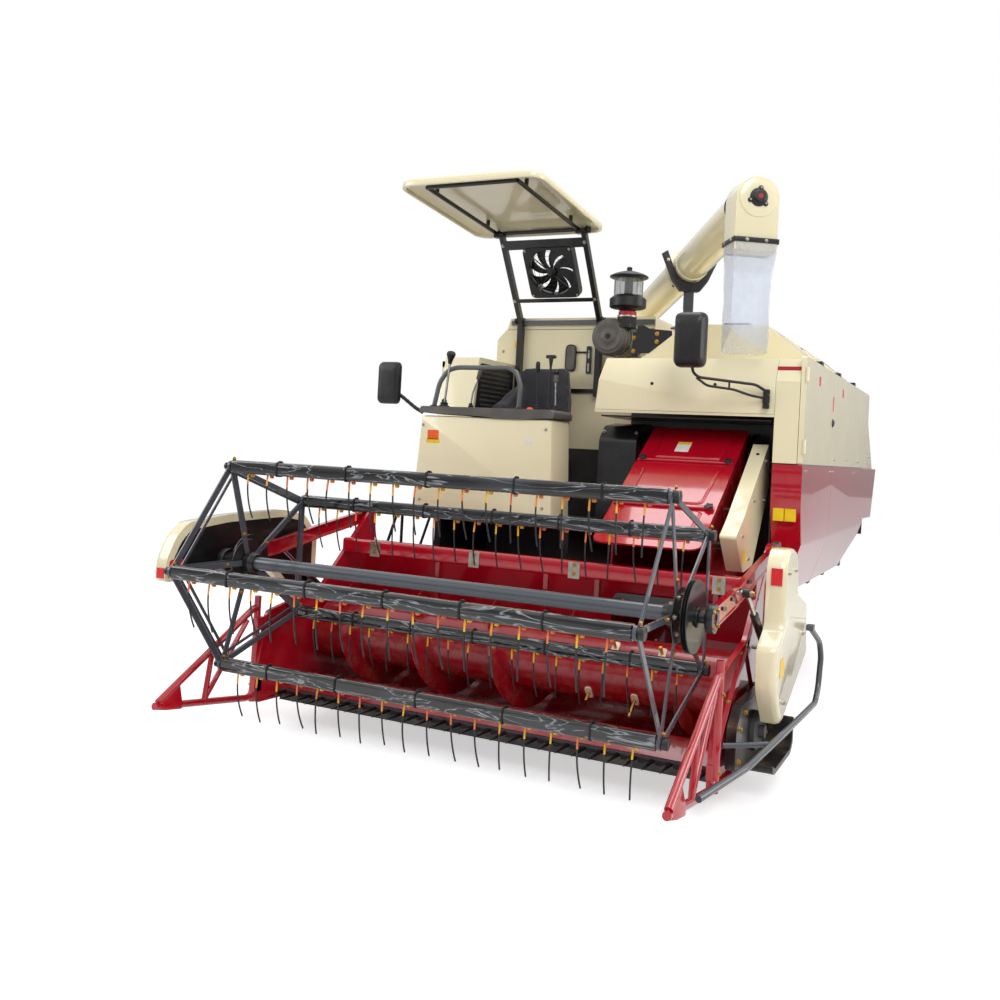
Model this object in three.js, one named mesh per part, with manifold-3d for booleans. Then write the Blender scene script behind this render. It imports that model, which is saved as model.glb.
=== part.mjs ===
// A self-propelled, rubber-tracked rice combine harvester, in millimetres.
// +X is the machine's left, -Y its front and +Z up. The origin is on the ground under its middle.
import * as THREE from 'three';
import { mergeVertices } from 'three/addons/utils/BufferGeometryUtils.js';
import Module from 'manifold-3d';

const wasm = await Module();
wasm.setup();

// ---------------------------------------------------------------- driving dimensions
const seat = 0.3; // gap between faces that rest on each other
const running = 12; // gap beside a part that turns or swings
const pinPlay = 1; // of a pin in its eye, so that their facets clear at every angle
const linkPlay = 0.2; // of a rod's eye round its pin, as a share of the cylinder's bore

// Header
const headerHalf = 1110; // half of the width between the side plates
const sidePlate = 24;
const headerBackY = -1030;
const headerFloorZ = 110;
const headerTopZ = 880;
const knifeY = -1700; // knife's back edge
const knifePitch = 76.2;
const fingerLength = 150;
const augerY = -1330;
const augerZ = 425;
const augerDrumRadius = 150;
const augerFlightRadius = 245;
const augerPitch = 420;

// Reel
const reelY = -2075;
const reelZ = 830;
const reelRadius = 465;
const batCount = 5;
const batHeight = 62;
const batDepth = 46;
const batFirstAngle = -18.2; // from straight up towards the rear
const tinesPerBat = 18;
const tineLength = 202;
const tineSweep = 36; // how far behind its root a tine's tip hangs
const tineThickness = 7;
const shaftRadius = 30;
const reelStub = 22; // reel shaft's end in the arms
const batShaft = 12.5;
const spiderPlate = 12;
const crankLength = 70;
const discRadius = 100; // fixed disc that the eccentric star turns on
const reelPulleyRadius = 140;
const armPivotY = -950;
const armPivotZ = 1000;
const armWidth = 30;
const coverInnerX = headerHalf + sidePlate + 81; // inner face of the header's side covers
const coverOuterX = headerHalf + sidePlate + 166;

// Feeder
const feederX0 = 350;
const feederX1 = 860;
const feederWall = 25;
const feederRearY = -385;
const feederRearZ = 1566;
const feederSlope = 0.66; // of the feeder's top
const guardX0 = feederX1 + 60; // belt guard's inner face
const liftHingeY = -330;
const liftHingeZ = 1400;
const liftPivotRadius = 45;
const liftX = 240; // header lift cylinder
const liftLow = [-500, 520];
const liftHigh = [-975, 500];
const liftBore = 34;

// Reel lift cylinders
const reelLiftX = headerHalf + sidePlate + 56;
const reelLiftLow = [-1280, 600];
const reelLiftHigh = [-1700, 887];
const reelLiftBore = 19;

// Threshing body
const bodyInnerX = 100;
const bodyOuterX = 1200;
const panelThick = 28;
const bodyFrontY = -660;
const caseFrontY = -120;
const bodyRearY = 1930;
const rearHoodY = 2600;
const seamZ = 1410;
const bodyTopZ = 1945;
const coverTopZ = 2190;
const bodyBottomZ = 735;
const foldZ = 1010;
const doorSplitY = 300; // between the side door and the panel behind it
const hoodBottomZ = 1655;

// Undercarriage
const trackCentreX = 590;
const trackWidth = 420;
const trackBelt = 32;
const lugHeight = 28;
const trackPitch = 110;
const sprocketY = -330;
const sprocketZ = 430;
const sprocketRadius = 180;
const idlerY = 1500;
const idlerZ = 250;
const idlerRadius = 190;
const rollerRadius = 85;
const rollerCount = 6;
const wheelClearance = 3; // between a wheel and the facets of the belt around it
const rampLength = 250; // from the sprocket back to the first ground roller
const railX = 300;
const railHeight = 100;
const railZ = 640;
const chassisRearY = 1900;

// Operator's station and grain tank
const floorZ = 1000;
const floorPlate = 40;
const stationX0 = -1180;
const stationX1 = 60;
const consoleY = -775;
const consoleDepth = 230;
const consoleTopZ = 1640;
const tankFrontY = 335;
const tankRearY = 1640;
const tankTopZ = 2230;
const tankWidthX0 = -1057;
const tankWidthX1 = 70;

// Canopy and unloading auger
const postX0 = -870;
const postX1 = -300;
const roofX0 = -1070;
const roofX1 = -175;
const roofY0 = -975;
const roofY1 = 30;
const roofTopZ = 2875;
const roofDepth = 87;
const roofPitch = 4.6; // degrees, front edge up
const roofSheet = 24;
const fanRadius = 150;
const fanDepth = 60;
const augerTubeRadius = 103;
const ballRadius = 118; // of the elbow joint under the tube's rear end
const trunnionRadius = 20;
const elbow = new THREE.Vector3(-850, 1950, 2300);
const spout = new THREE.Vector3(895, -700, 2725);
const chuteBottomZ = 1955;

// ---------------------------------------------------------------- shape helpers
const rad = THREE.MathUtils.degToRad;

/** A closed three.js geometry as a manifold solid. */
function solid(geometry) {
  const bare = geometry.index ? geometry.toNonIndexed() : geometry.clone();
  bare.deleteAttribute('normal');
  bare.deleteAttribute('uv');
  const merged = mergeVertices(bare, 1e-3);
  return new wasm.Manifold(new wasm.Mesh({
    numProp: 3,
    vertProperties: new Float32Array(merged.attributes.position.array),
    triVerts: new Uint32Array(merged.index.array),
  }));
}

/** A manifold solid as a three.js geometry. */
function geometryOf(body) {
  const mesh = body.getMesh();
  const geometry = new THREE.BufferGeometry();
  geometry.setAttribute('position', new THREE.BufferAttribute(new Float32Array(mesh.vertProperties), 3));
  geometry.setIndex(new THREE.BufferAttribute(new Uint32Array(mesh.triVerts), 1));
  geometry.computeVertexNormals();
  return geometry;
}

/** A box between two corners. */
function box(x0, x1, y0, y1, z0, z1) {
  const geometry = new THREE.BoxGeometry(x1 - x0, y1 - y0, z1 - z0);
  return solid(geometry.translate((x0 + x1) / 2, (y0 + y1) / 2, (z0 + z1) / 2));
}

/** A straight round bar between two points. */
function bar(from, to, radius, sides = 10, endRadius = radius) {
  const start = new THREE.Vector3(...from);
  const end = new THREE.Vector3(...to);
  const along = end.clone().sub(start);
  const geometry = new THREE.CylinderGeometry(endRadius, radius, along.length(), sides);
  const turn = new THREE.Quaternion().setFromUnitVectors(new THREE.Vector3(0, 1, 0), along.clone().normalize());
  geometry.applyQuaternion(turn);
  return solid(geometry.translate(...start.add(end).multiplyScalar(0.5).toArray()));
}

/** Straight bars from point to point, with a ball at each corner. */
function bentBar(points, radius, sides = 8) {
  const pieces = points.slice(1).map((point, i) => bar(points[i], point, radius, sides));
  const corners = points.slice(1, -1).map((point) =>
    solid(new THREE.SphereGeometry(radius, sides, 4).translate(...point)));
  return join(...pieces, ...corners);
}

/** A round tube along a smooth curve through points. */
function curvedBar(points, radius, steps = 18, sides = 8) {
  const curve = new THREE.CatmullRomCurve3(points.map((p) => new THREE.Vector3(...p)), false, 'centripetal');
  const ring = Array.from({ length: sides }, (_, i) => {
    const angle = (2 * Math.PI * i) / sides;
    return new THREE.Vector2(radius * Math.cos(angle), radius * Math.sin(angle));
  });
  return solid(new THREE.ExtrudeGeometry(new THREE.Shape(ring), { steps, extrudePath: curve, bevelEnabled: false }));
}

/** An outline pushed along one axis: (y, z) along x, (x, z) along y, (x, y) along z. */
function plate(outline, axis, from, to) {
  const shape = new THREE.Shape(outline.map(([u, v]) => new THREE.Vector2(u, v)));
  const geometry = new THREE.ExtrudeGeometry(shape, { depth: to - from, bevelEnabled: false });
  const matrix = new THREE.Matrix4();
  if (axis === 'x') {
    matrix.makeBasis(new THREE.Vector3(0, 1, 0), new THREE.Vector3(0, 0, 1), new THREE.Vector3(1, 0, 0));
    geometry.translate(0, 0, from).applyMatrix4(matrix);
  } else if (axis === 'y') {
    matrix.makeBasis(new THREE.Vector3(1, 0, 0), new THREE.Vector3(0, 0, 1), new THREE.Vector3(0, -1, 0));
    geometry.translate(0, 0, -to).applyMatrix4(matrix);
  } else {
    geometry.translate(0, 0, from);
  }
  return solid(geometry);
}

/** A flat bar of square section between two points in a plane x = constant. */
function strut(x0, x1, [ya, za], [yb, zb], width) {
  const length = Math.hypot(yb - ya, zb - za);
  const ny = (-(zb - za) / length) * (width / 2);
  const nz = ((yb - ya) / length) * (width / 2);
  return plate([[ya - ny, za - nz], [yb - ny, zb - nz], [yb + ny, zb + nz], [ya + ny, za + nz]], 'x', x0, x1);
}

function join(first, ...rest) {
  return rest.reduce((sum, piece) => sum.add(piece), first);
}

function cut(first, ...tools) {
  return tools.reduce((left, tool) => left.subtract(tool), first);
}

/** Points of an arc, angles in degrees from +u towards +v. */
function arc(u, v, radius, from, to, steps) {
  return Array.from({ length: steps + 1 }, (_, i) => {
    const angle = rad(from + ((to - from) * i) / steps);
    return [u + radius * Math.cos(angle), v + radius * Math.sin(angle)];
  });
}

// ---------------------------------------------------------------- finishes
const finish = (color, roughness, metalness) => new THREE.MeshStandardMaterial({ color, roughness, metalness });
const cream = finish('#f1e6c4', 0.3, 0);
const red = finish('#b50f24', 0.25, 0);
const black = finish('#16171a', 0.4, 0.1);
const steel = finish('#5d6a76', 0.35, 0.6);
const rubber = finish('#1c1c1c', 0.85, 0);
const grey = finish('#4b4d4b', 0.5, 0);
const cloth = finish('#1b1b1f', 0.9, 0);
const clear = finish('#c9d3dd', 0.1, 0);
const iron = finish('#3a3c3f', 0.6, 0.5);

const machine = new THREE.Group();

/** Puts one named piece into a group. */
function add(group, name, body, material) {
  const mesh = new THREE.Mesh(geometryOf(body), material);
  mesh.name = name;
  group.add(mesh);
  return mesh;
}

function subGroup(parent, x = 0, y = 0, z = 0) {
  const group = new THREE.Group();
  group.position.set(x, y, z);
  parent.add(group);
  return group;
}

// ---------------------------------------------------------------- undercarriage
/** The outline of the belt's inner face around sprocket, idler and ground rollers, offset outwards. */
function beltLoop(offset) {
  const groundZ = lugHeight + trackBelt;
  const frontRollerY = sprocketY + rampLength;
  const points = [];
  const sprocketR = sprocketRadius + offset;
  const idlerR = idlerRadius + offset;
  const groundOffset = groundZ - offset;
  // top run: tangent over both wheels
  const dy = idlerY - sprocketY;
  const dz = idlerZ - sprocketZ;
  const span = Math.hypot(dy, dz);
  const lean = THREE.MathUtils.radToDeg(Math.atan2(dz, dy));
  const topAngle = lean + THREE.MathUtils.radToDeg(Math.acos((sprocketRadius - idlerRadius) / span));
  points.push(...arc(idlerY, idlerZ, idlerR, topAngle, -90, 10));
  // ground run to the front roller, then the ramp up to the sprocket
  const rampDy = frontRollerY - sprocketY;
  const rampDz = groundOffset + (rollerRadius + offset) - sprocketZ;
  const rampSpan = Math.hypot(rampDy, rampDz);
  const rampLean = THREE.MathUtils.radToDeg(Math.atan2(rampDz, rampDy));
  const rampAngle = rampLean - THREE.MathUtils.radToDeg(Math.acos((sprocketRadius - rollerRadius) / rampSpan));
  points.push(...arc(frontRollerY, groundOffset + rollerRadius + offset, rollerRadius + offset, -90, rampAngle, 4));
  points.push(...arc(sprocketY, sprocketZ, sprocketR, rampAngle + 360, topAngle, 10));
  return points;
}

/** Adds rubber lugs along an outline at the track's pitch. */
function withLugs(outline) {
  const closed = outline.concat([outline[0]]);
  const lengths = [0];
  for (let i = 1; i < closed.length; i += 1) {
    lengths.push(lengths[i - 1] + Math.hypot(closed[i][0] - closed[i - 1][0], closed[i][1] - closed[i - 1][1]));
  }
  const total = lengths[lengths.length - 1];
  const count = Math.round(total / trackPitch);
  const at = (s) => {
    const d = ((s % total) + total) % total;
    let i = 1;
    while (lengths[i] < d) i += 1;
    const t = (d - lengths[i - 1]) / (lengths[i] - lengths[i - 1]);
    const [ua, va] = closed[i - 1];
    const [ub, vb] = closed[i];
    const along = Math.hypot(ub - ua, vb - va);
    return { p: [ua + (ub - ua) * t, va + (vb - va) * t], n: [-(vb - va) / along, (ub - ua) / along] };
  };
  const points = [];
  for (let k = 0; k < count; k += 1) {
    const start = (k * total) / count;
    const root = at(start);
    const end = at(start + trackPitch * 0.42);
    const out = (spot) => [spot.p[0] + spot.n[0] * lugHeight, spot.p[1] + spot.n[1] * lugHeight];
    points.push(root.p, out(at(start + trackPitch * 0.06)), out(at(start + trackPitch * 0.36)), end.p);
  }
  return points;
}

function undercarriage() {
  const group = subGroup(machine);
  const groundZ = lugHeight + trackBelt;
  const inner = beltLoop(0);
  const outer = beltLoop(trackBelt);
  const beamZ0 = groundZ + rollerRadius * 2 + 20;
  const beamZ1 = beamZ0 + 110;
  const rollerZ = groundZ + seat + rollerRadius;
  for (const [side, name] of [[1, 'left'], [-1, 'right']]) {
    const x = side * trackCentreX;
    const x0 = x - trackWidth / 2;
    const x1 = x + trackWidth / 2;
    const belt = cut(plate(withLugs(outer), 'x', x0, x1), plate(inner, 'x', x0 - 5, x1 + 5));
    add(group, `track_${name}`, belt, rubber);

    // roller frame: a beam with the ground rollers under it and the idler's fork at the rear
    const beam = plate([[sprocketY + rampLength, beamZ0], [idlerY + 10, beamZ0 - 40],
      [idlerY + 10, beamZ0 + 30], [idlerY - 180, beamZ1], [sprocketY + rampLength, beamZ1]], 'x', x - 55, x + 55);
    const rollers = [];
    for (let i = 0; i < rollerCount; i += 1) {
      const firstY = sprocketY + rampLength;
      const y = firstY + ((idlerY - 320 - firstY) * i) / (rollerCount - 1);
      rollers.push(bar([x - 100, y, rollerZ], [x + 100, y, rollerZ], rollerRadius, 10));
      rollers.push(box(x - 30, x + 30, y - 30, y + 30, rollerZ + 60, beamZ0 + 20));
    }
    const idler = join(
      bar([x - 60, idlerY, idlerZ], [x + 60, idlerY, idlerZ], idlerRadius - wheelClearance, 20),
      bar([x - 90, idlerY, idlerZ], [x + 90, idlerY, idlerZ], 40, 8));
    add(group, `track_frame_${name}`, join(beam, ...rollers, idler), iron);
  }
  // front drive: gearbox with an axle out to a sprocket on each side
  const axleHalf = trackCentreX + 70;
  const pieces = [
    box(-190, 190, sprocketY - 150, sprocketY + 190, sprocketZ - 140, sprocketZ + 60),
    bar([-axleHalf, sprocketY, sprocketZ], [axleHalf, sprocketY, sprocketZ], 60, 10)];
  for (const side of [-1, 1]) {
    const x = side * trackCentreX;
    const teeth = 11;
    const outline = [];
    for (let i = 0; i < teeth; i += 1) {
      const step = 360 / teeth;
      for (const [turn, r] of [[0.1, 0.8], [0.35, 0.997], [0.65, 0.997], [0.9, 0.8]]) {
        const angle = rad(step * (i + turn));
        outline.push([sprocketY + (sprocketRadius * r - wheelClearance) * Math.cos(angle),
          sprocketZ + (sprocketRadius * r - wheelClearance) * Math.sin(angle)]);
      }
    }
    pieces.push(plate(outline, 'x', x - 35, x + 35));
  }
  add(group, 'drive_axle', join(...pieces), iron);
}

function chassis() {
  const group = subGroup(machine);
  const railTop = railZ + railHeight;
  const front = sprocketY - 130;
  const armZ = lugHeight + trackBelt + rollerRadius * 2 + 40;
  const pieces = [];
  for (const side of [-1, 1]) {
    pieces.push(box(side * railX - 40, side * railX + 40, front, chassisRearY, railZ, railTop));
    for (const y of [60, 1140]) {
      const inner = side * (railX - 35);
      const outer = side * (trackCentreX - 55 - seat);
      pieces.push(box(side * railX - 35, side * railX + 35, y - 45, y + 45, armZ, railZ + 10));
      pieces.push(box(Math.min(inner, outer), Math.max(inner, outer), y - 45, y + 45, armZ, armZ + 80));
    }
  }
  for (const y of [front + 40, 560, 1120, chassisRearY - 40]) {
    pieces.push(box(-1060, 1060, y - 40, y + 40, railTop - 50, railTop));
  }
  pieces.push(box(-150, 150, sprocketY - 60, sprocketY + 60, sprocketZ + 60 + seat, railTop - 30));
  // fork and pin that carry the header's lift cylinder
  for (const side of [-1, 1]) {
    pieces.push(box(liftX + side * 41 - 6, liftX + side * 41 + 6, liftLow[0] - 35, front + 10, liftLow[1] - 40, railTop));
  }
  pieces.push(bar([liftX - 45, ...liftLow], [liftX + 45, ...liftLow], liftBore * 0.5, 10));
  add(group, 'chassis_frame', join(...pieces), black);
  return railTop;
}

// ---------------------------------------------------------------- body
const sideOutline = [
  [bodyFrontY, bodyTopZ], [bodyFrontY + 10, 1200], [-500, bodyBottomZ], [1430, bodyBottomZ - 5],
  [1850, 930], [1858, 1044], [2382, 1036], [2600, 1405], [2088, 1893], [1960, 1950]];

/** A sheet on the machine's left side, vertical above the fold and leaning inwards below it. */
function sideSheet(z0, z1) {
  const leanX = bodyOuterX - ((foldZ - z0) * 95) / (foldZ - bodyBottomZ);
  const lower = z0 < foldZ ? [[leanX, z0]] : [];
  const inner = z0 < foldZ ? [[leanX - panelThick, z0]] : [[bodyOuterX - panelThick, z0]];
  const start = z0 < foldZ ? [[bodyOuterX - panelThick, foldZ]] : [];
  const outline = [...inner, ...lower, [bodyOuterX, Math.max(z0, foldZ)], [bodyOuterX, z1],
    [bodyOuterX - panelThick, z1], ...start];
  return plate(outline, 'y', bodyFrontY - 50, rearHoodY + 50);
}

/** Ridged cover over the threshing drum, grown upwards by a gap. */
function topCover(gap) {
  const base = bodyTopZ - 40 + seat;
  const inside = bodyOuterX - panelThick - seat;
  return plate([[bodyInnerX, base], [inside, base], [inside, bodyTopZ + gap], [880, coverTopZ - 10 + gap],
    [440, coverTopZ + gap], [bodyInnerX, bodyTopZ + 20 + gap]], 'y', caseFrontY, 1880);
}

function threshingBody(railTop) {
  const group = subGroup(machine);
  const inside = bodyOuterX - panelThick - seat;
  const supportZ = railTop + seat;
  const main = box(bodyInnerX, inside, caseFrontY, bodyRearY, supportZ + 10, bodyTopZ - 40);
  const belly = box(bodyInnerX + 250, 880, 0, 1450, supportZ, supportZ + 40);
  const wing = plate([[bodyFrontY + 30, bodyTopZ - 45], [bodyFrontY + 30, 1200], [-480, 800], [caseFrontY + 5, 800],
    [caseFrontY + 5, bodyTopZ - 45]], 'x', 1050, inside);
  const leanCut = plate([[bodyOuterX - panelThick - seat, foldZ], [bodyOuterX + 40, foldZ], [bodyOuterX + 40, 600],
    [bodyOuterX - panelThick - seat - ((foldZ - 600) * 95) / (foldZ - bodyBottomZ), 600]], 'y', -900, 2700);
  const rearCut = plate([[1430, 600], [2300, 600], [2300, 1005], [1850, 930], [1430, 745]], 'x', 0, 1400);
  const pivotArm = cut(box(feederX0 - 60, feederX0 - 30, liftHingeY - 70, caseFrontY + 5, liftHingeZ - 70, liftHingeZ + 70),
    bar([feederX0 - 70, liftHingeY, liftHingeZ], [feederX0 - 20, liftHingeY, liftHingeZ], liftPivotRadius + 1.8, 14));
  add(group, 'threshing_case', cut(join(main, belly, wing, pivotArm), leanCut, rearCut), red);

  const upper = plate([[doorSplitY + 3, seamZ + 3], [1975, seamZ + 3], [1975, 1930], [1940, bodyTopZ + 5],
    [doorSplitY + 3, bodyTopZ + 5]], 'x', bodyOuterX - panelThick, bodyOuterX);
  add(group, 'side_panel_upper', upper, cream);
  const door = join(box(bodyOuterX - panelThick, bodyOuterX, bodyFrontY, doorSplitY - 3, seamZ + 3, bodyTopZ + 5),
    bar([bodyOuterX + 5, bodyFrontY - 5, seamZ + 30], [bodyOuterX + 5, bodyFrontY - 5, bodyTopZ - 30], 9, 8));
  add(group, 'side_door', door, cream);
  const lower = sideSheet(bodyBottomZ - 5, seamZ - 3).intersect(plate(sideOutline, 'x', 900, 1300));
  add(group, 'side_panel_lower', lower, red);

  // hood over the feeder's throat: a folded front, open underneath
  const hoodInner = 20;
  const hoodBack = caseFrontY - seat;
  const hood = plate([[bodyFrontY, hoodBottomZ], [bodyFrontY, 1820], [bodyFrontY + 60, bodyTopZ - 5],
    [hoodBack, bodyTopZ - 5], [hoodBack, hoodBottomZ + 200], [bodyFrontY + 90, hoodBottomZ]], 'x', bodyInnerX - 20, 1050 - seat);
  const hoodHollow = plate([[bodyFrontY + hoodInner, hoodBottomZ - 5], [bodyFrontY + 28, 1815],
    [bodyFrontY + 80, bodyTopZ - 30], [hoodBack - 20, bodyTopZ - 30], [hoodBack - 20, hoodBottomZ - 5]],
  'x', bodyInnerX, 1030);
  add(group, 'front_hood', cut(hood, hoodHollow), cream);

  // ridged cover over the threshing drum
  add(group, 'top_cover', topCover(0), cream);

  // hood over the straw outlet, open at the bottom
  const hoodX0 = bodyInnerX + 20;
  const rearOuter = [[bodyRearY + seat, 1250], [bodyRearY + seat, 1915], [2085, 1885], [2596, 1410], [2596, 1395],
    [2385, 1060]];
  const rearInner = [[bodyRearY + 30, 900], [bodyRearY + 30, 1885], [2070, 1860], [2560, 1400], [2350, 1030],
    [2300, 900]];
  const rear = cut(plate(rearOuter, 'x', hoodX0, inside), plate(rearInner, 'x', hoodX0 + 25, inside - 25));
  add(group, 'rear_hood', rear, cream);
}

function grainTank(railTop) {
  const group = subGroup(machine);
  const chamfer = 70;
  const outline = [[tankWidthX0, 1420], [tankWidthX0, tankTopZ - chamfer], [tankWidthX0 + chamfer, tankTopZ],
    [tankWidthX1, tankTopZ], [tankWidthX1, 1050], [-420, 1050]];
  const tank = plate(outline, 'y', tankFrontY, tankRearY);
  // raised cover over the front half, clear of the parked auger tube
  const lid = plate([[tankWidthX0 + chamfer, tankTopZ - 5], [tankWidthX0 + chamfer + 25, tankTopZ + 75],
    [tankWidthX1, tankTopZ + 75], [tankWidthX1, tankTopZ - 5]], 'y', tankFrontY, 900);
  const foot = box(-360, tankWidthX1 - 20, tankFrontY + 200, tankRearY - 250, railTop + seat, 1060);
  add(group, 'grain_tank', join(tank, lid, foot), cream);

  const fuel = box(-1120, -440, 520, 1500, railTop + seat, 1040);
  add(group, 'fuel_tank', fuel, black);

  // vertical unloading auger behind the tank, with its elbow at the top
  const riserX = elbow.x;
  const riserY = elbow.y;
  const across = new THREE.Vector3(-(spout.y - elbow.y), spout.x - elbow.x, 0).normalize();
  const trunnion = (side) => elbow.clone().addScaledVector(across, side * (ballRadius + 32)).toArray();
  const riser = join(
    bar([riserX, riserY, 900], [riserX, riserY, elbow.z], 100, 14),
    solid(new THREE.SphereGeometry(ballRadius, 14, 8).translate(...elbow.toArray())),
    bar(trunnion(-1), trunnion(1), trunnionRadius, 10),
    box(riserX - 60, riserX + 60, tankRearY + seat, riserY, 1900, 2000),
    box(riserX - 130, riserX + 130, riserY - 130, riserY + 130, 860, 980),
    box(riserX - 60, riserX + 60, chassisRearY - 40, riserY, railTop + seat, 900));
  const neck = cut(riser, box(riserX - 400, riserX + 400, tankRearY - 300, tankRearY + seat, 700, 2400));
  add(group, 'auger_riser', neck, cream);
}

function unloadingAuger() {
  const group = subGroup(machine);
  const direction = spout.clone().sub(elbow).normalize();
  const start = elbow.clone().addScaledVector(direction, ballRadius + running);
  const across = new THREE.Vector3(-direction.y, direction.x, 0).normalize();
  const ears = [-1, 1].map((side) => {
    const along = new THREE.Matrix4().makeBasis(direction, across, direction.clone().cross(across));
    const ear = new THREE.BoxGeometry(320, 14, 66).translate(125, side * (ballRadius + 16), 0);
    return solid(ear.applyMatrix4(along).translate(...elbow.toArray()));
  });
  const trunnionBore = bar(elbow.clone().addScaledVector(across, -ballRadius - 40).toArray(),
    elbow.clone().addScaledVector(across, ballRadius + 40).toArray(), trunnionRadius + 1.4, 10);
  const rimStart = elbow.clone().addScaledVector(direction, 240);
  const rimEnd = elbow.clone().addScaledVector(direction, 262);
  const flange = elbow.clone().addScaledVector(direction, 2060);
  const flangeEnd = elbow.clone().addScaledVector(direction, 2085);
  const inPlan = new THREE.Vector3(direction.x, direction.y, 0).normalize();
  const heading = Math.atan2(inPlan.y, inPlan.x);
  const headWidth = 222;
  const headLength = 172;
  const radius = headWidth / 2;
  const outline = [[-radius, -265], [radius, -265], ...arc(0, 0, radius, 0, 180, 10)];
  const headShape = new THREE.ExtrudeGeometry(
    new THREE.Shape(outline.map(([u, v]) => new THREE.Vector2(u, v))), { depth: headLength, bevelEnabled: false });
  headShape.translate(0, 0, -headLength / 2);
  const basis = new THREE.Matrix4().makeBasis(
    new THREE.Vector3(-Math.sin(heading), Math.cos(heading), 0), new THREE.Vector3(0, 0, 1), inPlan);
  headShape.applyMatrix4(basis).translate(...spout.toArray());
  const wall = 12;
  const mouth = new THREE.BoxGeometry(headWidth - 2 * wall, 300, headLength - 2 * wall).translate(0, -250, 0);
  mouth.applyMatrix4(basis).translate(...spout.toArray());
  const tube = bar(start.toArray(), spout.toArray(), augerTubeRadius, 16);
  const cap = spout.clone().addScaledVector(inPlan, headLength / 2);
  const bearing = bar(cap.toArray(), cap.clone().addScaledVector(inPlan, 35).toArray(), 45, 12);
  const body = join(cut(solid(headShape), solid(mouth)), cut(tube, solid(mouth)), bearing,
    bar(flange.toArray(), flangeEnd.toArray(), augerTubeRadius + 26, 16),
    bar(rimStart.toArray(), rimEnd.toArray(), ballRadius + 24, 16), ...ears).subtract(trunnionBore);
  add(group, 'unloading_auger', body, cream);

  // clear sleeve under the head
  const sleeveTop = -205;
  const sleeveLength = spout.z + sleeveTop - chuteBottomZ;
  const outer = new THREE.BoxGeometry(headWidth + 8, sleeveLength, headLength + 8)
    .translate(0, sleeveTop - sleeveLength / 2, 0);
  const inner = new THREE.BoxGeometry(headWidth + 2 * seat, sleeveLength + 10, headLength + 2 * seat)
    .translate(0, sleeveTop - sleeveLength / 2, 0);
  for (const piece of [outer, inner]) {
    piece.applyMatrix4(basis).translate(...spout.toArray());
  }
  const sleeve = cut(solid(outer), solid(inner));
  add(group, 'grain_chute', sleeve, clear);

  // forked rest that carries the tube while it is parked
  const rest = elbow.clone().addScaledVector(direction, 2170);
  const postTop = rest.z - augerTubeRadius - 60;
  const blade = new THREE.ExtrudeGeometry(new THREE.Shape([
    [-60, -augerTubeRadius - 60], [60, -augerTubeRadius - 60], [110, -95], [178, 60], [150, 78],
    ...arc(0, 0, augerTubeRadius + 5, -18, -162, 12), [-150, 78], [-178, 60], [-110, -95],
  ].map(([u, v]) => new THREE.Vector2(u, v))), { depth: 44, bevelEnabled: false });
  blade.translate(0, 0, -22).applyMatrix4(basis).translate(...rest.toArray());
  const post = box(rest.x - 32, rest.x + 32, rest.y - 25, rest.y + 25, 2150, postTop + 20);
  const foot = box(rest.x - 90, rest.x + 90, rest.y - 60, rest.y + 60, coverTopZ - 40, coverTopZ + 15);
  const cradle = cut(join(solid(blade), post, foot), topCover(seat));
  add(group, 'auger_cradle', cradle, black);
}

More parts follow.
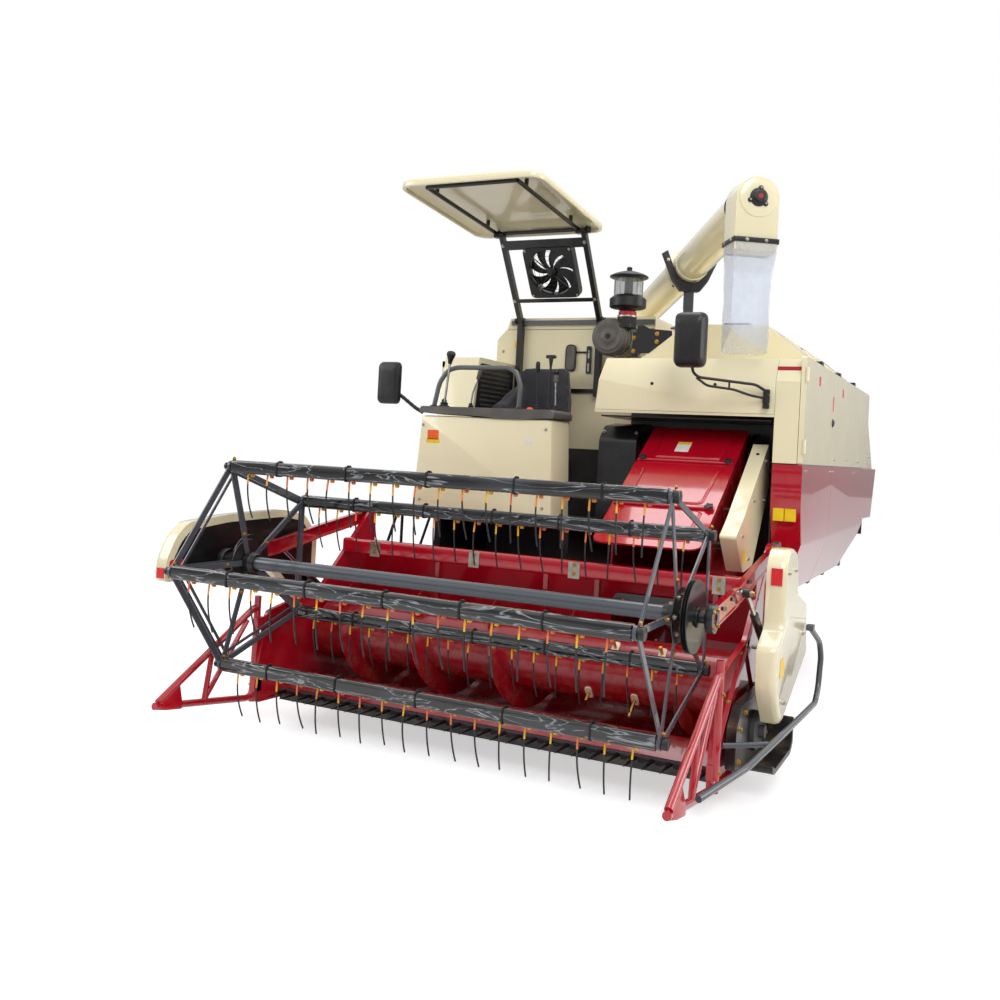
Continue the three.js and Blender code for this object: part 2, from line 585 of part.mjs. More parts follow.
// ---------------------------------------------------------------- operator's station
function station(railTop) {
  const group = subGroup(machine);
  const top = floorZ + floorPlate;
  const seatBoxTop = 1440;
  const floor = join(
    box(stationX0, stationX1, consoleY, tankFrontY - 10, floorZ, top),
    box(-860, -40, -260, tankFrontY - 10, top - 5, seatBoxTop),
    box(stationX0, stationX0 + 60, consoleY, 300, railTop - 30, floorZ + 5),
    box(-60, stationX1, sprocketY - 130, sprocketY - 70, railTop + seat, floorZ + 5),
    box(stationX0, 0, sprocketY - 130, sprocketY - 70, railTop + seat, railTop + 60),
    box(stationX0 - 125, stationX0 + 30, -700, -250, 560, 590),
    box(stationX0, stationX0 + 30, -700, -250, 560, 760));
  const throat = box(-820, -80, -220, tankFrontY + 10, railTop, seatBoxTop - 40);
  add(group, 'platform', cut(floor, throat), grey);

  add(group, 'engine', join(box(-780, -120, -200, 300, railTop + seat, 1300),
    box(-700, -200, -160, 260, 1290, 1380)), iron);

  // console with a slanting right flank and an overhanging dark top
  const consoleBack = consoleY + consoleDepth;
  const skin = plate([[-990, top + seat], [-90, top + seat], [-115, consoleTopZ - 50], [-945, consoleTopZ - 50]], 'y',
    consoleY, consoleBack);
  const cap = plate([[-960, consoleTopZ - 60], [-100, consoleTopZ - 60], [-100, consoleTopZ], [-960, consoleTopZ]], 'y',
    consoleY - 12, consoleBack + 20);
  const knee = box(-900, -160, consoleY + 60, consoleBack + 40, top - 5, consoleTopZ - 150);
  const levers = [];
  for (const [x, lean, high, knob] of [[-660, -20, 200, 18], [-300, -20, 250, 18], [-235, 0, 210, 16], [-170, 20, 250, 18]]) {
    const foot = [x, consoleBack - 30, consoleTopZ - 5];
    const head = [x + lean, consoleBack - 30, consoleTopZ + high];
    levers.push(bar(foot, head, 8, 6));
    levers.push(bar(head, [x + lean * 1.2, consoleBack - 30, consoleTopZ + high + 70], knob, 8));
  }
  add(group, 'console', join(cut(join(skin, cap), knee), ...levers), cream);

  const railBase = consoleTopZ + seat;
  const hoop = join(
    curvedBar([[-900, consoleY + 60, railBase], [-870, consoleY + 60, 1780], [-820, consoleY + 60, 1850],
      [-760, consoleY + 60, 1868], [-420, consoleY + 60, 1868], [-370, consoleY + 60, 1840],
      [-345, consoleY + 60, 1760], [-352, consoleY + 60, railBase]], 14, 14, 6),
    box(-930, -870, consoleY + 30, consoleY + 90, railBase, railBase + 12),
    box(-382, -322, consoleY + 30, consoleY + 90, railBase, railBase + 12));
  add(group, 'hand_rail', hoop.intersect(box(-1000, 0, -1000, 0, railBase, 2000)), steel);

  const seatX = -640;
  const cushion = plate([[-230, seatBoxTop + seat], [240, seatBoxTop + seat], [275, 1980], [190, 1990], [130, 1600],
    [-220, 1610], [-250, 1560]], 'x', seatX - 225, seatX + 225);
  add(group, 'seat', cushion, cloth);

  // cooling intake beside the seat with its outer screen door
  const intake = plate([[-370, top + seat], [tankFrontY - 15, top + seat], [tankFrontY - 15, 1985], [-190, 1985]], 'x',
    stationX0 + 30 + seat, -900);
  add(group, 'radiator_box', intake, cream);
  const doorX0 = stationX0;
  const door = cut(box(doorX0, doorX0 + 30, -180, tankFrontY - 20, 1060, 1960),
    box(doorX0 - 5, doorX0 + 10, -130, tankFrontY - 70, 1110, 1910));
  add(group, 'radiator_door', join(door, bar([doorX0 + 5, tankFrontY - 15, 1080], [doorX0 + 5, tankFrontY - 15, 1940], 10, 8)), black);

  add(group, 'oil_tank', box(stationX1 + seat, 280, -520, -180, top - 30, 1600), black);

  // air cleaner on its bracket, with the pre-cleaner's bowl above it
  const cleanerZ = 2135;
  const cleaner = join(
    bar([-110, -30, cleanerZ], [-110, tankFrontY - seat, cleanerZ], 118, 20),
    bar([-12, 30, cleanerZ + 60], [-12, 30, 2315], 62, 14),
    bar([-12, 30, 2308], [-12, 30, 2385], 113, 18),
    bar([-12, 30, 2380], [-12, 30, 2500], 90, 18),
    bar([-12, 30, 2495], [-12, 30, 2540], 120, 18, 40),
    bar([-12, 30, 2535], [-12, 30, 2566], 18, 10),
    box(-90, 20, -20, 80, cleanerZ - 60, cleanerZ + 80),
    box(60, 100, -60, tankFrontY - seat, 2000, 2160));
  const joinBar = box(-100, 90, 20, 80, 2040, 2100);
  add(group, 'air_cleaner', join(cleaner, joinBar), black);

  const rightArm = join(
    curvedBar([[-950, consoleY + 25, 1600], [-1000, consoleY + 25, 1610], [-1060, consoleY - 5, 1650],
      [-1130, consoleY - 15, 1690], [-1150, consoleY - 20, 1740]], 11, 8, 6),
    box(-1228, -1076, consoleY - 60, consoleY - 20, 1640, 1890));
  add(group, 'mirror_right', rightArm.intersect(box(-1400, -960 - seat, -1000, 0, 1500, 2000)), black);

  const mirrorY = bodyFrontY - 20;
  const leftArm = join(
    box(990, 1030, mirrorY - 18, bodyFrontY - seat, 1680, 1780),
    curvedBar([[1010, mirrorY, 1760], [860, mirrorY - 50, 1790], [700, mirrorY - 130, 1815],
      [660, mirrorY - 165, 1900]], 9, 7, 6),
    curvedBar([[1010, mirrorY, 1700], [860, mirrorY - 50, 1745], [720, mirrorY - 120, 1775],
      [660, mirrorY - 165, 1870]], 9, 7, 6),
    box(578, 742, mirrorY - 240, mirrorY - 150, 1866, 2150));
  add(group, 'mirror_left', leftArm, black);
}

function canopy() {
  const group = subGroup(machine);
  const low = [tankFrontY - 35, 2280];
  const high = [-45, 2800];
  const pieces = [];
  const roofPieces = []; // of the frame under the roof, pitched with it
  const pitched = (piece) => piece.translate([0, -high[0], -high[1]]).rotate([-roofPitch, 0, 0])
    .translate([0, high[0], high[1]]);
  for (const x of [postX0, postX1]) {
    pieces.push(strut(x - 16, x + 16, low, high, 38));
    pieces.push(box(x - 18, x + 18, tankFrontY - 50, tankFrontY - seat, 1780, 2300));
    roofPieces.push(bar([x - 40, -900, 2800], [x - 40, 0, 2782], 13, 6));
    roofPieces.push(box(x - 54, x + 20, -60, -10, 2766, 2800));
  }
  for (const [t, half] of [[0.05, 15], [0.25, 17], [0.87, 17], [1, 15]]) {
    const y = low[0] + (high[0] - low[0]) * t;
    const z = low[1] + (high[1] - low[1]) * t;
    pieces.push(bar([postX0, y, z], [postX1, y, z], half, 6));
  }
  roofPieces.push(bar([postX0 - 40, -900, 2800], [postX1 - 40, -900, 2800], 13, 6));
  roofPieces.push(bar([postX0 - 40, -450, 2790], [postX1 - 40, -450, 2790], 13, 6));
  // fan housing between the posts, square with a round throat
  const tilt = Math.atan2(high[0] - low[0], high[1] - low[1]);
  const centre = [(postX0 + postX1) / 2 + 20, low[0] + (high[0] - low[0]) * 0.56, low[1] + (high[1] - low[1]) * 0.56];
  const frame = new THREE.BoxGeometry(370, fanDepth, 370).rotateX(-tilt).translate(...centre);
  const throat = new THREE.CylinderGeometry(fanRadius + running, fanRadius + running, 200, 16)
    .rotateX(-tilt).translate(...centre);
  const hub = new THREE.CylinderGeometry(36, 36, 14, 14).translate(0, -fanDepth / 2 + 7, 0);
  const spokes = [0, 90].map((angle) => new THREE.BoxGeometry(370, 8, 14).translate(0, -fanDepth / 2 + 5, 0)
    .rotateY(rad(45 + angle)));
  const carrier = join(...[hub, ...spokes].map((piece) => solid(piece.rotateX(-tilt).translate(...centre))));
  pieces.push(cut(solid(frame), solid(throat)), carrier.intersect(solid(frame)));
  for (const x of [postX0 - 40, postX1 - 40]) {
    for (const y of [-790, -160]) {
      roofPieces.push(bar([x, y, 2790], [x, y, roofTopZ - roofSheet - seat], 12, 6));
    }
  }
  add(group, 'canopy_frame', join(...pieces, ...roofPieces.map(pitched)), black);

  const blades = [bar([0, -fanDepth / 2 + 14 + seat, 0], [0, 8, 0], 42, 12)];
  for (let i = 0; i < 8; i += 1) {
    const blade = new THREE.BoxGeometry(fanRadius - 30, 3, 46).rotateX(rad(28)).translate((fanRadius + 30) / 2, 0, 0)
      .rotateY(rad(45 * i));
    blades.push(solid(blade));
  }
  const rotor = add(group, 'fan_rotor', join(...blades), black);
  rotor.position.set(...centre);
  rotor.rotation.x = -tilt;

  // crowned roof, hollow underneath
  const roofShape = (inset, drop) => {
    const outline = [];
    const x0 = roofX0 + inset;
    const x1 = roofX1 - inset;
    const corner = 90;
    const y0 = roofY0 + inset;
    const y1 = roofY1 - inset;
    outline.push(...arc(x1 - corner, y1 - corner, corner, 0, 90, 4), ...arc(x0 + corner, y1 - corner, corner, 90, 180, 4),
      ...arc(x0 + corner, y0 + corner, corner, 180, 270, 4), ...arc(x1 - corner, y0 + corner, corner, 270, 360, 4));
    const low2 = plate(outline, 'z', roofTopZ - roofDepth - drop, roofTopZ - 52 - drop);
    const inner = 120;
    const crown = plate([[x0 + inner, y0 + inner], [x1 - inner, y0 + inner], [x1 - inner, y1 - inner],
      [x0 + inner, y1 - inner]], 'z', roofTopZ - 10 - drop, roofTopZ - drop);
    return wasm.Manifold.hull([low2, crown]);
  };
  const roof = cut(roofShape(0, 0), roofShape(22, roofSheet));
  add(group, 'canopy_roof', pitched(roof), cream);
}

// ---------------------------------------------------------------- header
/** Height of the feeder house's top face. */
function feederTop(y) {
  return feederRearZ + feederSlope * (y - feederRearY);
}

function header() {
  const group = subGroup(machine);
  const back = headerBackY;
  const half = headerHalf;
  const wall = 14;
  // table: floor, back sheet with the feeder's mouth, top tube and the trough round the auger
  const trough = [[knifeY + 50, headerFloorZ + 20], [knifeY + 60.5, headerFloorZ + 39.5], [knifeY + 80, headerFloorZ + 45], ...arc(augerY, augerZ, augerFlightRadius + 22, 232, 340, 8),
    [back - 4, 600], [back - 4, headerTopZ], [back + wall, headerTopZ], [back + wall, headerFloorZ + 60],
    [augerY + 40, headerFloorZ + 20]];
  const table = plate(trough, 'x', -half + seat, half - seat);
  const mouth = box(feederX0 + feederWall, feederX1 - feederWall, back - 60, back + 60, 240, 640);
  const topTube = box(-half + seat, half - seat, back - 210, back - 130, headerTopZ - 70, headerTopZ + 10);
  const ribs = [-900, -300, 250, 960].map((x) => box(x - 20, x + 20, back - 140, back + 5, headerTopZ - 50, headerTopZ));
  const beam = box(-half + seat, half - seat, knifeY, knifeY + 60, headerFloorZ, headerFloorZ + 40);
  const lugs = [-1, 1].map((side) => box(liftX + side * 41 - 6, liftX + side * 41 + 6, back, liftHigh[0] + 40,
    liftHigh[1] - 40, liftHigh[1] + 40));
  const liftPin = bar([liftX - 45, ...liftHigh], [liftX + 45, ...liftHigh], liftBore * 0.5, 10);
  add(group, 'header_frame', cut(join(table, topTube, beam, ...ribs, ...lugs, liftPin), mouth), red);

  const knifeZ = headerFloorZ + 40 + seat;
  const fingers = [box(-half + seat, half - seat, knifeY - 20, knifeY + 60, knifeZ, knifeZ + 13)];
  const count = Math.floor((half * 2 - 40) / knifePitch);
  for (let i = 0; i <= count; i += 1) {
    const x = (i - count / 2) * knifePitch;
    fingers.push(plate([[x - 15, knifeY - 10], [x - 4, knifeY - fingerLength], [x + 4, knifeY - fingerLength],
      [x + 15, knifeY - 10]], 'z', knifeZ, knifeZ + 13));
  }
  add(group, 'cutter_bar', join(...fingers), black);

  for (const [side, name] of [[1, 'left'], [-1, 'right']]) {
    const x0 = side > 0 ? half : -half - sidePlate;
    const x1 = x0 + sidePlate;
    const panel = plate([[-1880, 130], [-1880, 250], [-1820, 560], [-1400, 640], [armPivotY - 60, armPivotZ + 10],
      [armPivotY + 10, armPivotZ + 40], [back + 90, 900], [back + 60, 150], [-1300, 110]], 'x', x0, x1);
    // crop divider: an open frame of tubes running forward to a point
    const middle = (x0 + x1) / 2 + side * 18;
    const tip = [middle, -2485, 235];
    const divider = join(
      bar(tip, [middle, -1870, 150], 17, 6),
      bar(tip, [middle, -1860, 600], 17, 6),
      bar([middle, -2190, 208], [middle, -2150, 440], 11, 6),
      bar([middle, -2190, 208], [middle, -1950, 520], 11, 6),
      bar([middle, -1870, 130], [middle, -1860, 640], 17, 6),
      solid(new THREE.SphereGeometry(20, 6, 4).translate(...tip)),
      box(Math.min(x0, middle), Math.max(x1, middle), -1890, -1840, 180, 240),
      box(Math.min(x0, middle), Math.max(x1, middle), -1890, -1840, 480, 540));
    const pin = bar([side * (half + sidePlate - 5), ...reelLiftLow], [side * (reelLiftX + 22), ...reelLiftLow], reelLiftBore * 0.5, 10);
    add(group, `header_side_${name}`, join(panel, divider, pin), red);
  }

  cylinder(group, 'header_lift', liftX, liftLow, liftHigh, liftBore, 0.8);

  // feeder house: a duct from the table up to the threshing body
  const houseFront = back + wall + seat;
  const outline = [[houseFront, 175], [houseFront, feederTop(houseFront)], [feederRearY, feederTop(feederRearY)],
    [-215, 1450], [-215, 1180], [-900, 175]];
  const bore = [[back - 20, 240], [back - 20, 640], [back + 160, 780], [-500, 1350], [-200, 1420], [-200, 1240],
    [-880, 240]];
  const duct = cut(plate(outline, 'x', feederX0, feederX1),
    plate(bore, 'x', feederX0 + feederWall, feederX1 - feederWall));
  const pivot = bar([feederX0 - 58, liftHingeY, liftHingeZ], [1050 - seat, liftHingeY, liftHingeZ], liftPivotRadius, 14);
  const passage = plate(bore, 'x', feederX0 + feederWall, feederX1 - feederWall);
  const guardBosses = [[-700, 1160], [-900, 1000]].map((spot) =>
    bar([feederX1 - 5, ...spot], [guardX0 - seat, ...spot], 20, 8));
  add(group, 'feeder_house', join(duct, cut(pivot, passage), ...guardBosses), red);

  const cover = plate([[feederRearY, feederTop(feederRearY) + 0.5], [feederRearY, feederTop(feederRearY) + 34],
    [-1270, feederTop(-1270) + 34], [-1270, feederTop(-1270) + 0.5]], 'x', feederX0 - 10, feederX1 + 10);
  add(group, 'feeder_cover', cover, red);

  add(group, 'feeder_guard', plate([[-500, 1515], [-1010, 1130], [-1130, 1060], [-960, 880], [-760, 900], [-450, 1290]], 'x',
    guardX0, guardX0 + 80), cream);

  // conveying auger across the table
  const length = half - running - 20;
  const screw = [bar([-length, 0, 0], [length, 0, 0], augerDrumRadius, 18),
    bar([-half + seat, 0, 0], [half - seat, 0, 0], 25, 10)];
  screw.push(...flight(-length + 10, feederX0 - 20, 1), ...flight(length - 10, feederX1 + 20, -1));
  const fingersX = [];
  for (let i = 0; i < 4; i += 1) {
    const x = feederX0 + 90 + i * 110;
    const angle = rad(90 * i + 40);
    fingersX.push(bar([x, 0, 0], [x, augerFlightRadius * Math.cos(angle), augerFlightRadius * Math.sin(angle)], 8, 6));
  }
  const auger = add(group, 'header_auger', join(...screw, ...fingersX), red);
  auger.position.set(0, augerY, augerZ);

  add(group, 'side_cover_left', plate([[-1580, 480], [-1595, 655], [-1465, 725], [-1460, 985], [-1400, 1050],
    [-1240, 1050], [-1180, 985], [-1160, 845], [-895, 765], [-850, 520], [-1420, 300]], 'x', coverInnerX, coverOuterX), cream);
  add(group, 'side_cover_right', plate([[-2395, 745], [-2385, 850], [-2335, 950], [-2262, 1010], [-2000, 1037], [-1620, 1047],
    [-1440, 1015], [-1330, 900], [-1330, 560], [-1500, 560], [-1700, 745]], 'x', -coverOuterX, -coverInnerX), cream);

  const guardX = coverOuterX + 33;
  add(group, 'guard_bar', join(curvedBar([[half + sidePlate + 60, -2300, 245], [half + 170, -1940, 275],
    [guardX - 12, -1540, 300], [guardX, -1100, 290], [guardX, -760, 275], [guardX, -690, 330], [guardX, -640, 480],
    [guardX - 2, -700, 560], [guardX - 16, -905, 655]], 15, 24, 6),
  box(coverOuterX + seat, guardX + 4, -930, -880, 640, 670),
  bar([half + sidePlate, -1760, 285], [guardX - 20, -1640, 292], 12, 6))
    .subtract(box(half - 50, half + sidePlate + seat, -1850, -1650, 200, 350)), steel);

  add(group, 'knife_drive', join(box(half + sidePlate + seat, half + sidePlate + 44, -1700, -1100, 150, 420),
    box(half + sidePlate + 20, coverOuterX - 10, -1500, -1050, 110, 270)), black);
}

/** One helical ribbon of the table auger from one end towards the middle, as short overlapping plates. */
function flight(from, to, hand) {
  const pieces = [];
  const turns = Math.abs(to - from) / augerPitch;
  const steps = Math.round(turns * 9);
  const positions = [];
  const index = [];
  const thick = 8;
  for (let i = 0; i <= steps; i += 1) {
    const t = i / steps;
    const angle = hand * t * turns * 2 * Math.PI;
    const x = from + (to - from) * t;
    for (const [r, dx] of [[augerDrumRadius - 12, -thick / 2], [augerFlightRadius, -thick / 2],
      [augerFlightRadius, thick / 2], [augerDrumRadius - 12, thick / 2]]) {
      positions.push(x + dx, r * Math.cos(angle), r * Math.sin(angle));
    }
  }
  const quad = (a, b, c, d) => index.push(a, b, c, a, c, d);
  for (let i = 0; i < steps; i += 1) {
    for (let k = 0; k < 4; k += 1) {
      const a = i * 4 + k;
      const b = i * 4 + ((k + 1) % 4);
      quad(a, b, b + 4, a + 4);
    }
  }
  quad(3, 2, 1, 0);
  const last = steps * 4;
  quad(last, last + 1, last + 2, last + 3);
  const geometry = new THREE.BufferGeometry();
  geometry.setAttribute('position', new THREE.Float32BufferAttribute(positions, 3));
  geometry.setIndex(index);
  let body = solid(geometry);
  if (body.volume() < 0) {
    const flipped = [];
    for (let i = 0; i < index.length; i += 3) flipped.push(index[i], index[i + 2], index[i + 1]);
    geometry.setIndex(flipped);
    body = solid(geometry);
  }
  pieces.push(body);
  return pieces;
}

// ---------------------------------------------------------------- reel
const batHalf = headerHalf - 60;
const spiderX = batHalf - 18;

function reel() {
  const group = subGroup(machine, 0, reelY, reelZ);
  const place = (i) => rad(batFirstAngle + (360 / batCount) * i);
  const star = (x0, x1, hub) => {
    const parts = [bar([x0, 0, 0], [x1, 0, 0], hub, 10)];
    for (let i = 0; i < batCount; i += 1) {
      const here = [reelRadius * Math.sin(place(i)), reelRadius * Math.cos(place(i))];
      const next = [reelRadius * Math.sin(place(i + 1)), reelRadius * Math.cos(place(i + 1))];
      parts.push(strut(x0, x1, [0, 0], here, 30), strut(x0, x1, here, next, 26), bar([x0, ...here], [x1, ...here], 26, 8));
    }
    return join(...parts);
  };
  const holes = [];
  for (let i = 0; i < batCount; i += 1) {
    const y = reelRadius * Math.sin(place(i));
    const z = reelRadius * Math.cos(place(i));
    holes.push(bar([-batHalf, y, z], [batHalf, y, z], batShaft + 2, 8));
  }
  const shaftEnd = headerHalf + sidePlate + 8;
  const frame = cut(join(
    bar([-shaftEnd, 0, 0], [shaftEnd, 0, 0], reelStub, 12),
    bar([-spiderX, 0, 0], [spiderX, 0, 0], shaftRadius, 14),
    star(-spiderX, -spiderX + spiderPlate, 70), star(spiderX - spiderPlate, spiderX, 70),
    bar([batHalf + 20, 0, 0], [batHalf + 45, 0, 0], reelPulleyRadius, 18)), ...holes);
  add(group, 'reel_frame', frame, black);

  // eccentric star that keeps the tines upright: its centre hangs crankLength below the shaft
  const eccX = -(batHalf + 34);
  const ecc = cut(star(eccX, eccX + 10, discRadius + 22), bar([eccX - 20, 0, 0], [eccX + 30, 0, 0], discRadius + 2.2, 20), ...Array.from({ length: batCount }, (_, i) =>
    bar([eccX - 20, reelRadius * Math.sin(place(i)), reelRadius * Math.cos(place(i))],
      [eccX + 30, reelRadius * Math.sin(place(i)), reelRadius * Math.cos(place(i))], 11, 8)));
  const eccentric = add(group, 'eccentric_star', ecc, steel);
  eccentric.position.set(0, crankLength, 0);

  const spacing = (2 * spiderX - 4 * spiderPlate - 60) / tinesPerBat;
  for (let i = 0; i < batCount; i += 1) {
    const pieces = [
      box(-spiderX + spiderPlate + 2, spiderX - spiderPlate - 2, -batDepth / 2, batDepth / 2, -batHeight / 2, batHeight / 2),
      bar([-batHalf + 5, 0, 0], [spiderX + 25, 0, 0], batShaft, 8),
      bar([spiderX + 3, 0, 0], [spiderX + 25, 0, 0], 24, 8),
      strut(-batHalf - 4, -batHalf + 6, [0, 0], [crankLength, 0], 30),
      bar([-batHalf - 36, crankLength, 0], [-batHalf - 2, crankLength, 0], 10, 8)];
    for (let k = 0; k < tinesPerBat; k += 1) {
      const x = (k - (tinesPerBat - 1) / 2) * spacing;
      const t = tineThickness / 2;
      pieces.push(plate([[-t, -batHeight / 2 + 6], [-t - 6, -batHeight / 2 - tineLength * 0.3],
        [tineSweep - 6, -batHeight / 2 - tineLength], [tineSweep, -batHeight / 2 - tineLength],
        [t - 3, -batHeight / 2 - tineLength * 0.3], [t, -batHeight / 2 + 6]], 'x', x - t, x + t));
    }
    const tineBar = add(group, `tine_bar_${i + 1}`, join(...pieces), black);
    tineBar.position.set(0, reelRadius * Math.sin(place(i)), reelRadius * Math.cos(place(i)));
  }
}

/** A hydraulic cylinder in a plane x = constant: a barrel with an eye at its foot, and its rod. */
function cylinder(group, name, x, low, high, bore, share) {
  const length = Math.hypot(high[0] - low[0], high[1] - low[1]);
  const at = (t) => [x, low[0] + (high[0] - low[0]) * t, low[1] + (high[1] - low[1]) * t];
  const half = bore * 0.8;
  const pinBore = bore * 0.5 + pinPlay;
  const rodEye = pinBore + bore * linkPlay;
  const eye = (centre, pin) => cut(bar([x - half, ...centre], [x + half, ...centre], bore, 12),
    bar([x - half - 5, ...centre], [x + half + 5, ...centre], pin, 12));
  const mouth = share;
  const barrel = cut(join(bar(at(bore * 0.8 / length), at(mouth), bore, 12), eye(low, pinBore)),
    bar(at(0.15), at(mouth + 0.1), bore * 0.55 + 0.5, 10), bar([x - half - 5, ...low], [x + half + 5, ...low], pinBore, 12));
  add(group, `${name}_barrel`, barrel, black);
  const rod = cut(join(bar(at(0.24), at(1 - (bore * 0.8) / length), bore * 0.55, 10), eye(high, rodEye)),
    bar([x - half - 5, ...high], [x + half + 5, ...high], rodEye, 12));
  add(group, `${name}_rod`, rod, steel);
}

function reelLift(group, side, name) {
  cylinder(group, `reel_lift_${name}`, side * reelLiftX, reelLiftLow, reelLiftHigh, reelLiftBore, 0.62);
}

function reelArms() {
  const group = subGroup(machine);
  const half = headerHalf;
  for (const [side, name] of [[1, 'left'], [-1, 'right']]) {
    const inner = half + sidePlate + 2;
    const x0 = side > 0 ? inner : -inner - armWidth;
    const x1 = x0 + armWidth;
    const pieces = [
      strut(x0, x1, [armPivotY, armPivotZ], [-1400, 930], 60),
      strut(x0, x1, [-1380, 933], [reelY, reelZ], 56),
      bar([x0, armPivotY, armPivotZ], [x1, armPivotY, armPivotZ], 42, 12),
      bar([x0, reelY, reelZ], [x1, reelY, reelZ], 55, 14)];
    if (side > 0) {
      pieces.push(bar([inner - 2 + seat, armPivotY, armPivotZ], [inner + 1, armPivotY, armPivotZ], 30, 12));
    } else {
      pieces.push(bar([-inner - 1, armPivotY, armPivotZ], [-inner + 2 - seat, armPivotY, armPivotZ], 30, 12));
      // fixed eccentric disc that the star turns on
      const discX = -(batHalf + 34);
      pieces.push(bar([-inner - 1, reelY, reelZ], [discX, reelY, reelZ], 40, 12));
      pieces.push(bar([discX, reelY + crankLength, reelZ], [discX + 10, reelY + crankLength, reelZ], discRadius, 20));
      pieces.push(box(-inner - 1, discX - 14, reelY - 10, reelY + crankLength + 30, reelZ - 25, reelZ + 25));
      pieces.push(bar([discX - 24, reelY + crankLength, reelZ], [discX + 1, reelY + crankLength, reelZ], 40, 12));
    }
    const shaftHole = bar([x0 - 90, reelY, reelZ], [x1 + 90, reelY, reelZ], reelStub + pinPlay, 12);
    const boss = side * (half + sidePlate + 32);
    pieces.push(bar([boss - side * 5, ...reelLiftHigh], [side * (reelLiftX + 25), ...reelLiftHigh], 10, 8));
    add(group, `reel_arm_${name}`, join(...pieces).subtract(shaftHole), steel);
    reelLift(group, side, name);
  }
}

const railTop = chassis();
undercarriage();
threshingBody(railTop);
grainTank(railTop);
unloadingAuger();
station(railTop);
canopy();
header();
reel();
reelArms();

export default machine;
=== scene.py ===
"""A rubber-tracked combine harvester: its finishes and fine surfaces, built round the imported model."""

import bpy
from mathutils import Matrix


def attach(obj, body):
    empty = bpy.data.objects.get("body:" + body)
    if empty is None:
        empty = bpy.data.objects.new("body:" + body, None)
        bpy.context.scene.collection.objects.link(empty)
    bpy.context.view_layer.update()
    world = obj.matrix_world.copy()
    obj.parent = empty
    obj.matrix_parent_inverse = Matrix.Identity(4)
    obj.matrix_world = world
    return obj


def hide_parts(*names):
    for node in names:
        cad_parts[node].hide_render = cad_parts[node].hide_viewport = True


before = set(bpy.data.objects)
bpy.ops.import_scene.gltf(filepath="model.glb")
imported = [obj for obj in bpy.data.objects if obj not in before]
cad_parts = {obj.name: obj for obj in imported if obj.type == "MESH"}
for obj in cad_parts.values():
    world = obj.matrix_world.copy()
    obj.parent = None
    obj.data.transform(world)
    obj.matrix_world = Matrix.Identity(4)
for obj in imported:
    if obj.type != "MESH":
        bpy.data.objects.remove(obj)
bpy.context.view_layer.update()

import logging
import math
from dataclasses import dataclass
from enum import Enum
from typing import Any, Callable, Iterable, Sequence, Union

import bmesh
import bpy
from mathutils import Matrix, Vector, noise

LOG = logging.getLogger("harvester")
Point = Sequence[float]
Flat = Sequence[float]
CREASE = 36.0  # degrees; a sharper corner than this gets a soft edge


# ------------------------------------------------------------------ shader maths
class Wire:
    """A number that flows between nodes, and takes part in Python arithmetic."""

    def __init__(self, tree: bpy.types.NodeTree, socket: bpy.types.NodeSocket) -> None:
        """Wraps an output socket of a tree."""
        self.tree = tree
        self.socket = socket

    def math(self, operation: str, *others: Union["Wire", float], swap: bool = False) -> "Wire":
        """Adds one Math node.

        Args:
            operation: the node's operation, such as ADD.
            others: the second and third operands, wires or numbers.
            swap: puts this wire second instead of first.

        Returns:
            The node's result.
        """
        node = self.tree.nodes.new("ShaderNodeMath")
        node.operation = operation
        operands = [self, *others]
        if swap:
            operands[0], operands[1] = operands[1], operands[0]
        for slot, operand in zip(node.inputs, operands):
            if isinstance(operand, Wire):
                self.tree.links.new(operand.socket, slot)
            else:
                slot.default_value = operand
        return Wire(self.tree, node.outputs[0])

    def __add__(self, other: Union["Wire", float]) -> "Wire":
        """Sum."""
        return self.math("ADD", other)

    __radd__ = __add__

    def __sub__(self, other: Union["Wire", float]) -> "Wire":
        """Difference."""
        return self.math("SUBTRACT", other)

    def __rsub__(self, other: float) -> "Wire":
        """Difference from a number."""
        return self.math("SUBTRACT", other, swap=True)

    def __mul__(self, other: Union["Wire", float]) -> "Wire":
        """Product."""
        return self.math("MULTIPLY", other)

    __rmul__ = __mul__

    def __truediv__(self, other: Union["Wire", float]) -> "Wire":
        """Quotient."""
        return self.math("DIVIDE", other)

    def sine(self) -> "Wire":
        """The sine of an angle in radians."""
        return self.math("SINE")

    def cosine(self) -> "Wire":
        """The cosine of an angle in radians."""
        return self.math("COSINE")

    def size(self) -> "Wire":
        """The absolute value."""
        return self.math("ABSOLUTE")

    def ramp(self, low: float, high: float) -> "Wire":
        """0 at low and below, 1 at high and above, and a straight line between them."""
        node = self.tree.nodes.new("ShaderNodeMapRange")
        node.inputs["From Min"].default_value = low
        node.inputs["From Max"].default_value = high
        self.tree.links.new(self.socket, node.inputs["Value"])
        return Wire(self.tree, node.outputs[0])


class Graph:
    """A node tree under construction."""

    def __init__(self, tree: bpy.types.NodeTree) -> None:
        """Wraps a tree."""
        self.tree = tree

    def node(self, kind: str, settings: dict[str, Any] | None = None,
             inputs: dict[Any, Any] | None = None) -> bpy.types.Node:
        """Adds a node.

        Args:
            kind: the node's type.
            settings: attributes set first.
            inputs: values, sockets or wires by socket name or number.

        Returns:
            The new node.
        """
        node = self.tree.nodes.new(kind)
        for key, value in (settings or {}).items():
            setattr(node, key, value)
        for key, value in (inputs or {}).items():
            self.feed(node.inputs[key], value)
        return node

    def feed(self, slot: bpy.types.NodeSocket, value: Any) -> None:
        """Links a node, socket or wire to an input, or sets its value."""
        if isinstance(value, Wire):
            value = value.socket
        if isinstance(value, bpy.types.Node):
            value = value.outputs[0]
        if isinstance(value, bpy.types.NodeSocket):
            self.tree.links.new(value, slot)
        else:
            slot.default_value = value


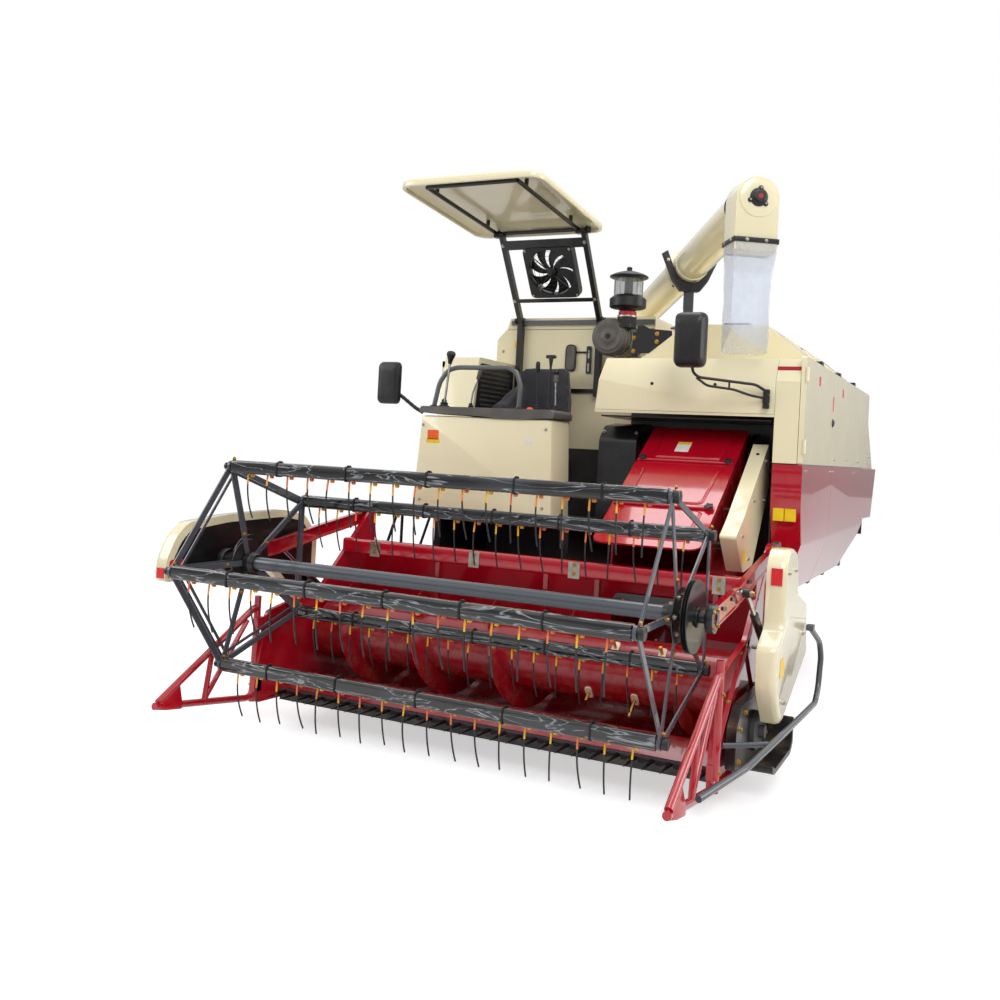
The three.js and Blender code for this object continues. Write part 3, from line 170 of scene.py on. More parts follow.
class Shader(Graph):
    """A material under construction: one Principled shader and what feeds it."""

    def __init__(self, name: str) -> None:
        """Starts an empty material.

        Args:
            name: the material's name.
        """
        self.material = bpy.data.materials.new(name)
        self.material.use_nodes = True
        super().__init__(self.material.node_tree)
        self.tree.nodes.clear()
        self.bsdf = self.tree.nodes.new("ShaderNodeBsdfPrincipled")
        self.output = self.tree.nodes.new("ShaderNodeOutputMaterial")
        self.tree.links.new(self.bsdf.outputs[0], self.output.inputs[0])
        self.place = self.node("ShaderNodeTexCoord").outputs["Object"]

    def set(self, **inputs: Any) -> None:
        """Feeds the Principled shader; an underscore in a name stands for a space."""
        for key, value in inputs.items():
            self.feed(self.bsdf.inputs[key.replace("_", " ")], value)

    def axes(self) -> tuple[Wire, Wire, Wire]:
        """The object's own x, y and z at each point."""
        split = self.node("ShaderNodeSeparateXYZ", inputs={"Vector": self.place})
        return tuple(Wire(self.tree, out) for out in split.outputs)

    def noise(self, scale: float, detail: float = 3.0, stretch: Point = (1, 1, 1),
              distortion: float = 0.0) -> Wire:
        """Soft random variation.

        Args:
            scale: spots for each metre.
            detail: octaves.
            stretch: how much denser it is along each axis.
            distortion: swirl.

        Returns:
            A value from 0 to 1.
        """
        mapping = self.node("ShaderNodeMapping", inputs={"Vector": self.place, "Scale": tuple(stretch)})
        node = self.node("ShaderNodeTexNoise", inputs={
            "Vector": mapping.outputs[0], "Scale": scale, "Detail": detail, "Distortion": distortion})
        return Wire(self.tree, node.outputs[0])

    def mix(self, factor: Union[Wire, float], first: Any, second: Any) -> bpy.types.NodeSocket:
        """Blends two colours.

        Args:
            factor: 0 for the first, 1 for the second.
            first: a colour or a colour socket.
            second: a colour or a colour socket.

        Returns:
            The mixed colour.
        """
        node = self.node("ShaderNodeMix", {"data_type": "RGBA"})
        self.feed(node.inputs["Factor"], factor)
        self.feed(node.inputs[6], first)
        self.feed(node.inputs[7], second)
        return node.outputs[2]

    def bump(self, height: Wire, strength: float, distance: float) -> None:
        """Raises the surface by a height.

        Args:
            height: from 0 to 1.
            strength: how much of it shows.
            distance: metres for a height of 1.
        """
        node = self.node("ShaderNodeBump", inputs={
            "Height": height, "Strength": strength, "Distance": distance})
        self.set(Normal=node.outputs[0])


class Pattern(Graph):
    """A Geometry Nodes tree with named sizes, which grows one mesh from a carrier mesh."""

    def __init__(self, name: str) -> None:
        """Starts a tree with a geometry input and output."""
        super().__init__(bpy.data.node_groups.new(name, "GeometryNodeTree"))
        face = self.tree.interface
        face.new_socket("Geometry", in_out="INPUT", socket_type="NodeSocketGeometry")
        face.new_socket("Geometry", in_out="OUTPUT", socket_type="NodeSocketGeometry")
        self.entry = self.tree.nodes.new("NodeGroupInput")
        self.exit = self.tree.nodes.new("NodeGroupOutput")
        self.values: dict[str, float] = {}

    def size(self, name: str, value: float) -> Wire:
        """Adds a named input and keeps the value that the modifier gets."""
        kind = "NodeSocketInt" if isinstance(value, int) else "NodeSocketFloat"
        socket = self.tree.interface.new_socket(name, in_out="INPUT", socket_type=kind)
        self.values[socket.identifier] = value
        return Wire(self.tree, self.entry.outputs[name])

    def grow(self, instances: bpy.types.Node, finish: "Finish",
             carrier: bpy.types.Mesh | None = None) -> bpy.types.Mesh:
        """Realizes the instances as one plain mesh.

        Args:
            instances: the node whose geometry is wanted.
            finish: the finish of every face.
            carrier: the mesh that the tree reads, such as the points that things stand on.

        Returns:
            A mesh with no modifier left.
        """
        whole = self.node("GeometryNodeRealizeInstances", inputs={0: instances})
        painted = self.node("GeometryNodeSetMaterial", inputs={0: whole, "Material": PAINT[finish]})
        self.feed(self.exit.inputs[0], painted)
        holder = bpy.data.objects.new(self.tree.name, carrier or bpy.data.meshes.new(self.tree.name))
        bpy.context.scene.collection.objects.link(holder)
        modifier = holder.modifiers.new("pattern", "NODES")
        modifier.node_group = self.tree
        for identifier, value in self.values.items():
            modifier[identifier] = value
        seen = bpy.context.evaluated_depsgraph_get()
        mesh = bpy.data.meshes.new_from_object(holder.evaluated_get(seen))
        holder.modifiers.remove(modifier)
        bpy.data.objects.remove(holder)
        return mesh


def colour(red: float, green: float, blue: float) -> tuple[float, float, float, float]:
    """A linear colour from the 0 to 255 values that a screen shows."""
    def linear(value: float) -> float:
        """One channel."""
        share = value / 255
        return share / 12.92 if share <= 0.04045 else ((share + 0.055) / 1.055) ** 2.4
    return (linear(red), linear(green), linear(blue), 1.0)


# ------------------------------------------------------------------ finishes
@dataclass(frozen=True)
class Paint:
    """A sprayed paint: body colour, gloss, faint mottling, orange peel and dust low down."""

    name: str
    tint: tuple[float, float, float]
    roughness: float = 0.22
    coat: float = 0.6
    mottling: float = 0.07
    peel: float = 0.05
    dust: float = 0.25
    metal: float = 0.0

    def make(self) -> bpy.types.Material:
        """Builds the material."""
        shader = Shader(self.name)
        base = colour(*self.tint)
        shade = tuple(channel * (1 - self.mottling * 2) for channel in base[:3]) + (1.0,)
        cloud = shader.noise(1.7, 5)
        _, _, height = shader.axes()
        body = shader.mix(cloud.ramp(0.35, 0.7), shade, base)
        low = 1 - height.ramp(0.05, 0.75)
        dusty = low * shader.noise(14, 6).ramp(0.45, 0.75) * self.dust
        shader.set(Base_Color=shader.mix(dusty, body, colour(150, 132, 104)),
                   Roughness=shader.noise(6, 4) * 0.08 + dusty * 0.5 + (self.roughness - 0.04),
                   Metallic=self.metal, Coat_Weight=self.coat, Coat_Roughness=0.04)
        shader.bump(shader.noise(260, 2), self.peel, 0.0006)
        return shader.material


@dataclass(frozen=True)
class Moulded:
    """Moulded plastic or rubber with a fine grain."""

    name: str
    tint: tuple[float, float, float]
    roughness: float = 0.5
    grain: float = 900
    depth: float = 0.25
    dust: float = 0.1

    def make(self) -> bpy.types.Material:
        """Builds the material."""
        shader = Shader(self.name)
        base = colour(*self.tint)
        worn = tuple(channel * 1.6 + 0.004 for channel in base[:3]) + (1.0,)
        cloud = shader.noise(9, 6)
        body = shader.mix(cloud.ramp(0.4, 0.8), base, worn)
        spots = shader.noise(60, 4).ramp(0.58, 0.75) * self.dust
        shader.set(Base_Color=shader.mix(spots, body, colour(140, 130, 115)),
                   Roughness=cloud * 0.15 + spots * 0.3 + (self.roughness - 0.07))
        shader.bump(shader.noise(self.grain, 2), self.depth, 0.0004)
        return shader.material


@dataclass(frozen=True)
class Metal:
    """Bare or plated metal."""

    name: str
    tint: tuple[float, float, float]
    roughness: float = 0.3
    pitting: float = 0.1

    def make(self) -> bpy.types.Material:
        """Builds the material."""
        shader = Shader(self.name)
        base = colour(*self.tint)
        dark = tuple(channel * 0.6 for channel in base[:3]) + (1.0,)
        cloud = shader.noise(40, 5)
        shader.set(Base_Color=shader.mix(cloud.ramp(0.3, 0.75), dark, base), Metallic=1.0,
                   Roughness=cloud * 0.2 + (self.roughness - 0.1))
        shader.bump(shader.noise(500, 3), self.pitting, 0.0005)
        return shader.material


@dataclass(frozen=True)
class Film:
    """Black bats wrapped in shrunk plastic film: long wrinkles, and thin near-white streaks along them that are
    painted highlights.
    """

    name: str = "bat_film"

    def make(self) -> bpy.types.Material:
        """Builds the material."""
        shader = Shader(self.name)
        folds = shader.noise(7, 3, (0.4, 3, 3), 1.2)
        ridges = shader.noise(24, 2, (0.3, 2.2, 2.2), 0.8)
        # Painted highlight: thin near-white streaks where the folds pass their middle value, half mixed into the
        # colour and rougher there.
        off_painted_highlight = (folds - 0.5).size().ramp(0.0, 0.018)
        haze = shader.noise(5, 4, (0.5, 1, 1)).ramp(0.55, 0.75)
        film = shader.mix(haze * 0.45, colour(20, 21, 24), colour(74, 78, 86))
        shader.set(Base_Color=shader.mix((1 - off_painted_highlight) * 0.5, film, colour(208, 212, 218)),
                   Roughness=haze * 0.10 + (1 - off_painted_highlight) * 0.2 + 0.08, Coat_Weight=1.0, Coat_Roughness=0.04)
        shader.bump(folds * 0.7 + ridges * 0.3, 0.5, 0.004)
        return shader.material


@dataclass(frozen=True)
class Tine:
    """The coloured root of a spring tine: blotches of yellow and orange."""

    name: str = "tine_root"

    def make(self) -> bpy.types.Material:
        """Builds the material."""
        shader = Shader(self.name)
        blotch = shader.noise(11, 2).ramp(0.42, 0.58)
        shader.set(Base_Color=shader.mix(blotch, colour(240, 190, 36), colour(232, 118, 70)),
                   Roughness=shader.noise(50, 3) * 0.1 + 0.28)
        return shader.material


@dataclass(frozen=True)
class Cloth:
    """Coarse black cover cloth: a plain weave with a soft sheen."""

    name: str = "cover_cloth"
    tint: tuple[float, float, float] = (34, 35, 41)
    threads: float = 620.0

    def make(self) -> bpy.types.Material:
        """Builds the material."""
        shader = Shader(self.name)
        x, y, z = shader.axes()
        across = (x * self.threads).sine()
        along = ((y + z) * self.threads).sine()
        weave = across * along * 0.5 + 0.5
        base = colour(*self.tint)
        light = tuple(channel * 1.9 for channel in base[:3]) + (1.0,)
        shader.set(Base_Color=shader.mix(weave * 0.4 + shader.noise(12, 5) * 0.5, base, light), Roughness=0.72,
                   Sheen_Weight=0.35, Sheen_Roughness=0.4)
        shader.bump(weave, 0.35, 0.0006)
        return shader.material


@dataclass(frozen=True)
class Clear:
    """Clear or smoked plastic."""

    name: str
    tint: tuple[float, float, float]
    alpha: float = 0.35
    roughness: float = 0.12
    wrinkle: float = 0.0

    def make(self) -> bpy.types.Material:
        """Builds the material."""
        shader = Shader(self.name)
        cloud = shader.noise(4, 4, (1, 1, 0.6), 0.5)
        base = colour(*self.tint)
        pale = tuple(min(1.0, channel * 1.25 + 0.05) for channel in base[:3]) + (1.0,)
        shader.set(Base_Color=shader.mix(cloud.ramp(0.4, 0.65), base, pale), Roughness=self.roughness,
                   Alpha=cloud.ramp(0.3, 0.75) * 0.2 + (self.alpha - 0.1), Coat_Weight=0.5, Coat_Roughness=0.05)
        if self.wrinkle:
            shader.bump(shader.noise(9, 4, (1, 1, 0.5), 0.8), self.wrinkle, 0.01)
        return shader.material


@dataclass(frozen=True)
class Sticker:
    """A printed vinyl label with nothing written on it."""

    name: str
    tint: tuple[float, float, float]

    def make(self) -> bpy.types.Material:
        """Builds the material."""
        shader = Shader(self.name)
        base = colour(*self.tint)
        faded = tuple(channel * 0.86 for channel in base[:3]) + (1.0,)
        shader.set(Base_Color=shader.mix(shader.noise(25, 3).ramp(0.35, 0.7), faded, base),
                   Roughness=shader.noise(40, 2) * 0.1 + 0.28)
        return shader.material


@dataclass(frozen=True)
class Mirror:
    """Silvered glass."""

    name: str = "mirror_glass"

    def make(self) -> bpy.types.Material:
        """Builds the material."""
        shader = Shader(self.name)
        smear = shader.noise(7, 4).ramp(0.5, 0.8)
        shader.set(Base_Color=colour(214, 219, 222), Metallic=1.0, Roughness=smear * 0.05 + 0.02)
        return shader.material


class Finish(Enum):
    """Every surface finish on the machine."""

    CREAM = Paint("cream_paint", (242, 231, 193), 0.2, 0.8, 0.03, 0.04, 0.12)
    RED = Paint("red_paint", (184, 10, 34), 0.16, 1.0, 0.06, 0.04, 0.12)
    DEEP_RED = Paint("table_red", (158, 8, 26), 0.24, 0.6, 0.1, 0.06, 0.3)
    BLACK = Paint("black_paint", (24, 24, 26), 0.32, 0.3, 0.12, 0.1, 0.35)
    REEL = Paint("reel_paint", (74, 80, 88), 0.24, 0.55, 0.1, 0.06, 0.1)
    RAIL = Paint("rail_paint", (98, 99, 101), 0.3, 0.4, 0.08, 0.06, 0.1)
    CAP = Moulded("console_cap", (84, 80, 76), 0.42, 500, 0.15, 0.1)
    TREAD = Paint("tread_plate", (70, 71, 72), 0.42, 0.2, 0.14, 0.1, 0.5)
    CASTING = Moulded("casting", (52, 52, 54), 0.55, 260, 0.6, 0.35)
    RUBBER = Moulded("rubber", (26, 26, 27), 0.68, 420, 0.35, 0.5)
    PLASTIC = Moulded("black_plastic", (20, 20, 22), 0.38, 800, 0.2, 0.06)
    SATIN = Moulded("satin_black", (28, 28, 30), 0.46, 1200, 0.15, 0.06)
    SEAL = Moulded("red_seal", (176, 22, 40), 0.45, 500, 0.1, 0.05)
    BUTTON = Moulded("orange_button", (232, 92, 30), 0.3, 900, 0.05, 0.0)
    ZINC = Metal("zinc", (206, 202, 190), 0.34, 0.1)
    GOLD_ZINC = Metal("gold_zinc", (214, 166, 84), 0.34, 0.1)
    CHROME = Metal("hard_chrome", (225, 228, 232), 0.14, 0.02)
    STEEL = Metal("dark_steel", (84, 84, 86), 0.42, 0.2)
    GUARD = Metal("forged_guard", (46, 46, 46), 0.5, 0.5)
    BAT = Film()
    TINE = Tine()
    CLOTH = Cloth()
    SLEEVE = Clear("chute_film", (190, 200, 216), 0.42, 0.12, 0.5)
    BOWL = Clear("bowl", (120, 122, 120), 0.45, 0.1)
    YELLOW = Sticker("yellow_label", (246, 206, 20))
    WHITE = Sticker("white_label", (236, 234, 226))
    REFLECT = Sticker("red_reflector", (226, 40, 44))
    GLASS = Mirror()
    FINGER = Moulded("finger_guide", (222, 200, 178), 0.4, 600, 0.1, 0.1)


class Paintbox:
    """Makes each finish once, when it is first used."""

    def __init__(self) -> None:
        """Starts empty."""
        self.made: dict[Finish, bpy.types.Material] = {}

    def __getitem__(self, finish: Finish) -> bpy.types.Material:
        """The material of a finish."""
        if finish not in self.made:
            self.made[finish] = finish.value.make()
        return self.made[finish]


PAINT = Paintbox()


# ------------------------------------------------------------------ lines and outlines
def arc(centre: Flat, radius: float, start: float, end: float, steps: int = 8) -> list[Vector]:
    """Points of an arc in a plane, from one angle to another in degrees."""
    angles = [math.radians(start + (end - start) * i / steps) for i in range(steps + 1)]
    return [Vector((centre[0] + radius * math.cos(a), centre[1] + radius * math.sin(a))) for a in angles]


def rounded(points: Iterable[Point], radius: float, closed: bool = True, steps: int = 4) -> list[Vector]:
    """Rounds the corners of an outline or a route.

    Args:
        points: corners in a plane or in space.
        radius: how far each curve reaches along its two edges.
        closed: whether the last point joins the first.
        steps: pieces of each curve.

    Returns:
        The rounded line's points.
    """
    line = [Vector(point) for point in points]
    made: list[Vector] = []
    for i, corner in enumerate(line):
        back = line[i - 1] - corner
        ahead = line[(i + 1) % len(line)] - corner
        if (not closed and i in (0, len(line) - 1)) or back.length * ahead.length == 0:
            made.append(corner)
            continue
        reach = min(radius, back.length * 0.45, ahead.length * 0.45)
        start = corner + back.normalized() * reach
        end = corner + ahead.normalized() * reach
        for k in range(steps + 1):
            t = k / steps
            made.append(start * (1 - t) ** 2 + corner * (2 * t * (1 - t)) + end * t ** 2)
    return made


def flowing(points: Iterable[Point], steps: int = 6) -> list[Vector]:
    """A smooth route through points in space."""
    line = [Vector(point) for point in points]
    line = [line[0] * 2 - line[1], *line, line[-1] * 2 - line[-2]]
    made = []
    for before, start, end, after in zip(line, line[1:], line[2:], line[3:]):
        for k in range(steps):
            t = k / steps
            made.append(0.5 * (start * 2 + (end - before) * t
                               + (before * 2 - start * 5 + end * 4 - after) * t ** 2
                               + (start * 3 - before - end * 3 + after) * t ** 3))
    return made + [line[-2]]


def ring(radius: float, sides: int) -> list[Vector]:
    """A round section."""
    return [Vector((radius * math.cos(2 * math.pi * i / sides), radius * math.sin(2 * math.pi * i / sides)))
            for i in range(sides)]


def oblong(width: float, height: float, corner: float, steps: int = 3) -> list[Vector]:
    """A rounded rectangle section."""
    w, h = width / 2, height / 2
    return rounded([(-w, -h), (w, -h), (w, h), (-w, h)], corner, steps=steps)


def rectangle(half_width: float, half_height: float) -> list[Vector]:
    """A sharp rectangle section."""
    return [Vector((u * half_width, v * half_height)) for u, v in ((-1, -1), (1, -1), (1, 1), (-1, 1))]


def ring_profile(half: float, bore: float, outside: float) -> list[Flat]:
    """The profile of a plain ring, half its length to each side of its middle."""
    return [(-half, bore), (half, bore), (half, outside), (-half, outside)]


def square_to(axis: Vector) -> tuple[Vector, Vector]:
    """Two directions at right angles to an axis and to each other."""
    first = axis.orthogonal().normalized()
    return first, axis.cross(first).normalized()


# ------------------------------------------------------------------ piece builder
class Work:
    """One piece in the making: closed shells, each with its own finish, that end as one mesh."""

    def __init__(self, name: str) -> None:
        """Starts an empty piece."""
        self.name = name
        self.points: list[Vector] = []
        self.faces: list[tuple[int, ...]] = []
        self.kinds: list[int] = []
        self.finishes: list[Finish] = []

    def kind(self, finish: Finish) -> int:
        """The material number of a finish."""
        if finish not in self.finishes:
            self.finishes.append(finish)
        return self.finishes.index(finish)

    def shell(self, points: Sequence[Vector], faces: Sequence[Sequence[int]], finish: Finish,
              turn: Matrix | None = None) -> "Work":
        """Adds one closed shell and makes it face outwards.

        Args:
            points: its corners.
            faces: corner numbers of each face.
            finish: its finish.
            turn: a placing to apply first.

        Returns:
            This piece, so that calls can follow each other.
        """
        placed = [turn @ Vector(p) for p in points] if turn else [Vector(p) for p in points]
        volume = 0.0
        for face in faces:
            for b, c in zip(face[1:], face[2:]):
                volume += placed[face[0]].dot(placed[b].cross(placed[c]))
        base, kind = len(self.points), self.kind(finish)
        self.points += placed
        for face in faces:
            numbers = [base + i for i in face]
            self.faces.append(tuple(reversed(numbers) if volume < 0 else numbers))
            self.kinds.append(kind)
        return self

    def take(self, mesh: bpy.types.Mesh, finish: Finish, place: Matrix | None = None) -> "Work":
        """Adds a finished mesh and removes its data block."""
        kind, base = self.kind(finish), len(self.points)
        place = place or Matrix.Identity(4)
        self.points += [place @ v.co for v in mesh.vertices]
        for polygon in mesh.polygons:
            self.faces.append(tuple(base + i for i in polygon.vertices))
            self.kinds.append(kind)
        bpy.data.meshes.remove(mesh)
        return self

    def loft(self, rings: Sequence[Sequence[Vector]], finish: Finish, joined: bool = False,
             turn: Matrix | None = None) -> "Work":
        """Joins rings of equally many points, capped at both ends or joined round."""
        count = len(rings[0])
        points = [p for r in rings for p in r]
        faces: list[Sequence[int]] = []
        for i in range(len(rings) if joined else len(rings) - 1):
            here, there = i * count, ((i + 1) % len(rings)) * count
            faces += [(here + k, here + (k + 1) % count, there + (k + 1) % count, there + k)
                      for k in range(count)]
        if not joined:
            faces += [tuple(reversed(range(count))), tuple(range(len(points) - count, len(points)))]
        return self.shell(points, faces, finish, turn)

    def sweep(self, route: Sequence[Vector], section: Sequence[Vector], finish: Finish,
              up: Point | None = None, joined: bool = False) -> "Work":
        """Runs a section along a route.

        Args:
            route: the centreline.
            section: (u, v) points; v lies along up where that is given.
            finish: its finish.
            up: keeps the section upright; without it the section turns as little as it can.
            joined: whether the route closes on itself.
        """
        route = [Vector(p) for p in route]
        count = len(route)
        rings, side = [], None
        for i, here in enumerate(route):
            back = route[i - 1] if i or joined else here
            ahead = route[(i + 1) % count] if i < count - 1 or joined else here
            along = (ahead - back).normalized()
            if up is not None:
                side = along.cross(Vector(up)).normalized()
            elif side is None:
                side = along.orthogonal().normalized()
            else:
                side = (side - along * side.dot(along)).normalized()
            rise = side.cross(along)
            rings.append([here + side * u + rise * v for u, v in section])
        return self.loft(rings, finish, joined)

    def tube(self, route: Sequence[Point], radius: float, finish: Finish, sides: int = 12,
             joined: bool = False) -> "Work":
        """A round tube along a route."""
        return self.sweep(route, ring(radius, sides), finish, joined=joined)

    def bar(self, start: Point, end: Point, radius: float, finish: Finish, sides: int = 20) -> "Work":
        """A straight round bar."""
        return self.tube([Vector(start), Vector(end)], radius, finish, sides)

    def beam(self, start: Point, end: Point, width: float, height: float, finish: Finish,
             up: Point = (0, 0, 1)) -> "Work":
        """A straight bar of rectangular section, height along up."""
        return self.sweep([Vector(start), Vector(end)],
                          rectangle(width / 2, height / 2), finish, up)

    def lathe(self, profile: Sequence[Flat], origin: Point, axis: Point, finish: Finish,
              sides: int = 32) -> "Work":
        """Turns a profile round an axis.

        Args:
            profile: (distance along the axis, radius) from one end to the other.
            origin: where the distance is 0.
            axis: its direction.
            finish: its finish.
            sides: faces round it.
        """
        along = Vector(axis).normalized()
        first, second = square_to(along)
        rings = []
        for distance, radius in profile:
            centre = Vector(origin) + along * distance
            rings.append([centre + first * u + second * v for u, v in ring(max(radius, 0.0004), sides)])
        return self.loft(rings, finish)

    def hoop(self, profile: Sequence[Flat], origin: Point, axis: Point, finish: Finish,
             sides: int = 32) -> "Work":
        """Turns a closed profile of (distance, radius) points round an axis, as a ring with a bore."""
        along = Vector(axis).normalized()
        first, second = square_to(along)
        rings = []
        for i in range(sides):
            angle = 2 * math.pi * i / sides
            out = first * math.cos(angle) + second * math.sin(angle)
            rings.append([Vector(origin) + along * d + out * r for d, r in profile])
        return self.loft(rings, finish, joined=True)

    def ball(self, centre: Point, radius: float, finish: Finish, sides: int = 20) -> "Work":
        """A ball."""
        steps = sides // 2
        profile = [(-radius * math.cos(math.pi * i / steps), radius * math.sin(math.pi * i / steps))
                   for i in range(steps + 1)]
        return self.lathe(profile, centre, (0, 0, 1), finish, sides)

    def box(self, low: Point, high: Point, finish: Finish, turn: Matrix | None = None) -> "Work":
        """A box between two corners."""
        x0, y0, z0 = low
        x1, y1, z1 = high
        rings = [[Vector((x0, y0, z)), Vector((x1, y0, z)), Vector((x1, y1, z)), Vector((x0, y1, z))]
                 for z in (z0, z1)]
        return self.loft(rings, finish, turn=turn)

    def prism(self, outline: Sequence[Flat], axis: str, start: float, end: float, finish: Finish,
              turn: Matrix | None = None) -> "Work":
        """Pushes an outline along an axis: (y, z) along x, (x, z) along y, (x, y) along z."""
        def lift(u: float, v: float, w: float) -> Vector:
            """Puts a flat point in space."""
            return Vector({"x": (w, u, v), "y": (u, w, v), "z": (u, v, w)}[axis])
        return self.loft([[lift(u, v, w) for u, v in outline] for w in (start, end)], finish, turn=turn)

    def sheet(self, outline: Sequence[Flat], cuts: Sequence[tuple[Flat, Flat]],
              place: Callable[[float, float], Point], depth: Point, finish: Finish) -> "Work":
        """A sheet-metal panel that follows a shape.

        Args:
            outline: its outline in a plane.
            cuts: lines across that plane, each a point and a normal, along which it may bend.
            place: where a plane point lies in space.
            depth: from its outer face to its inner face.
            finish: its finish.
        """
        shape = bmesh.new()
        shape.faces.new([shape.verts.new((u, v, 0)) for u, v in outline])
        for point, normal in cuts:
            bmesh.ops.bisect_plane(shape, geom=shape.verts[:] + shape.edges[:] + shape.faces[:],
                                   plane_co=(*point, 0), plane_no=(*normal, 0))
        shape.verts.index_update()
        outer = [Vector(place(v.co.x, v.co.y)) for v in shape.verts]
        count = len(outer)
        points = outer + [p + Vector(depth) for p in outer]
        faces = [[v.index for v in f.verts] for f in shape.faces]
        back = [[i + count for i in reversed(f)] for f in faces]
        rim = []
        for edge in shape.edges:
            if len(edge.link_loops) == 1:
                a = edge.link_loops[0].vert.index
                b = edge.link_loops[0].link_loop_next.vert.index
                rim.append([b, a, a + count, b + count])
        shape.free()
        return self.shell(points, faces + back + rim, finish)

    def bolts(self, spots: Iterable[tuple[Point, Point]], size: float, finish: Finish) -> "Work":
        """Hex bolts with washers at points, each with the direction its head faces."""
        return self.take(bolt_heads(list(spots), size, finish), finish)

    def piece(self, crease: float = CREASE) -> bpy.types.Object:
        """Makes an object of all the shells.

        Args:
            crease: the angle in degrees above which a corner is sharp.

        Returns:
            The new object, in the scene.
        """
        mesh = bpy.data.meshes.new(self.name)
        mesh.from_pydata([tuple(p) for p in self.points], [], self.faces)
        for finish in self.finishes:
            mesh.materials.append(PAINT[finish])
        mesh.polygons.foreach_set("material_index", self.kinds)
        mesh.update()
        mesh.shade_smooth()
        mesh.set_sharp_from_angle(angle=math.radians(crease))
        return add_object(self.name, mesh)

    def done(self, body: str, slot: str, *nodes: str, edge: float = 0.002,
             crease: float = CREASE) -> bpy.types.Object:
        """Makes the mesh, rides it on a body and hides the CAD nodes that it stands for.

        Args:
            body: the CAD body that carries it.
            slot: the record's material slot; not used.
            nodes: CAD nodes that it replaces.
            edge: width of the soft edge on sharp corners, or 0.
            crease: the angle in degrees above which a corner is sharp.

        Returns:
            The finished object.
        """
        piece = self.piece(crease)
        if edge:
            bevel = piece.modifiers.new("soft_edges", "BEVEL")
            bevel.width = edge
            bevel.segments = 2
            bevel.limit_method = "ANGLE"
            bevel.angle_limit = math.radians(crease)
            bevel.harden_normals = True
        return dress(piece, body, slot, *nodes)


def add_object(name: str, data: Any) -> bpy.types.Object:
    """Adds an object to the scene."""
    thing = bpy.data.objects.new(name, data)
    bpy.context.scene.collection.objects.link(thing)
    return thing


def dress(piece: bpy.types.Object, body: str, slot: str, *nodes: str) -> bpy.types.Object:
    """Rides a piece on its body and hides the CAD nodes that it stands for."""
    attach(piece, body)
    if nodes:
        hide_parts(*nodes)
    LOG.info("%s on %s: %d faces", piece.name, body, len(piece.data.polygons))
    return piece


def repaint(node: str, finish: Finish) -> None:
    """Gives a CAD node that stays visible its finish."""
    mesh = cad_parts[node].data
    mesh.materials.clear()
    mesh.materials.append(PAINT[finish])
    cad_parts[node]
    LOG.info("%s keeps its CAD shape, in %s", node, finish.name)


# ------------------------------------------------------------------ growing patterns
def stands(spots: Sequence[tuple[Point, Point]]) -> bpy.types.Mesh:
    """A mesh of loose points, each with a direction to face, for a pattern to stand things on."""
    mesh = bpy.data.meshes.new("stands")
    mesh.from_pydata([tuple(at) for at, _ in spots], [], [])
    facing = mesh.attributes.new("facing", "FLOAT_VECTOR", "POINT")
    facing.data.foreach_set("vector", [c for _, way in spots for c in Vector(way).normalized()])
    return mesh


def bolt_heads(spots: Sequence[tuple[Point, Point]], size: float, finish: Finish) -> bpy.types.Mesh:
    """Hex heads on washers.

    Args:
        spots: where each sits, and the way it faces.
        size: half the width of a head.
        finish: its finish.

    Returns:
        One mesh of all of them.
    """
    pattern = Pattern("bolt_heads")
    radius = pattern.size("Head radius", size)
    washer = pattern.size("Washer radius", size * 1.5)
    head = pattern.node("GeometryNodeMeshCylinder", inputs={
        "Vertices": 6, "Radius": radius, "Depth": radius * 1.1})
    raised = pattern.node("ShaderNodeCombineXYZ", inputs={"Z": radius * 0.6})
    lifted = pattern.node("GeometryNodeTransform", inputs={0: head, "Translation": raised})
    plate = pattern.node("GeometryNodeMeshCylinder", inputs={
        "Vertices": 14, "Radius": washer, "Depth": radius * 0.35})
    both = pattern.node("GeometryNodeJoinGeometry", inputs={0: plate})
    pattern.tree.links.new(lifted.outputs[0], both.inputs[0])
    facing = pattern.node("GeometryNodeInputNamedAttribute", {"data_type": "FLOAT_VECTOR"}, {0: "facing"})
    turn = pattern.node("FunctionNodeAlignRotationToVector", {"axis": "Z"}, {"Vector": facing})
    placed = pattern.node("GeometryNodeInstanceOnPoints", inputs={
        "Points": pattern.entry, "Instance": both, "Rotation": turn})
    return pattern.grow(placed, finish, stands(spots))


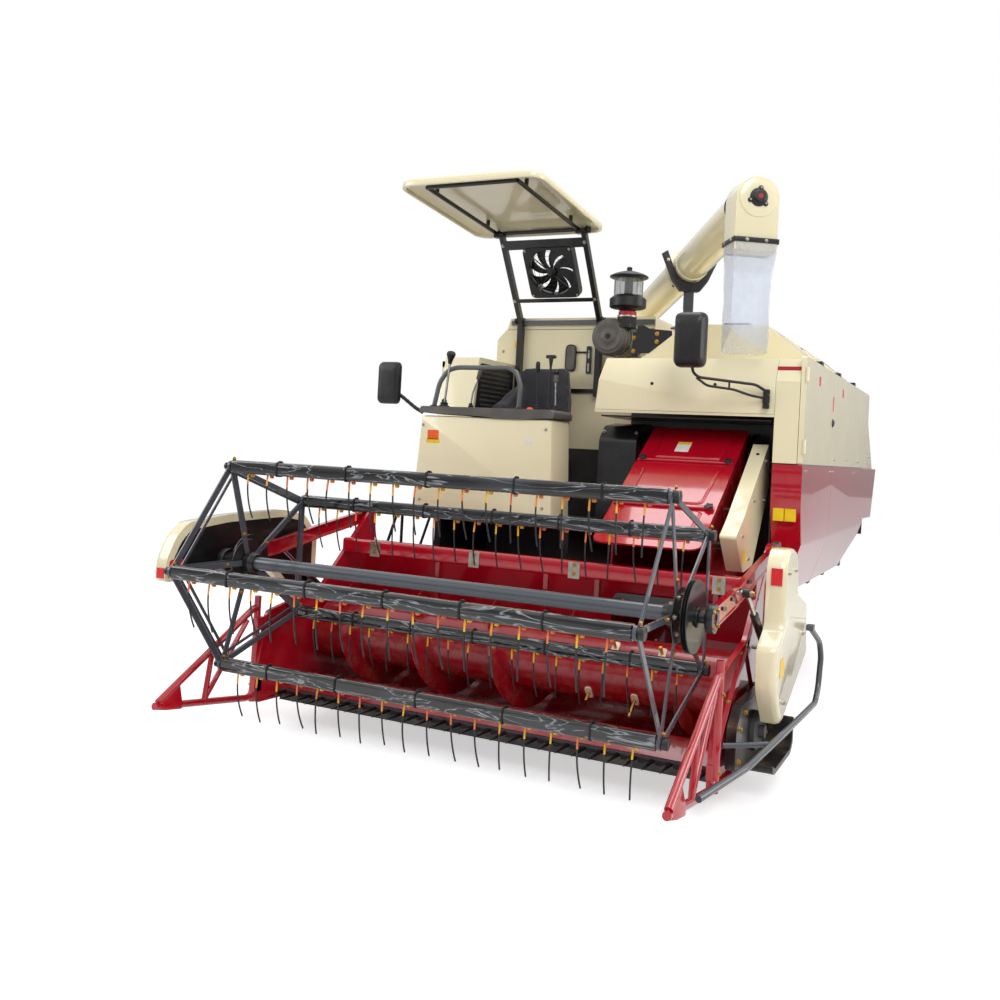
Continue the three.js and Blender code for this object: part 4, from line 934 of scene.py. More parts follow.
# ------------------------------------------------------------------ reel
@dataclass
class Reel:
    """The pick-up reel: shaft and end stars, the eccentric star, and the bats that it keeps level."""

    centre_y: float = -2.075
    centre_z: float = 0.83
    radius: float = 0.465
    bats: int = 5
    first_angle: float = -18.2
    star_x: float = 1.0295
    plate: float = 0.007
    bat_half: float = 1.010
    bat_depth: float = 0.046
    bat_height: float = 0.062
    ripple: float = 0.0010
    crank: float = 0.070
    eccentric_x: float = -1.084
    tines: int = 18
    tine_spacing: float = 0.1087
    tine_length: float = 0.200
    tine_radius: float = 0.0036
    tie_gap: float = 0.36
    film_steps: int = 110
    root_share: float = 0.24

    def place(self, number: float) -> Vector:
        """Where bat `number` sits, counted from 0, with x at 0."""
        angle = math.radians(self.first_angle + 360 / self.bats * number)
        return Vector((0, self.centre_y + self.radius * math.sin(angle),
                       self.centre_z + self.radius * math.cos(angle)))

    def star(self, work: Work, x: float, shift: Vector, finish: Finish, width: float) -> None:
        """A pentagon of flat bars with spokes to a hub.

        Args:
            work: the piece it joins.
            x: its middle plane.
            shift: how far its centre lies from the reel's.
            finish: its paint.
            width: of each bar.
        """
        offset = Vector((x, 0, 0)) + shift
        hub = Vector((0, self.centre_y, self.centre_z)) + offset
        outward = Vector((math.copysign(self.plate * 0.9, x), 0, 0))
        for i in range(self.bats):
            here, there = self.place(i) + offset, self.place(i + 1) + offset
            work.beam(hub, here, width, self.plate, finish, up=(1, 0, 0))
            work.beam(here + outward, there + outward, width, self.plate, finish, up=(1, 0, 0))
            work.hoop([(-self.plate, 0.014), (self.plate, 0.014), (self.plate, 0.026), (-self.plate, 0.026)],
                      here, (1, 0, 0), finish, 20)
            middle = hub.lerp(here, 0.3)
            work.bolts([(middle + Vector((self.plate * 0.6, 0, 0)), (1, 0, 0)),
                        (here + Vector((self.plate * 1.6, 0.0, 0.034)), (1, 0, 0))], 0.0065, Finish.GOLD_ZINC)

    def frame(self) -> None:
        """The turning frame: shaft, stars, hub plates and the drive pulley."""
        work = Work("reel_shaft_and_stars")
        hub = Vector((0, self.centre_y, self.centre_z))
        work.bar(hub + Vector((-self.star_x, 0, 0)), hub + Vector((self.star_x, 0, 0)), 0.03, Finish.REEL, 28)
        work.bar(hub + Vector((-1.14, 0, 0)), hub + Vector((1.14, 0, 0)), 0.0215, Finish.STEEL, 24)
        for side in (-1, 1):
            x = side * (self.star_x - self.plate)
            self.star(work, x, Vector(), Finish.REEL, 0.026)
            plate = [hub + Vector((x + side * d, 0, 0)) for d in (0.004, 0.010)]
            work.bar(plate[0], plate[1], 0.105, Finish.BLACK, 40)
            work.lathe([(0, 0.05), (0.03, 0.05), (0.034, 0.044), (0.05, 0.04)], hub + Vector((x, 0, 0)),
                       (-side, 0, 0), Finish.BLACK, 28)
            work.bolts([(plate[1] + Vector((0, 0.078 * math.cos(a), 0.078 * math.sin(a))), (side, 0, 0))
                        for a in (k * math.pi / 3 for k in range(6))], 0.008, Finish.ZINC)
        groove = [(0, 0.04), (0, 0.136), (0.003, 0.139), (0.008, 0.126), (0.0125, 0.138), (0.017, 0.126),
                  (0.022, 0.139), (0.025, 0.136), (0.025, 0.04)]
        work.hoop(groove, hub + Vector((1.07, 0, 0)), (1, 0, 0), Finish.BLACK, 48)
        for k in range(6):
            angle = k * math.pi / 3
            out = Vector((0, math.cos(angle), math.sin(angle)))
            work.beam(hub + Vector((1.082, 0, 0)) + out * 0.02, hub + Vector((1.082, 0, 0)) + out * 0.1, 0.02,
                      0.01, Finish.BLACK, up=(1, 0, 0))
        work.lathe([(0, 0.028), (0, 0.036), (0.045, 0.036), (0.048, 0.028)], hub + Vector((1.06, 0, 0)),
                   (1, 0, 0), Finish.BLACK, 28)
        work.done("reel", "blue_grey_paint", "reel_frame", edge=0.001)

    def eccentric(self) -> None:
        """The offset star with its twin link bars, turning on its fixed disc."""
        work = Work("eccentric_ring")
        shift = Vector((self.eccentric_x + 0.005, self.crank, 0))
        centre = Vector((0, self.centre_y, self.centre_z)) + shift
        work.hoop(ring_profile(0.005, 0.103, 0.122), centre, (1, 0, 0),
                  Finish.BLACK, 48)
        for i in range(self.bats):
            here, there = self.place(i) + shift, self.place(i + 1) + shift
            out = (here - centre).normalized()
            for drop in (0.0, 0.034):
                work.beam(here - out * drop, there - (there - centre).normalized() * drop, 0.013, 0.007,
                          Finish.REEL, up=(1, 0, 0))
            work.beam(centre + out * 0.115, here, 0.026, 0.006, Finish.REEL, up=(1, 0, 0))
            work.hoop(ring_profile(0.005, 0.011, 0.024), here, (1, 0, 0),
                      Finish.REEL, 20)
        work.done("eccentric", "blue_grey_paint", "eccentric_star", edge=0.001)

    def tine_row(self) -> tuple[bpy.types.Mesh, bpy.types.Mesh]:
        """One bat's tines about x = 0: their painted roots and their bare steel."""
        made = []
        for part, (start, end) in enumerate(((0.0, self.root_share), (self.root_share, 1.0))):
            pattern = Pattern("tine_row")
            count = pattern.size("Tines", self.tines)
            gap = pattern.size("Spacing", self.tine_spacing)
            length = pattern.size("Length", self.tine_length)
            radius = pattern.size("Wire radius", self.tine_radius)
            first = pattern.node("ShaderNodeCombineXYZ", inputs={"X": (count - 1) * gap * -0.5})
            step = pattern.node("ShaderNodeCombineXYZ", inputs={"X": gap})
            line = pattern.node("GeometryNodeMeshLine", {"mode": "OFFSET"}, {
                "Count": count, "Start Location": first, "Offset": step})

            def on_wire(one: float, two: float) -> bpy.types.Node:
                """A control point of the bent wire between two shares of its length; equal shares lie on it."""
                sweep = 0.29 * one * two - 0.11 * (one + two) / 2
                return pattern.node("ShaderNodeCombineXYZ", inputs={
                    "Y": length * sweep, "Z": length * (one + two) * -0.5})

            wire = pattern.node("GeometryNodeCurveQuadraticBezier", inputs={
                "Resolution": 7, "Start": on_wire(start, start), "Middle": on_wire(start, end),
                "End": on_wire(end, end)})
            round_wire = pattern.node("GeometryNodeCurvePrimitiveCircle", inputs={
                "Resolution": 7, "Radius": radius * (1.12 if part == 0 else 1.0)})
            rod = pattern.node("GeometryNodeCurveToMesh", inputs={
                "Curve": wire, "Profile Curve": round_wire, "Fill Caps": True})
            lean = pattern.node("FunctionNodeRandomValue", {"data_type": "FLOAT_VECTOR"}, {
                0: (-0.09, -0.05, -0.25), 1: (0.06, 0.05, 0.25), "Seed": 4})
            placed = pattern.node("GeometryNodeInstanceOnPoints", inputs={
                "Points": line, "Instance": rod, "Rotation": lean})
            made.append(pattern.grow(placed, Finish.TINE if part == 0 else Finish.STEEL))
        return made[0], made[1]

    def bat(self, number: int) -> None:
        """One bat: a film-wrapped tube with its ties, end clamps, crank and tines."""
        work = Work(f"reel_bat_{number + 1}")
        centre = self.place(number)
        section = oblong(self.bat_depth - 0.004, self.bat_height - 0.004, 0.012, 3)
        rings = []
        for i in range(self.film_steps + 1):
            x = -self.bat_half + 2 * self.bat_half * i / self.film_steps
            line = []
            for u, v in section:
                wave = noise.noise(Vector((x * 5 + number * 5, u * 30, v * 30))) \
                    + 0.3 * noise.noise(Vector((x * 17, u * 60 + number, v * 60)))
                line.append(centre + Vector((x, u * (1 + wave * self.ripple / 0.022),
                                             v * (1 + wave * self.ripple / 0.03))))
            rings.append(line)
        work.loft(rings, Finish.BAT)
        for k in range(-2, 3):
            x = k * self.tie_gap + 0.04 * math.sin(number * 2.1 + k)
            band = oblong(self.bat_depth + 0.0035, self.bat_height + 0.0035, 0.012, 3)
            work.sweep([centre + Vector((x, 0, 0)), centre + Vector((x + 0.007, 0, 0))], band, Finish.PLASTIC,
                       up=(0, 0, 1))
            work.box(centre + Vector((x - 0.002, -0.004, self.bat_height / 2 - 0.001)),
                     centre + Vector((x + 0.01, 0.01, self.bat_height / 2 + 0.006)), Finish.PLASTIC)
        work.bar(centre + Vector((-1.045, 0, 0)), centre + Vector((1.055, 0, 0)), 0.0122, Finish.STEEL, 16)
        work.lathe([(0, 0.0235), (0.018, 0.0235), (0.020, 0.019)], centre + Vector((1.0355, 0, 0)), (1, 0, 0),
                   Finish.BLACK, 20)
        pin = centre + Vector((-1.049, self.crank, 0))
        work.beam(centre + Vector((-1.049, 0, 0)), pin, 0.03, 0.008, Finish.BLACK, up=(1, 0, 0))
        for at in (centre + Vector((-1.049, 0, 0)), pin):
            work.bar(at + Vector((-0.005, 0, 0)), at + Vector((0.005, 0, 0)), 0.0165, Finish.BLACK, 20)
        work.bar(pin + Vector((-0.036, 0, 0)), pin, 0.0095, Finish.ZINC, 16)
        root, steel = self.tine_row()
        seat_at = Matrix.Translation(centre + Vector((0, 0, -self.bat_height / 2 + 0.004)))
        work.take(root, Finish.TINE, seat_at)
        work.take(steel, Finish.STEEL, seat_at)
        for k in range(self.tines):
            x = (k - (self.tines - 1) / 2) * self.tine_spacing
            work.hoop(ring_profile(0.006, 0.0042, 0.0085),
                      centre + Vector((x + 0.012, 0.012, -self.bat_height / 2 - 0.003)), (1, 0, 0),
                      Finish.TINE, 10)
        work.done(f"bat_{number + 1}", "bat_film", f"tine_bar_{number + 1}", edge=0)

    def build(self) -> None:
        """Builds every turning part of the reel."""
        self.frame()
        self.eccentric()
        for number in range(self.bats):
            self.bat(number)


@dataclass
class ReelArms:
    """The two arms that carry the reel, and the cylinders that lift them."""

    inner_x: float = 1.136
    width: float = 0.03
    pivot: tuple[float, float] = (-0.95, 1.0)
    knee: tuple[float, float] = (-1.39, 0.932)
    reel: tuple[float, float] = (-2.075, 0.83)
    low: tuple[float, float] = (-1.28, 0.60)
    high: tuple[float, float] = (-1.70, 0.887)
    lift_x: float = 1.19
    disc_x: float = -1.084
    disc_radius: float = 0.0995
    crank: float = 0.070

    def arm(self, side: int, work: Work) -> None:
        """A formed arm from its pivot to the reel's bearing, with slots in its outer face."""
        start = side * self.inner_x
        outline = rounded([(-0.93, 0.975), (-0.93, 1.035), (-1.38, 0.965), (-1.72, 0.905), (-2.06, 0.868),
                           (-2.115, 0.83), (-2.06, 0.795), (-1.72, 0.838), (-1.39, 0.90)], 0.03)
        web = side * (self.width - 0.012)
        work.prism(outline, "x", *sorted((start + web, start + web + side * 0.006)), Finish.RED)
        rim = [Vector((start + side * self.width / 2, y, z)) for y, z in outline]
        work.sweep(rim, rectangle(0.003, 0.014), Finish.RED, up=(1, 0, 0), joined=True)
        for k in range(4):
            at = 0.2 + 0.2 * k
            y = self.knee[0] + (self.reel[0] - self.knee[0]) * at
            z = self.knee[1] + (self.reel[1] - self.knee[1]) * at
            slot = [(y + u, z + v - u * 0.15) for u, v in oblong(0.06, 0.016, 0.008)]
            face = start + side * (self.width - 0.0045)
            work.prism(slot, "x", *sorted((face, face + side * 0.0035)), Finish.BLACK)
        for at, radius in ((self.pivot, 0.042), (self.reel, 0.052)):
            work.hoop([(0, 0.0235), (0, radius), (0.004, radius + 0.002), (self.width, radius + 0.002),
                       (self.width, 0.0235)], (start, *at), (side, 0, 0), Finish.BLACK, 36)
        work.bar((start - side * 0.0015, *self.pivot), (start + side * 0.03, *self.pivot), 0.024, Finish.STEEL)
        work.bolts([((start + side * (self.width - 0.001), self.reel[0] + 0.04 * math.cos(a),
                      self.reel[1] + 0.04 * math.sin(a)), (side, 0, 0)) for a in (0.8, 2.4, 4.0, 5.5)],
                   0.007, Finish.GOLD_ZINC)
        pin_x = side * (self.lift_x + 0.024)
        work.bar((start + side * 0.02, *self.high), (pin_x, *self.high), 0.0098, Finish.ZINC, 16)
        work.bolts([((pin_x - side * 0.003, *self.high), (side, 0, 0))], 0.009, Finish.GOLD_ZINC)

    def disc(self, work: Work) -> None:
        """The fixed disc that holds the eccentric star off centre."""
        y, z = self.reel
        x = -self.inner_x - 0.001
        work.hoop([(0, 0.0235), (0, 0.038), (0.048, 0.038), (0.048, 0.0235)], (x, y, z), (1, 0, 0),
                  Finish.BLACK, 28)
        work.hoop([(0, 0.075), (0, self.disc_radius), (0.009, self.disc_radius), (0.009, 0.075)],
                  (self.disc_x, y + self.crank, z), (1, 0, 0), Finish.BLACK, 40)
        work.beam((x + 0.02, y + 0.03, z), (x + 0.02, y + self.crank + 0.028, z), 0.048, 0.03, Finish.BLACK,
                  up=(1, 0, 0))
        work.lathe([(0, 0.04), (0.012, 0.04), (0.026, 0.076), (0.030, 0.076)],
                   (self.disc_x - 0.026, y + self.crank, z), (1, 0, 0), Finish.BLACK, 32)

    def cylinder(self, side: int, name: str) -> None:
        """One lift cylinder: a black barrel with its ports, and a chromed rod."""
        low, high = (Vector((side * self.lift_x, *at)) for at in (self.low, self.high))
        length = (high - low).length
        along = (high - low).normalized()
        barrel = Work(f"reel_lift_cylinder_{name}")
        barrel.lathe([(0.014, 0.0105), (0.016, 0.0185), (length * 0.58, 0.0185), (length * 0.585, 0.0165),
                      (length * 0.6, 0.0185), (length * 0.62, 0.0185), (length * 0.622, 0.0115)], low, along,
                     Finish.BLACK, 28)
        barrel.hoop(ring_profile(0.014, 0.0108, 0.0185), low, (1, 0, 0),
                    Finish.BLACK, 24)
        port = low + along * length * 0.1
        barrel.bar(port, port + Vector((side * 0.026, 0, 0)), 0.006, Finish.ZINC, 12)
        barrel.done(f"reel_barrel_{name}", "black_paint", f"reel_lift_{name}_barrel", edge=0.0006)
        rod = Work(f"reel_lift_rod_{name}")
        rod.lathe([(length * 0.3, 0.0098), (length - 0.016, 0.0098)], low, along, Finish.CHROME, 28)
        rod.hoop(ring_profile(0.014, 0.0145, 0.0185), high, (1, 0, 0),
                 Finish.BLACK, 24)
        rod.done(f"reel_rod_{name}", "rod_chrome", f"reel_lift_{name}_rod", edge=0.0006)

    def build(self) -> None:
        """Builds both arms and cylinders."""
        work = Work("reel_carrying_arms")
        for side in (-1, 1):
            self.arm(side, work)
        self.disc(work)
        work.done("reel_arms", "red_paint", "reel_arm_left", "reel_arm_right", edge=0.001)
        self.cylinder(1, "left")
        self.cylinder(-1, "right")


# ------------------------------------------------------------------ header
@dataclass
class Header:
    """The cutting table: trough, back sheet, beams, knife, side plates and crop dividers."""

    half: float = 1.11
    plate: float = 0.024
    knife_y: float = -1.70
    floor_z: float = 0.11
    back_y: float = -1.03
    top_z: float = 0.88
    auger_y: float = -1.33
    auger_z: float = 0.425
    trough: float = 0.267
    mouth_x: tuple[float, float] = (0.375, 0.835)
    mouth_z: tuple[float, float] = (0.24, 0.64)
    guard_pitch: float = 0.0762
    guard_length: float = 0.15

    def table(self) -> None:
        """Trough and back sheet with the feeder's mouth, the top beam and its ribs."""
        work = Work("header_table")
        edge = self.half - 0.0003
        inner = [Vector((-1.65, 0.131)), Vector((-1.62, 0.156))] \
            + arc((self.auger_y, self.auger_z), self.trough, 232, 338, 14) + [Vector((-1.037, 0.56))]
        outer = [Vector((-1.018, 0.56)), Vector((-1.018, 0.168))] + [Vector((-1.25, 0.128)), Vector((-1.65, 0.116))]
        for x0, x1 in ((-edge, self.mouth_x[0]), (self.mouth_x[1], edge)):
            work.prism(inner + outer, "x", x0, x1, Finish.DEEP_RED)
        low = [p for p in inner if p.y < self.mouth_z[0]]
        work.prism(low + [Vector((low[-1].x, self.mouth_z[0] - 0.002)), Vector((-1.25, 0.128)),
                          Vector((-1.65, 0.116))], "x", *self.mouth_x, Finish.DEEP_RED)
        bend = [(-1.037, 0.55), (-1.037, 0.80), (-1.06, 0.835), (-1.06, 0.87), (-1.018, 0.87), (-1.018, 0.55)]
        for x0, x1 in ((-edge, self.mouth_x[0]), (self.mouth_x[1], edge)):
            work.prism(bend, "x", x0, x1, Finish.RED)
        work.prism([(y, max(z, self.mouth_z[1])) for y, z in bend], "x", *self.mouth_x, Finish.RED)
        beam = oblong(0.078, 0.078, 0.014)
        work.sweep([Vector((-edge, -1.20, 0.85)), Vector((edge, -1.20, 0.85))], beam, Finish.RED, up=(0, 0, 1))
        work.box((-edge, self.knife_y, self.floor_z), (edge, self.knife_y + 0.06, self.floor_z + 0.0385),
                 Finish.BLACK)
        for x in (-0.9, -0.3, 0.25, 0.96):
            work.box((x - 0.006, -1.17, 0.83), (x + 0.006, -1.03, 0.872), Finish.RED)
            work.box((x - 0.03, -1.243, 0.806), (x + 0.03, -1.237, 0.886), Finish.ZINC)
            work.bolts([((x, -1.243, 0.87), (0, -1, 0)), ((x, -1.243, 0.83), (0, -1, 0))], 0.0075,
                       Finish.GOLD_ZINC)
        for x in (-0.62, 0.02, 0.30, 0.90):
            work.box((x - 0.012, -1.058, 0.20 if x < 0.3 else 0.66), (x + 0.012, -1.0385, 0.80), Finish.RED)
        shield = rounded([(0.37, 0.665), (0.86, 0.665), (0.90, 0.735), (0.40, 0.735)], 0.02)
        work.prism(shield, "y", -1.052, -1.046, Finish.REEL)
        work.bolts([((x, -1.053, 0.70), (0, -1, 0)) for x in (0.44, 0.56, 0.68, 0.80)], 0.007, Finish.GOLD_ZINC)
        for side in (-1, 1):
            x = 0.24 + side * 0.041
            work.box((x - 0.006, self.back_y, 0.46), (x + 0.006, -0.935, 0.54), Finish.RED)
        work.bar((0.195, -0.975, 0.50), (0.285, -0.975, 0.50), 0.017, Finish.ZINC, 20)
        work.done("header", "red_paint", "header_frame", edge=0.0015)

    def cutter(self) -> None:
        """The knife bar: forged guards in a row, hold-down strip and bolts."""
        work = Work("cutter_bar_and_guards")
        z = self.floor_z + 0.0405
        edge = self.half - 0.0004
        work.box((-edge, self.knife_y - 0.018, z), (edge, self.knife_y + 0.058, z + 0.0045), Finish.STEEL)
        work.box((-edge, self.knife_y - 0.004, z + 0.0045), (edge, self.knife_y + 0.022, z + 0.0125),
                 Finish.REEL)
        pattern = Pattern("knife_guards")
        count = pattern.size("Guards", int((2 * self.half - 0.04) / self.guard_pitch) + 1)
        gap = pattern.size("Pitch", self.guard_pitch)
        length = pattern.size("Length", self.guard_length - 0.012)
        first = pattern.node("ShaderNodeCombineXYZ", inputs={"X": (count - 1) * gap * -0.5})
        step = pattern.node("ShaderNodeCombineXYZ", inputs={"X": gap})
        line = pattern.node("GeometryNodeMeshLine", {"mode": "OFFSET"}, {
            "Count": count, "Start Location": first, "Offset": step})
        both = pattern.node("GeometryNodeJoinGeometry")
        for share, width, lift in ((1.0, 0.0125, 0.0), (0.56, 0.011, 0.004)):
            finger = pattern.node("GeometryNodeMeshCone", inputs={
                "Vertices": 6, "Side Segments": 3, "Radius Top": 0.0015, "Radius Bottom": width,
                "Depth": length * share})
            placed = pattern.node("GeometryNodeTransform", inputs={
                0: finger, "Translation": (0, 0, lift), "Rotation": (math.pi / 2, math.pi / 2, 0),
                "Scale": (0.5, 1, 1)})
            pattern.tree.links.new(placed.outputs[0], both.inputs[0])
        row = pattern.node("GeometryNodeInstanceOnPoints", inputs={"Points": line, "Instance": both})
        guards = pattern.grow(row, Finish.GUARD)
        work.take(guards, Finish.GUARD, Matrix.Translation((0, self.knife_y - 0.012, z + 0.0062)))
        blades = int((2 * self.half - 0.06) / self.guard_pitch)
        for k in range(blades):
            x = (k - (blades - 1) / 2) * self.guard_pitch
            work.prism([(x - 0.032, self.knife_y - 0.004), (x - 0.006, self.knife_y - 0.062),
                        (x + 0.006, self.knife_y - 0.062), (x + 0.032, self.knife_y - 0.004)], "z",
                       z + 0.0048, z + 0.0072, Finish.STEEL)
        work.bolts([((x * self.guard_pitch * 1.5, self.knife_y + 0.036, z + 0.0048), (0, 0, 1))
                    for x in range(-9, 10)], 0.0048, Finish.ZINC)
        work.done("header", "black_paint", "cutter_bar", edge=0)

    def side(self, side: int, name: str) -> None:
        """A side plate with its stiffening flanges, and the tubular crop divider in front of it."""
        work = Work(f"header_side_and_divider_{name}")
        inner = side * self.half
        thick = side * 0.008
        outline = rounded([(-1.88, 0.13), (-1.88, 0.25), (-1.82, 0.56), (-1.40, 0.64), (-1.01, 1.01),
                           (-0.94, 1.04), (-0.94, 0.90), (-0.97, 0.15), (-1.30, 0.11)], 0.03)
        work.prism(outline, "x", *sorted((inner, inner + thick)), Finish.RED)
        rim = [Vector((inner + side * 0.0115, y, z)) for y, z in outline]
        flange = rectangle(0.003, 0.0112)
        work.sweep(rim, flange, Finish.RED, up=(1, 0, 0), joined=True)
        face = inner + side * 0.02
        for (y0, z0), (y1, z1) in (((-1.86, 0.16), (-1.02, 0.92)), ((-1.35, 0.63), (-1.0, 0.2))):
            work.beam((inner + side * 0.012, y0, z0), (inner + side * 0.012, y1, z1), 0.045, 0.012, Finish.RED,
                      up=(1, 0, 0))
        spots = [(-1.80, 0.20), (-1.79, 0.33), (-1.76, 0.50), (-1.60, 0.42), (-1.45, 0.60), (-1.18, 0.80),
                 (-1.02, 0.60), (-1.02, 0.35), (-1.20, 0.19), (-1.5, 0.18)]
        work.bolts([((inner + thick, y, z), (side, 0, 0)) for y, z in spots], 0.009, Finish.GOLD_ZINC)
        work.bolts([((face - side * 0.001, -1.0, 0.96), (side, 0, 0))], 0.012, Finish.GOLD_ZINC)
        middle = inner + side * 0.03
        tip = Vector((middle, -2.485, 0.235))
        low, high = Vector((middle, -1.87, 0.148)), Vector((middle, -1.86, 0.60))
        work.tube(rounded([tip, low, high, tip + Vector((0, 0.02, 0.012))], 0.05, closed=False), 0.0165,
                  Finish.RED, 16)
        for start, end in (((middle, -2.19, 0.205), (middle, -2.15, 0.44)),
                           ((middle, -2.19, 0.205), (middle, -1.93, 0.53))):
            work.bar(start, end, 0.0125, Finish.RED, 14)
        work.bar((middle, -1.868, 0.13), (middle, -1.862, 0.64), 0.0165, Finish.RED, 16)
        width = 0.03
        nose = [(-2.483, 0.220, 0.246, 0.25), (-2.44, 0.212, 0.272, 0.75), (-2.37, 0.203, 0.318, 0.9),
                (-2.35, 0.201, 0.322, 0.9)]
        rings = []
        for y, z0, z1, share in nose:
            w = width * share
            rings.append([Vector((middle + u * w, y, z0 + (z1 - z0) * v))
                          for u, v in ((-1, 0.0), (1, 0.0), (1, 0.25), (0.2, 1), (-0.2, 1), (-1, 0.25))])
        work.loft(rings, Finish.RED)
        for z0, z1 in ((0.18, 0.24), (0.48, 0.54)):
            work.box((min(inner, middle), -1.89, z0), (max(inner, middle), -1.84, z1), Finish.RED)
            work.bolts([((inner + side * 0.045, -1.865, (z0 + z1) / 2), (side, 0, 0))], 0.008,
                       Finish.GOLD_ZINC)
        work.bar((side * 1.129, -1.28, 0.60), (side * 1.211, -1.28, 0.60), 0.0095, Finish.ZINC, 16)
        work.done("header", "red_paint", f"header_side_{name}", edge=0.0012)

    def covers(self) -> None:
        """The cream covers over the drives on both sides, with their reflectors and labels, and painted shade as a
        black sheet inside the right one.
        """
        left = Work("side_cover_left_shell")
        outline = rounded([(-1.577, 0.482), (-1.592, 0.653), (-1.463, 0.723), (-1.458, 0.984), (-1.399, 1.047),
                           (-1.241, 1.047), (-1.182, 0.984), (-1.162, 0.843), (-0.897, 0.763), (-0.853, 0.522),
                           (-1.42, 0.303)], 0.035)
        middle = Vector((sum(p.x for p in outline) / len(outline), sum(p.y for p in outline) / len(outline)))

        def slice_at(x: float, share: float) -> list[Vector]:
            """The outline drawn in towards its middle."""
            return [Vector((x, *(middle + (p - middle) * share))) for p in outline]
        left.loft([slice_at(1.2155, 1.0), slice_at(1.270, 1.0), slice_at(1.287, 0.985), slice_at(1.298, 0.945)],
                  Finish.CREAM)
        crease = [(-1.50, 0.66), (-1.36, 0.76), (-0.95, 0.70)]
        left.tube(rounded([(1.2975, y, z) for y, z in crease], 0.05, closed=False), 0.0022, Finish.CREAM, 8)
        left.box((1.2365, -1.4645, 0.90), (1.283, -1.4605, 0.972), Finish.REFLECT)
        left.prism(rounded([(-1.50, 0.52), (-1.42, 0.52), (-1.42, 0.60), (-1.50, 0.60)], 0.006), "x", 1.2985,
                   1.2993, Finish.YELLOW)
        left.bolts([((1.298, y, z), (1, 0, 0)) for y, z in ((-1.40, 0.95), (-1.25, 0.95), (-1.0, 0.64),
                                                           (-1.38, 0.40))], 0.008, Finish.ZINC)
        left.done("header", "cream_paint", "side_cover_left", edge=0.003)
        right = Work("side_cover_right_shell")
        outline = rounded([(-2.393, 0.747), (-2.383, 0.849), (-2.333, 0.948), (-2.261, 1.008), (-2.0, 1.035),
                           (-1.62, 1.045), (-1.441, 1.013), (-1.332, 0.899), (-1.332, 0.562), (-1.499, 0.562),
                           (-1.699, 0.747)], 0.03)
        middle = Vector((-1.75, 0.86))
        right.loft([slice_at(-1.2158, 1.0), slice_at(-1.262, 1.0), slice_at(-1.284, 0.985),
                    slice_at(-1.2985, 0.94)], Finish.CREAM)
        # Painted shade: a black sheet on the inside face of the right cover, within a cream rim, stands for the shade
        # in its hollow.
        inner = rounded([(-2.355, 0.78), (-2.345, 0.845), (-2.30, 0.925), (-2.245, 0.972), (-2.0, 0.998),
                         (-1.62, 1.008), (-1.46, 0.982), (-1.37, 0.885), (-1.37, 0.60), (-1.48, 0.60),
                         (-1.68, 0.78)], 0.03)
        right.prism(inner, "x", -1.2155, -1.2151, Finish.BLACK)
        right.prism(rounded([(-2.375, 0.765), (-2.305, 0.765), (-2.285, 0.845), (-2.365, 0.845)], 0.012), "x",
                    -1.2152, -1.2144, Finish.REFLECT)
        right.box((-1.262, -2.3945, 0.765), (-1.222, -2.386, 0.81), Finish.REFLECT)
        right.done("header", "cream_paint", "side_cover_right", edge=0.003)

    def guard_rail(self) -> None:
        """The bent tube outside the left side that parts the crop and guards the drive."""
        work = Work("crop_guard_tube")
        route = rounded([(1.194, -2.30, 0.246), (1.28, -1.94, 0.275), (1.321, -1.54, 0.30), (1.332, -1.10, 0.29),
                         (1.332, -0.76, 0.275), (1.332, -0.69, 0.33), (1.332, -0.641, 0.48), (1.330, -0.70, 0.56),
                         (1.317, -0.905, 0.653)], 0.03, closed=False)
        work.tube(route, 0.0138, Finish.REEL, 16)
        work.box((1.3005, -0.928, 0.642), (1.335, -0.882, 0.668), Finish.REEL)
        work.bar((1.138, -1.76, 0.285), (1.311, -1.642, 0.292), 0.0112, Finish.REEL, 14)
        work.done("header", "blue_grey_paint", "guard_bar", edge=0.001)

    def knife_drive(self) -> None:
        """The black knife drive with its flywheel, and the skid under it."""
        work = Work("knife_drive_and_skid")
        x0 = self.half + self.plate
        housing = rounded([(-1.698, 0.17), (-1.698, 0.34), (-1.60, 0.418), (-1.12, 0.418), (-1.102, 0.16),
                           (-1.16, 0.152), (-1.60, 0.152)], 0.03)
        work.prism(housing, "x", x0 + 0.0005, x0 + 0.043, Finish.BLACK)
        work.lathe([(0, 0.085), (0.02, 0.085), (0.024, 0.07), (0.026, 0.03), (0.05, 0.028), (0.05, 0.0)],
                   (x0 + 0.043, -1.38, 0.265), (1, 0, 0), Finish.CASTING, 36)
        skid = rounded([(-1.498, 0.135), (-1.46, 0.112), (-1.10, 0.112), (-1.052, 0.15), (-1.052, 0.268),
                        (-1.07, 0.268), (-1.08, 0.16), (-1.11, 0.135), (-1.45, 0.135), (-1.49, 0.16)], 0.02)
        work.prism(skid, "x", x0 + 0.021, 1.288, Finish.BLACK)
        work.bolts([((x0 + 0.0435, y, z), (1, 0, 0)) for y, z in ((-1.65, 0.20), (-1.65, 0.33), (-1.56, 0.38),
                                                                 (-1.2, 0.38), (-1.14, 0.2))], 0.009,
                   Finish.GOLD_ZINC)
        work.done("header", "black_paint", "knife_drive", edge=0.003)

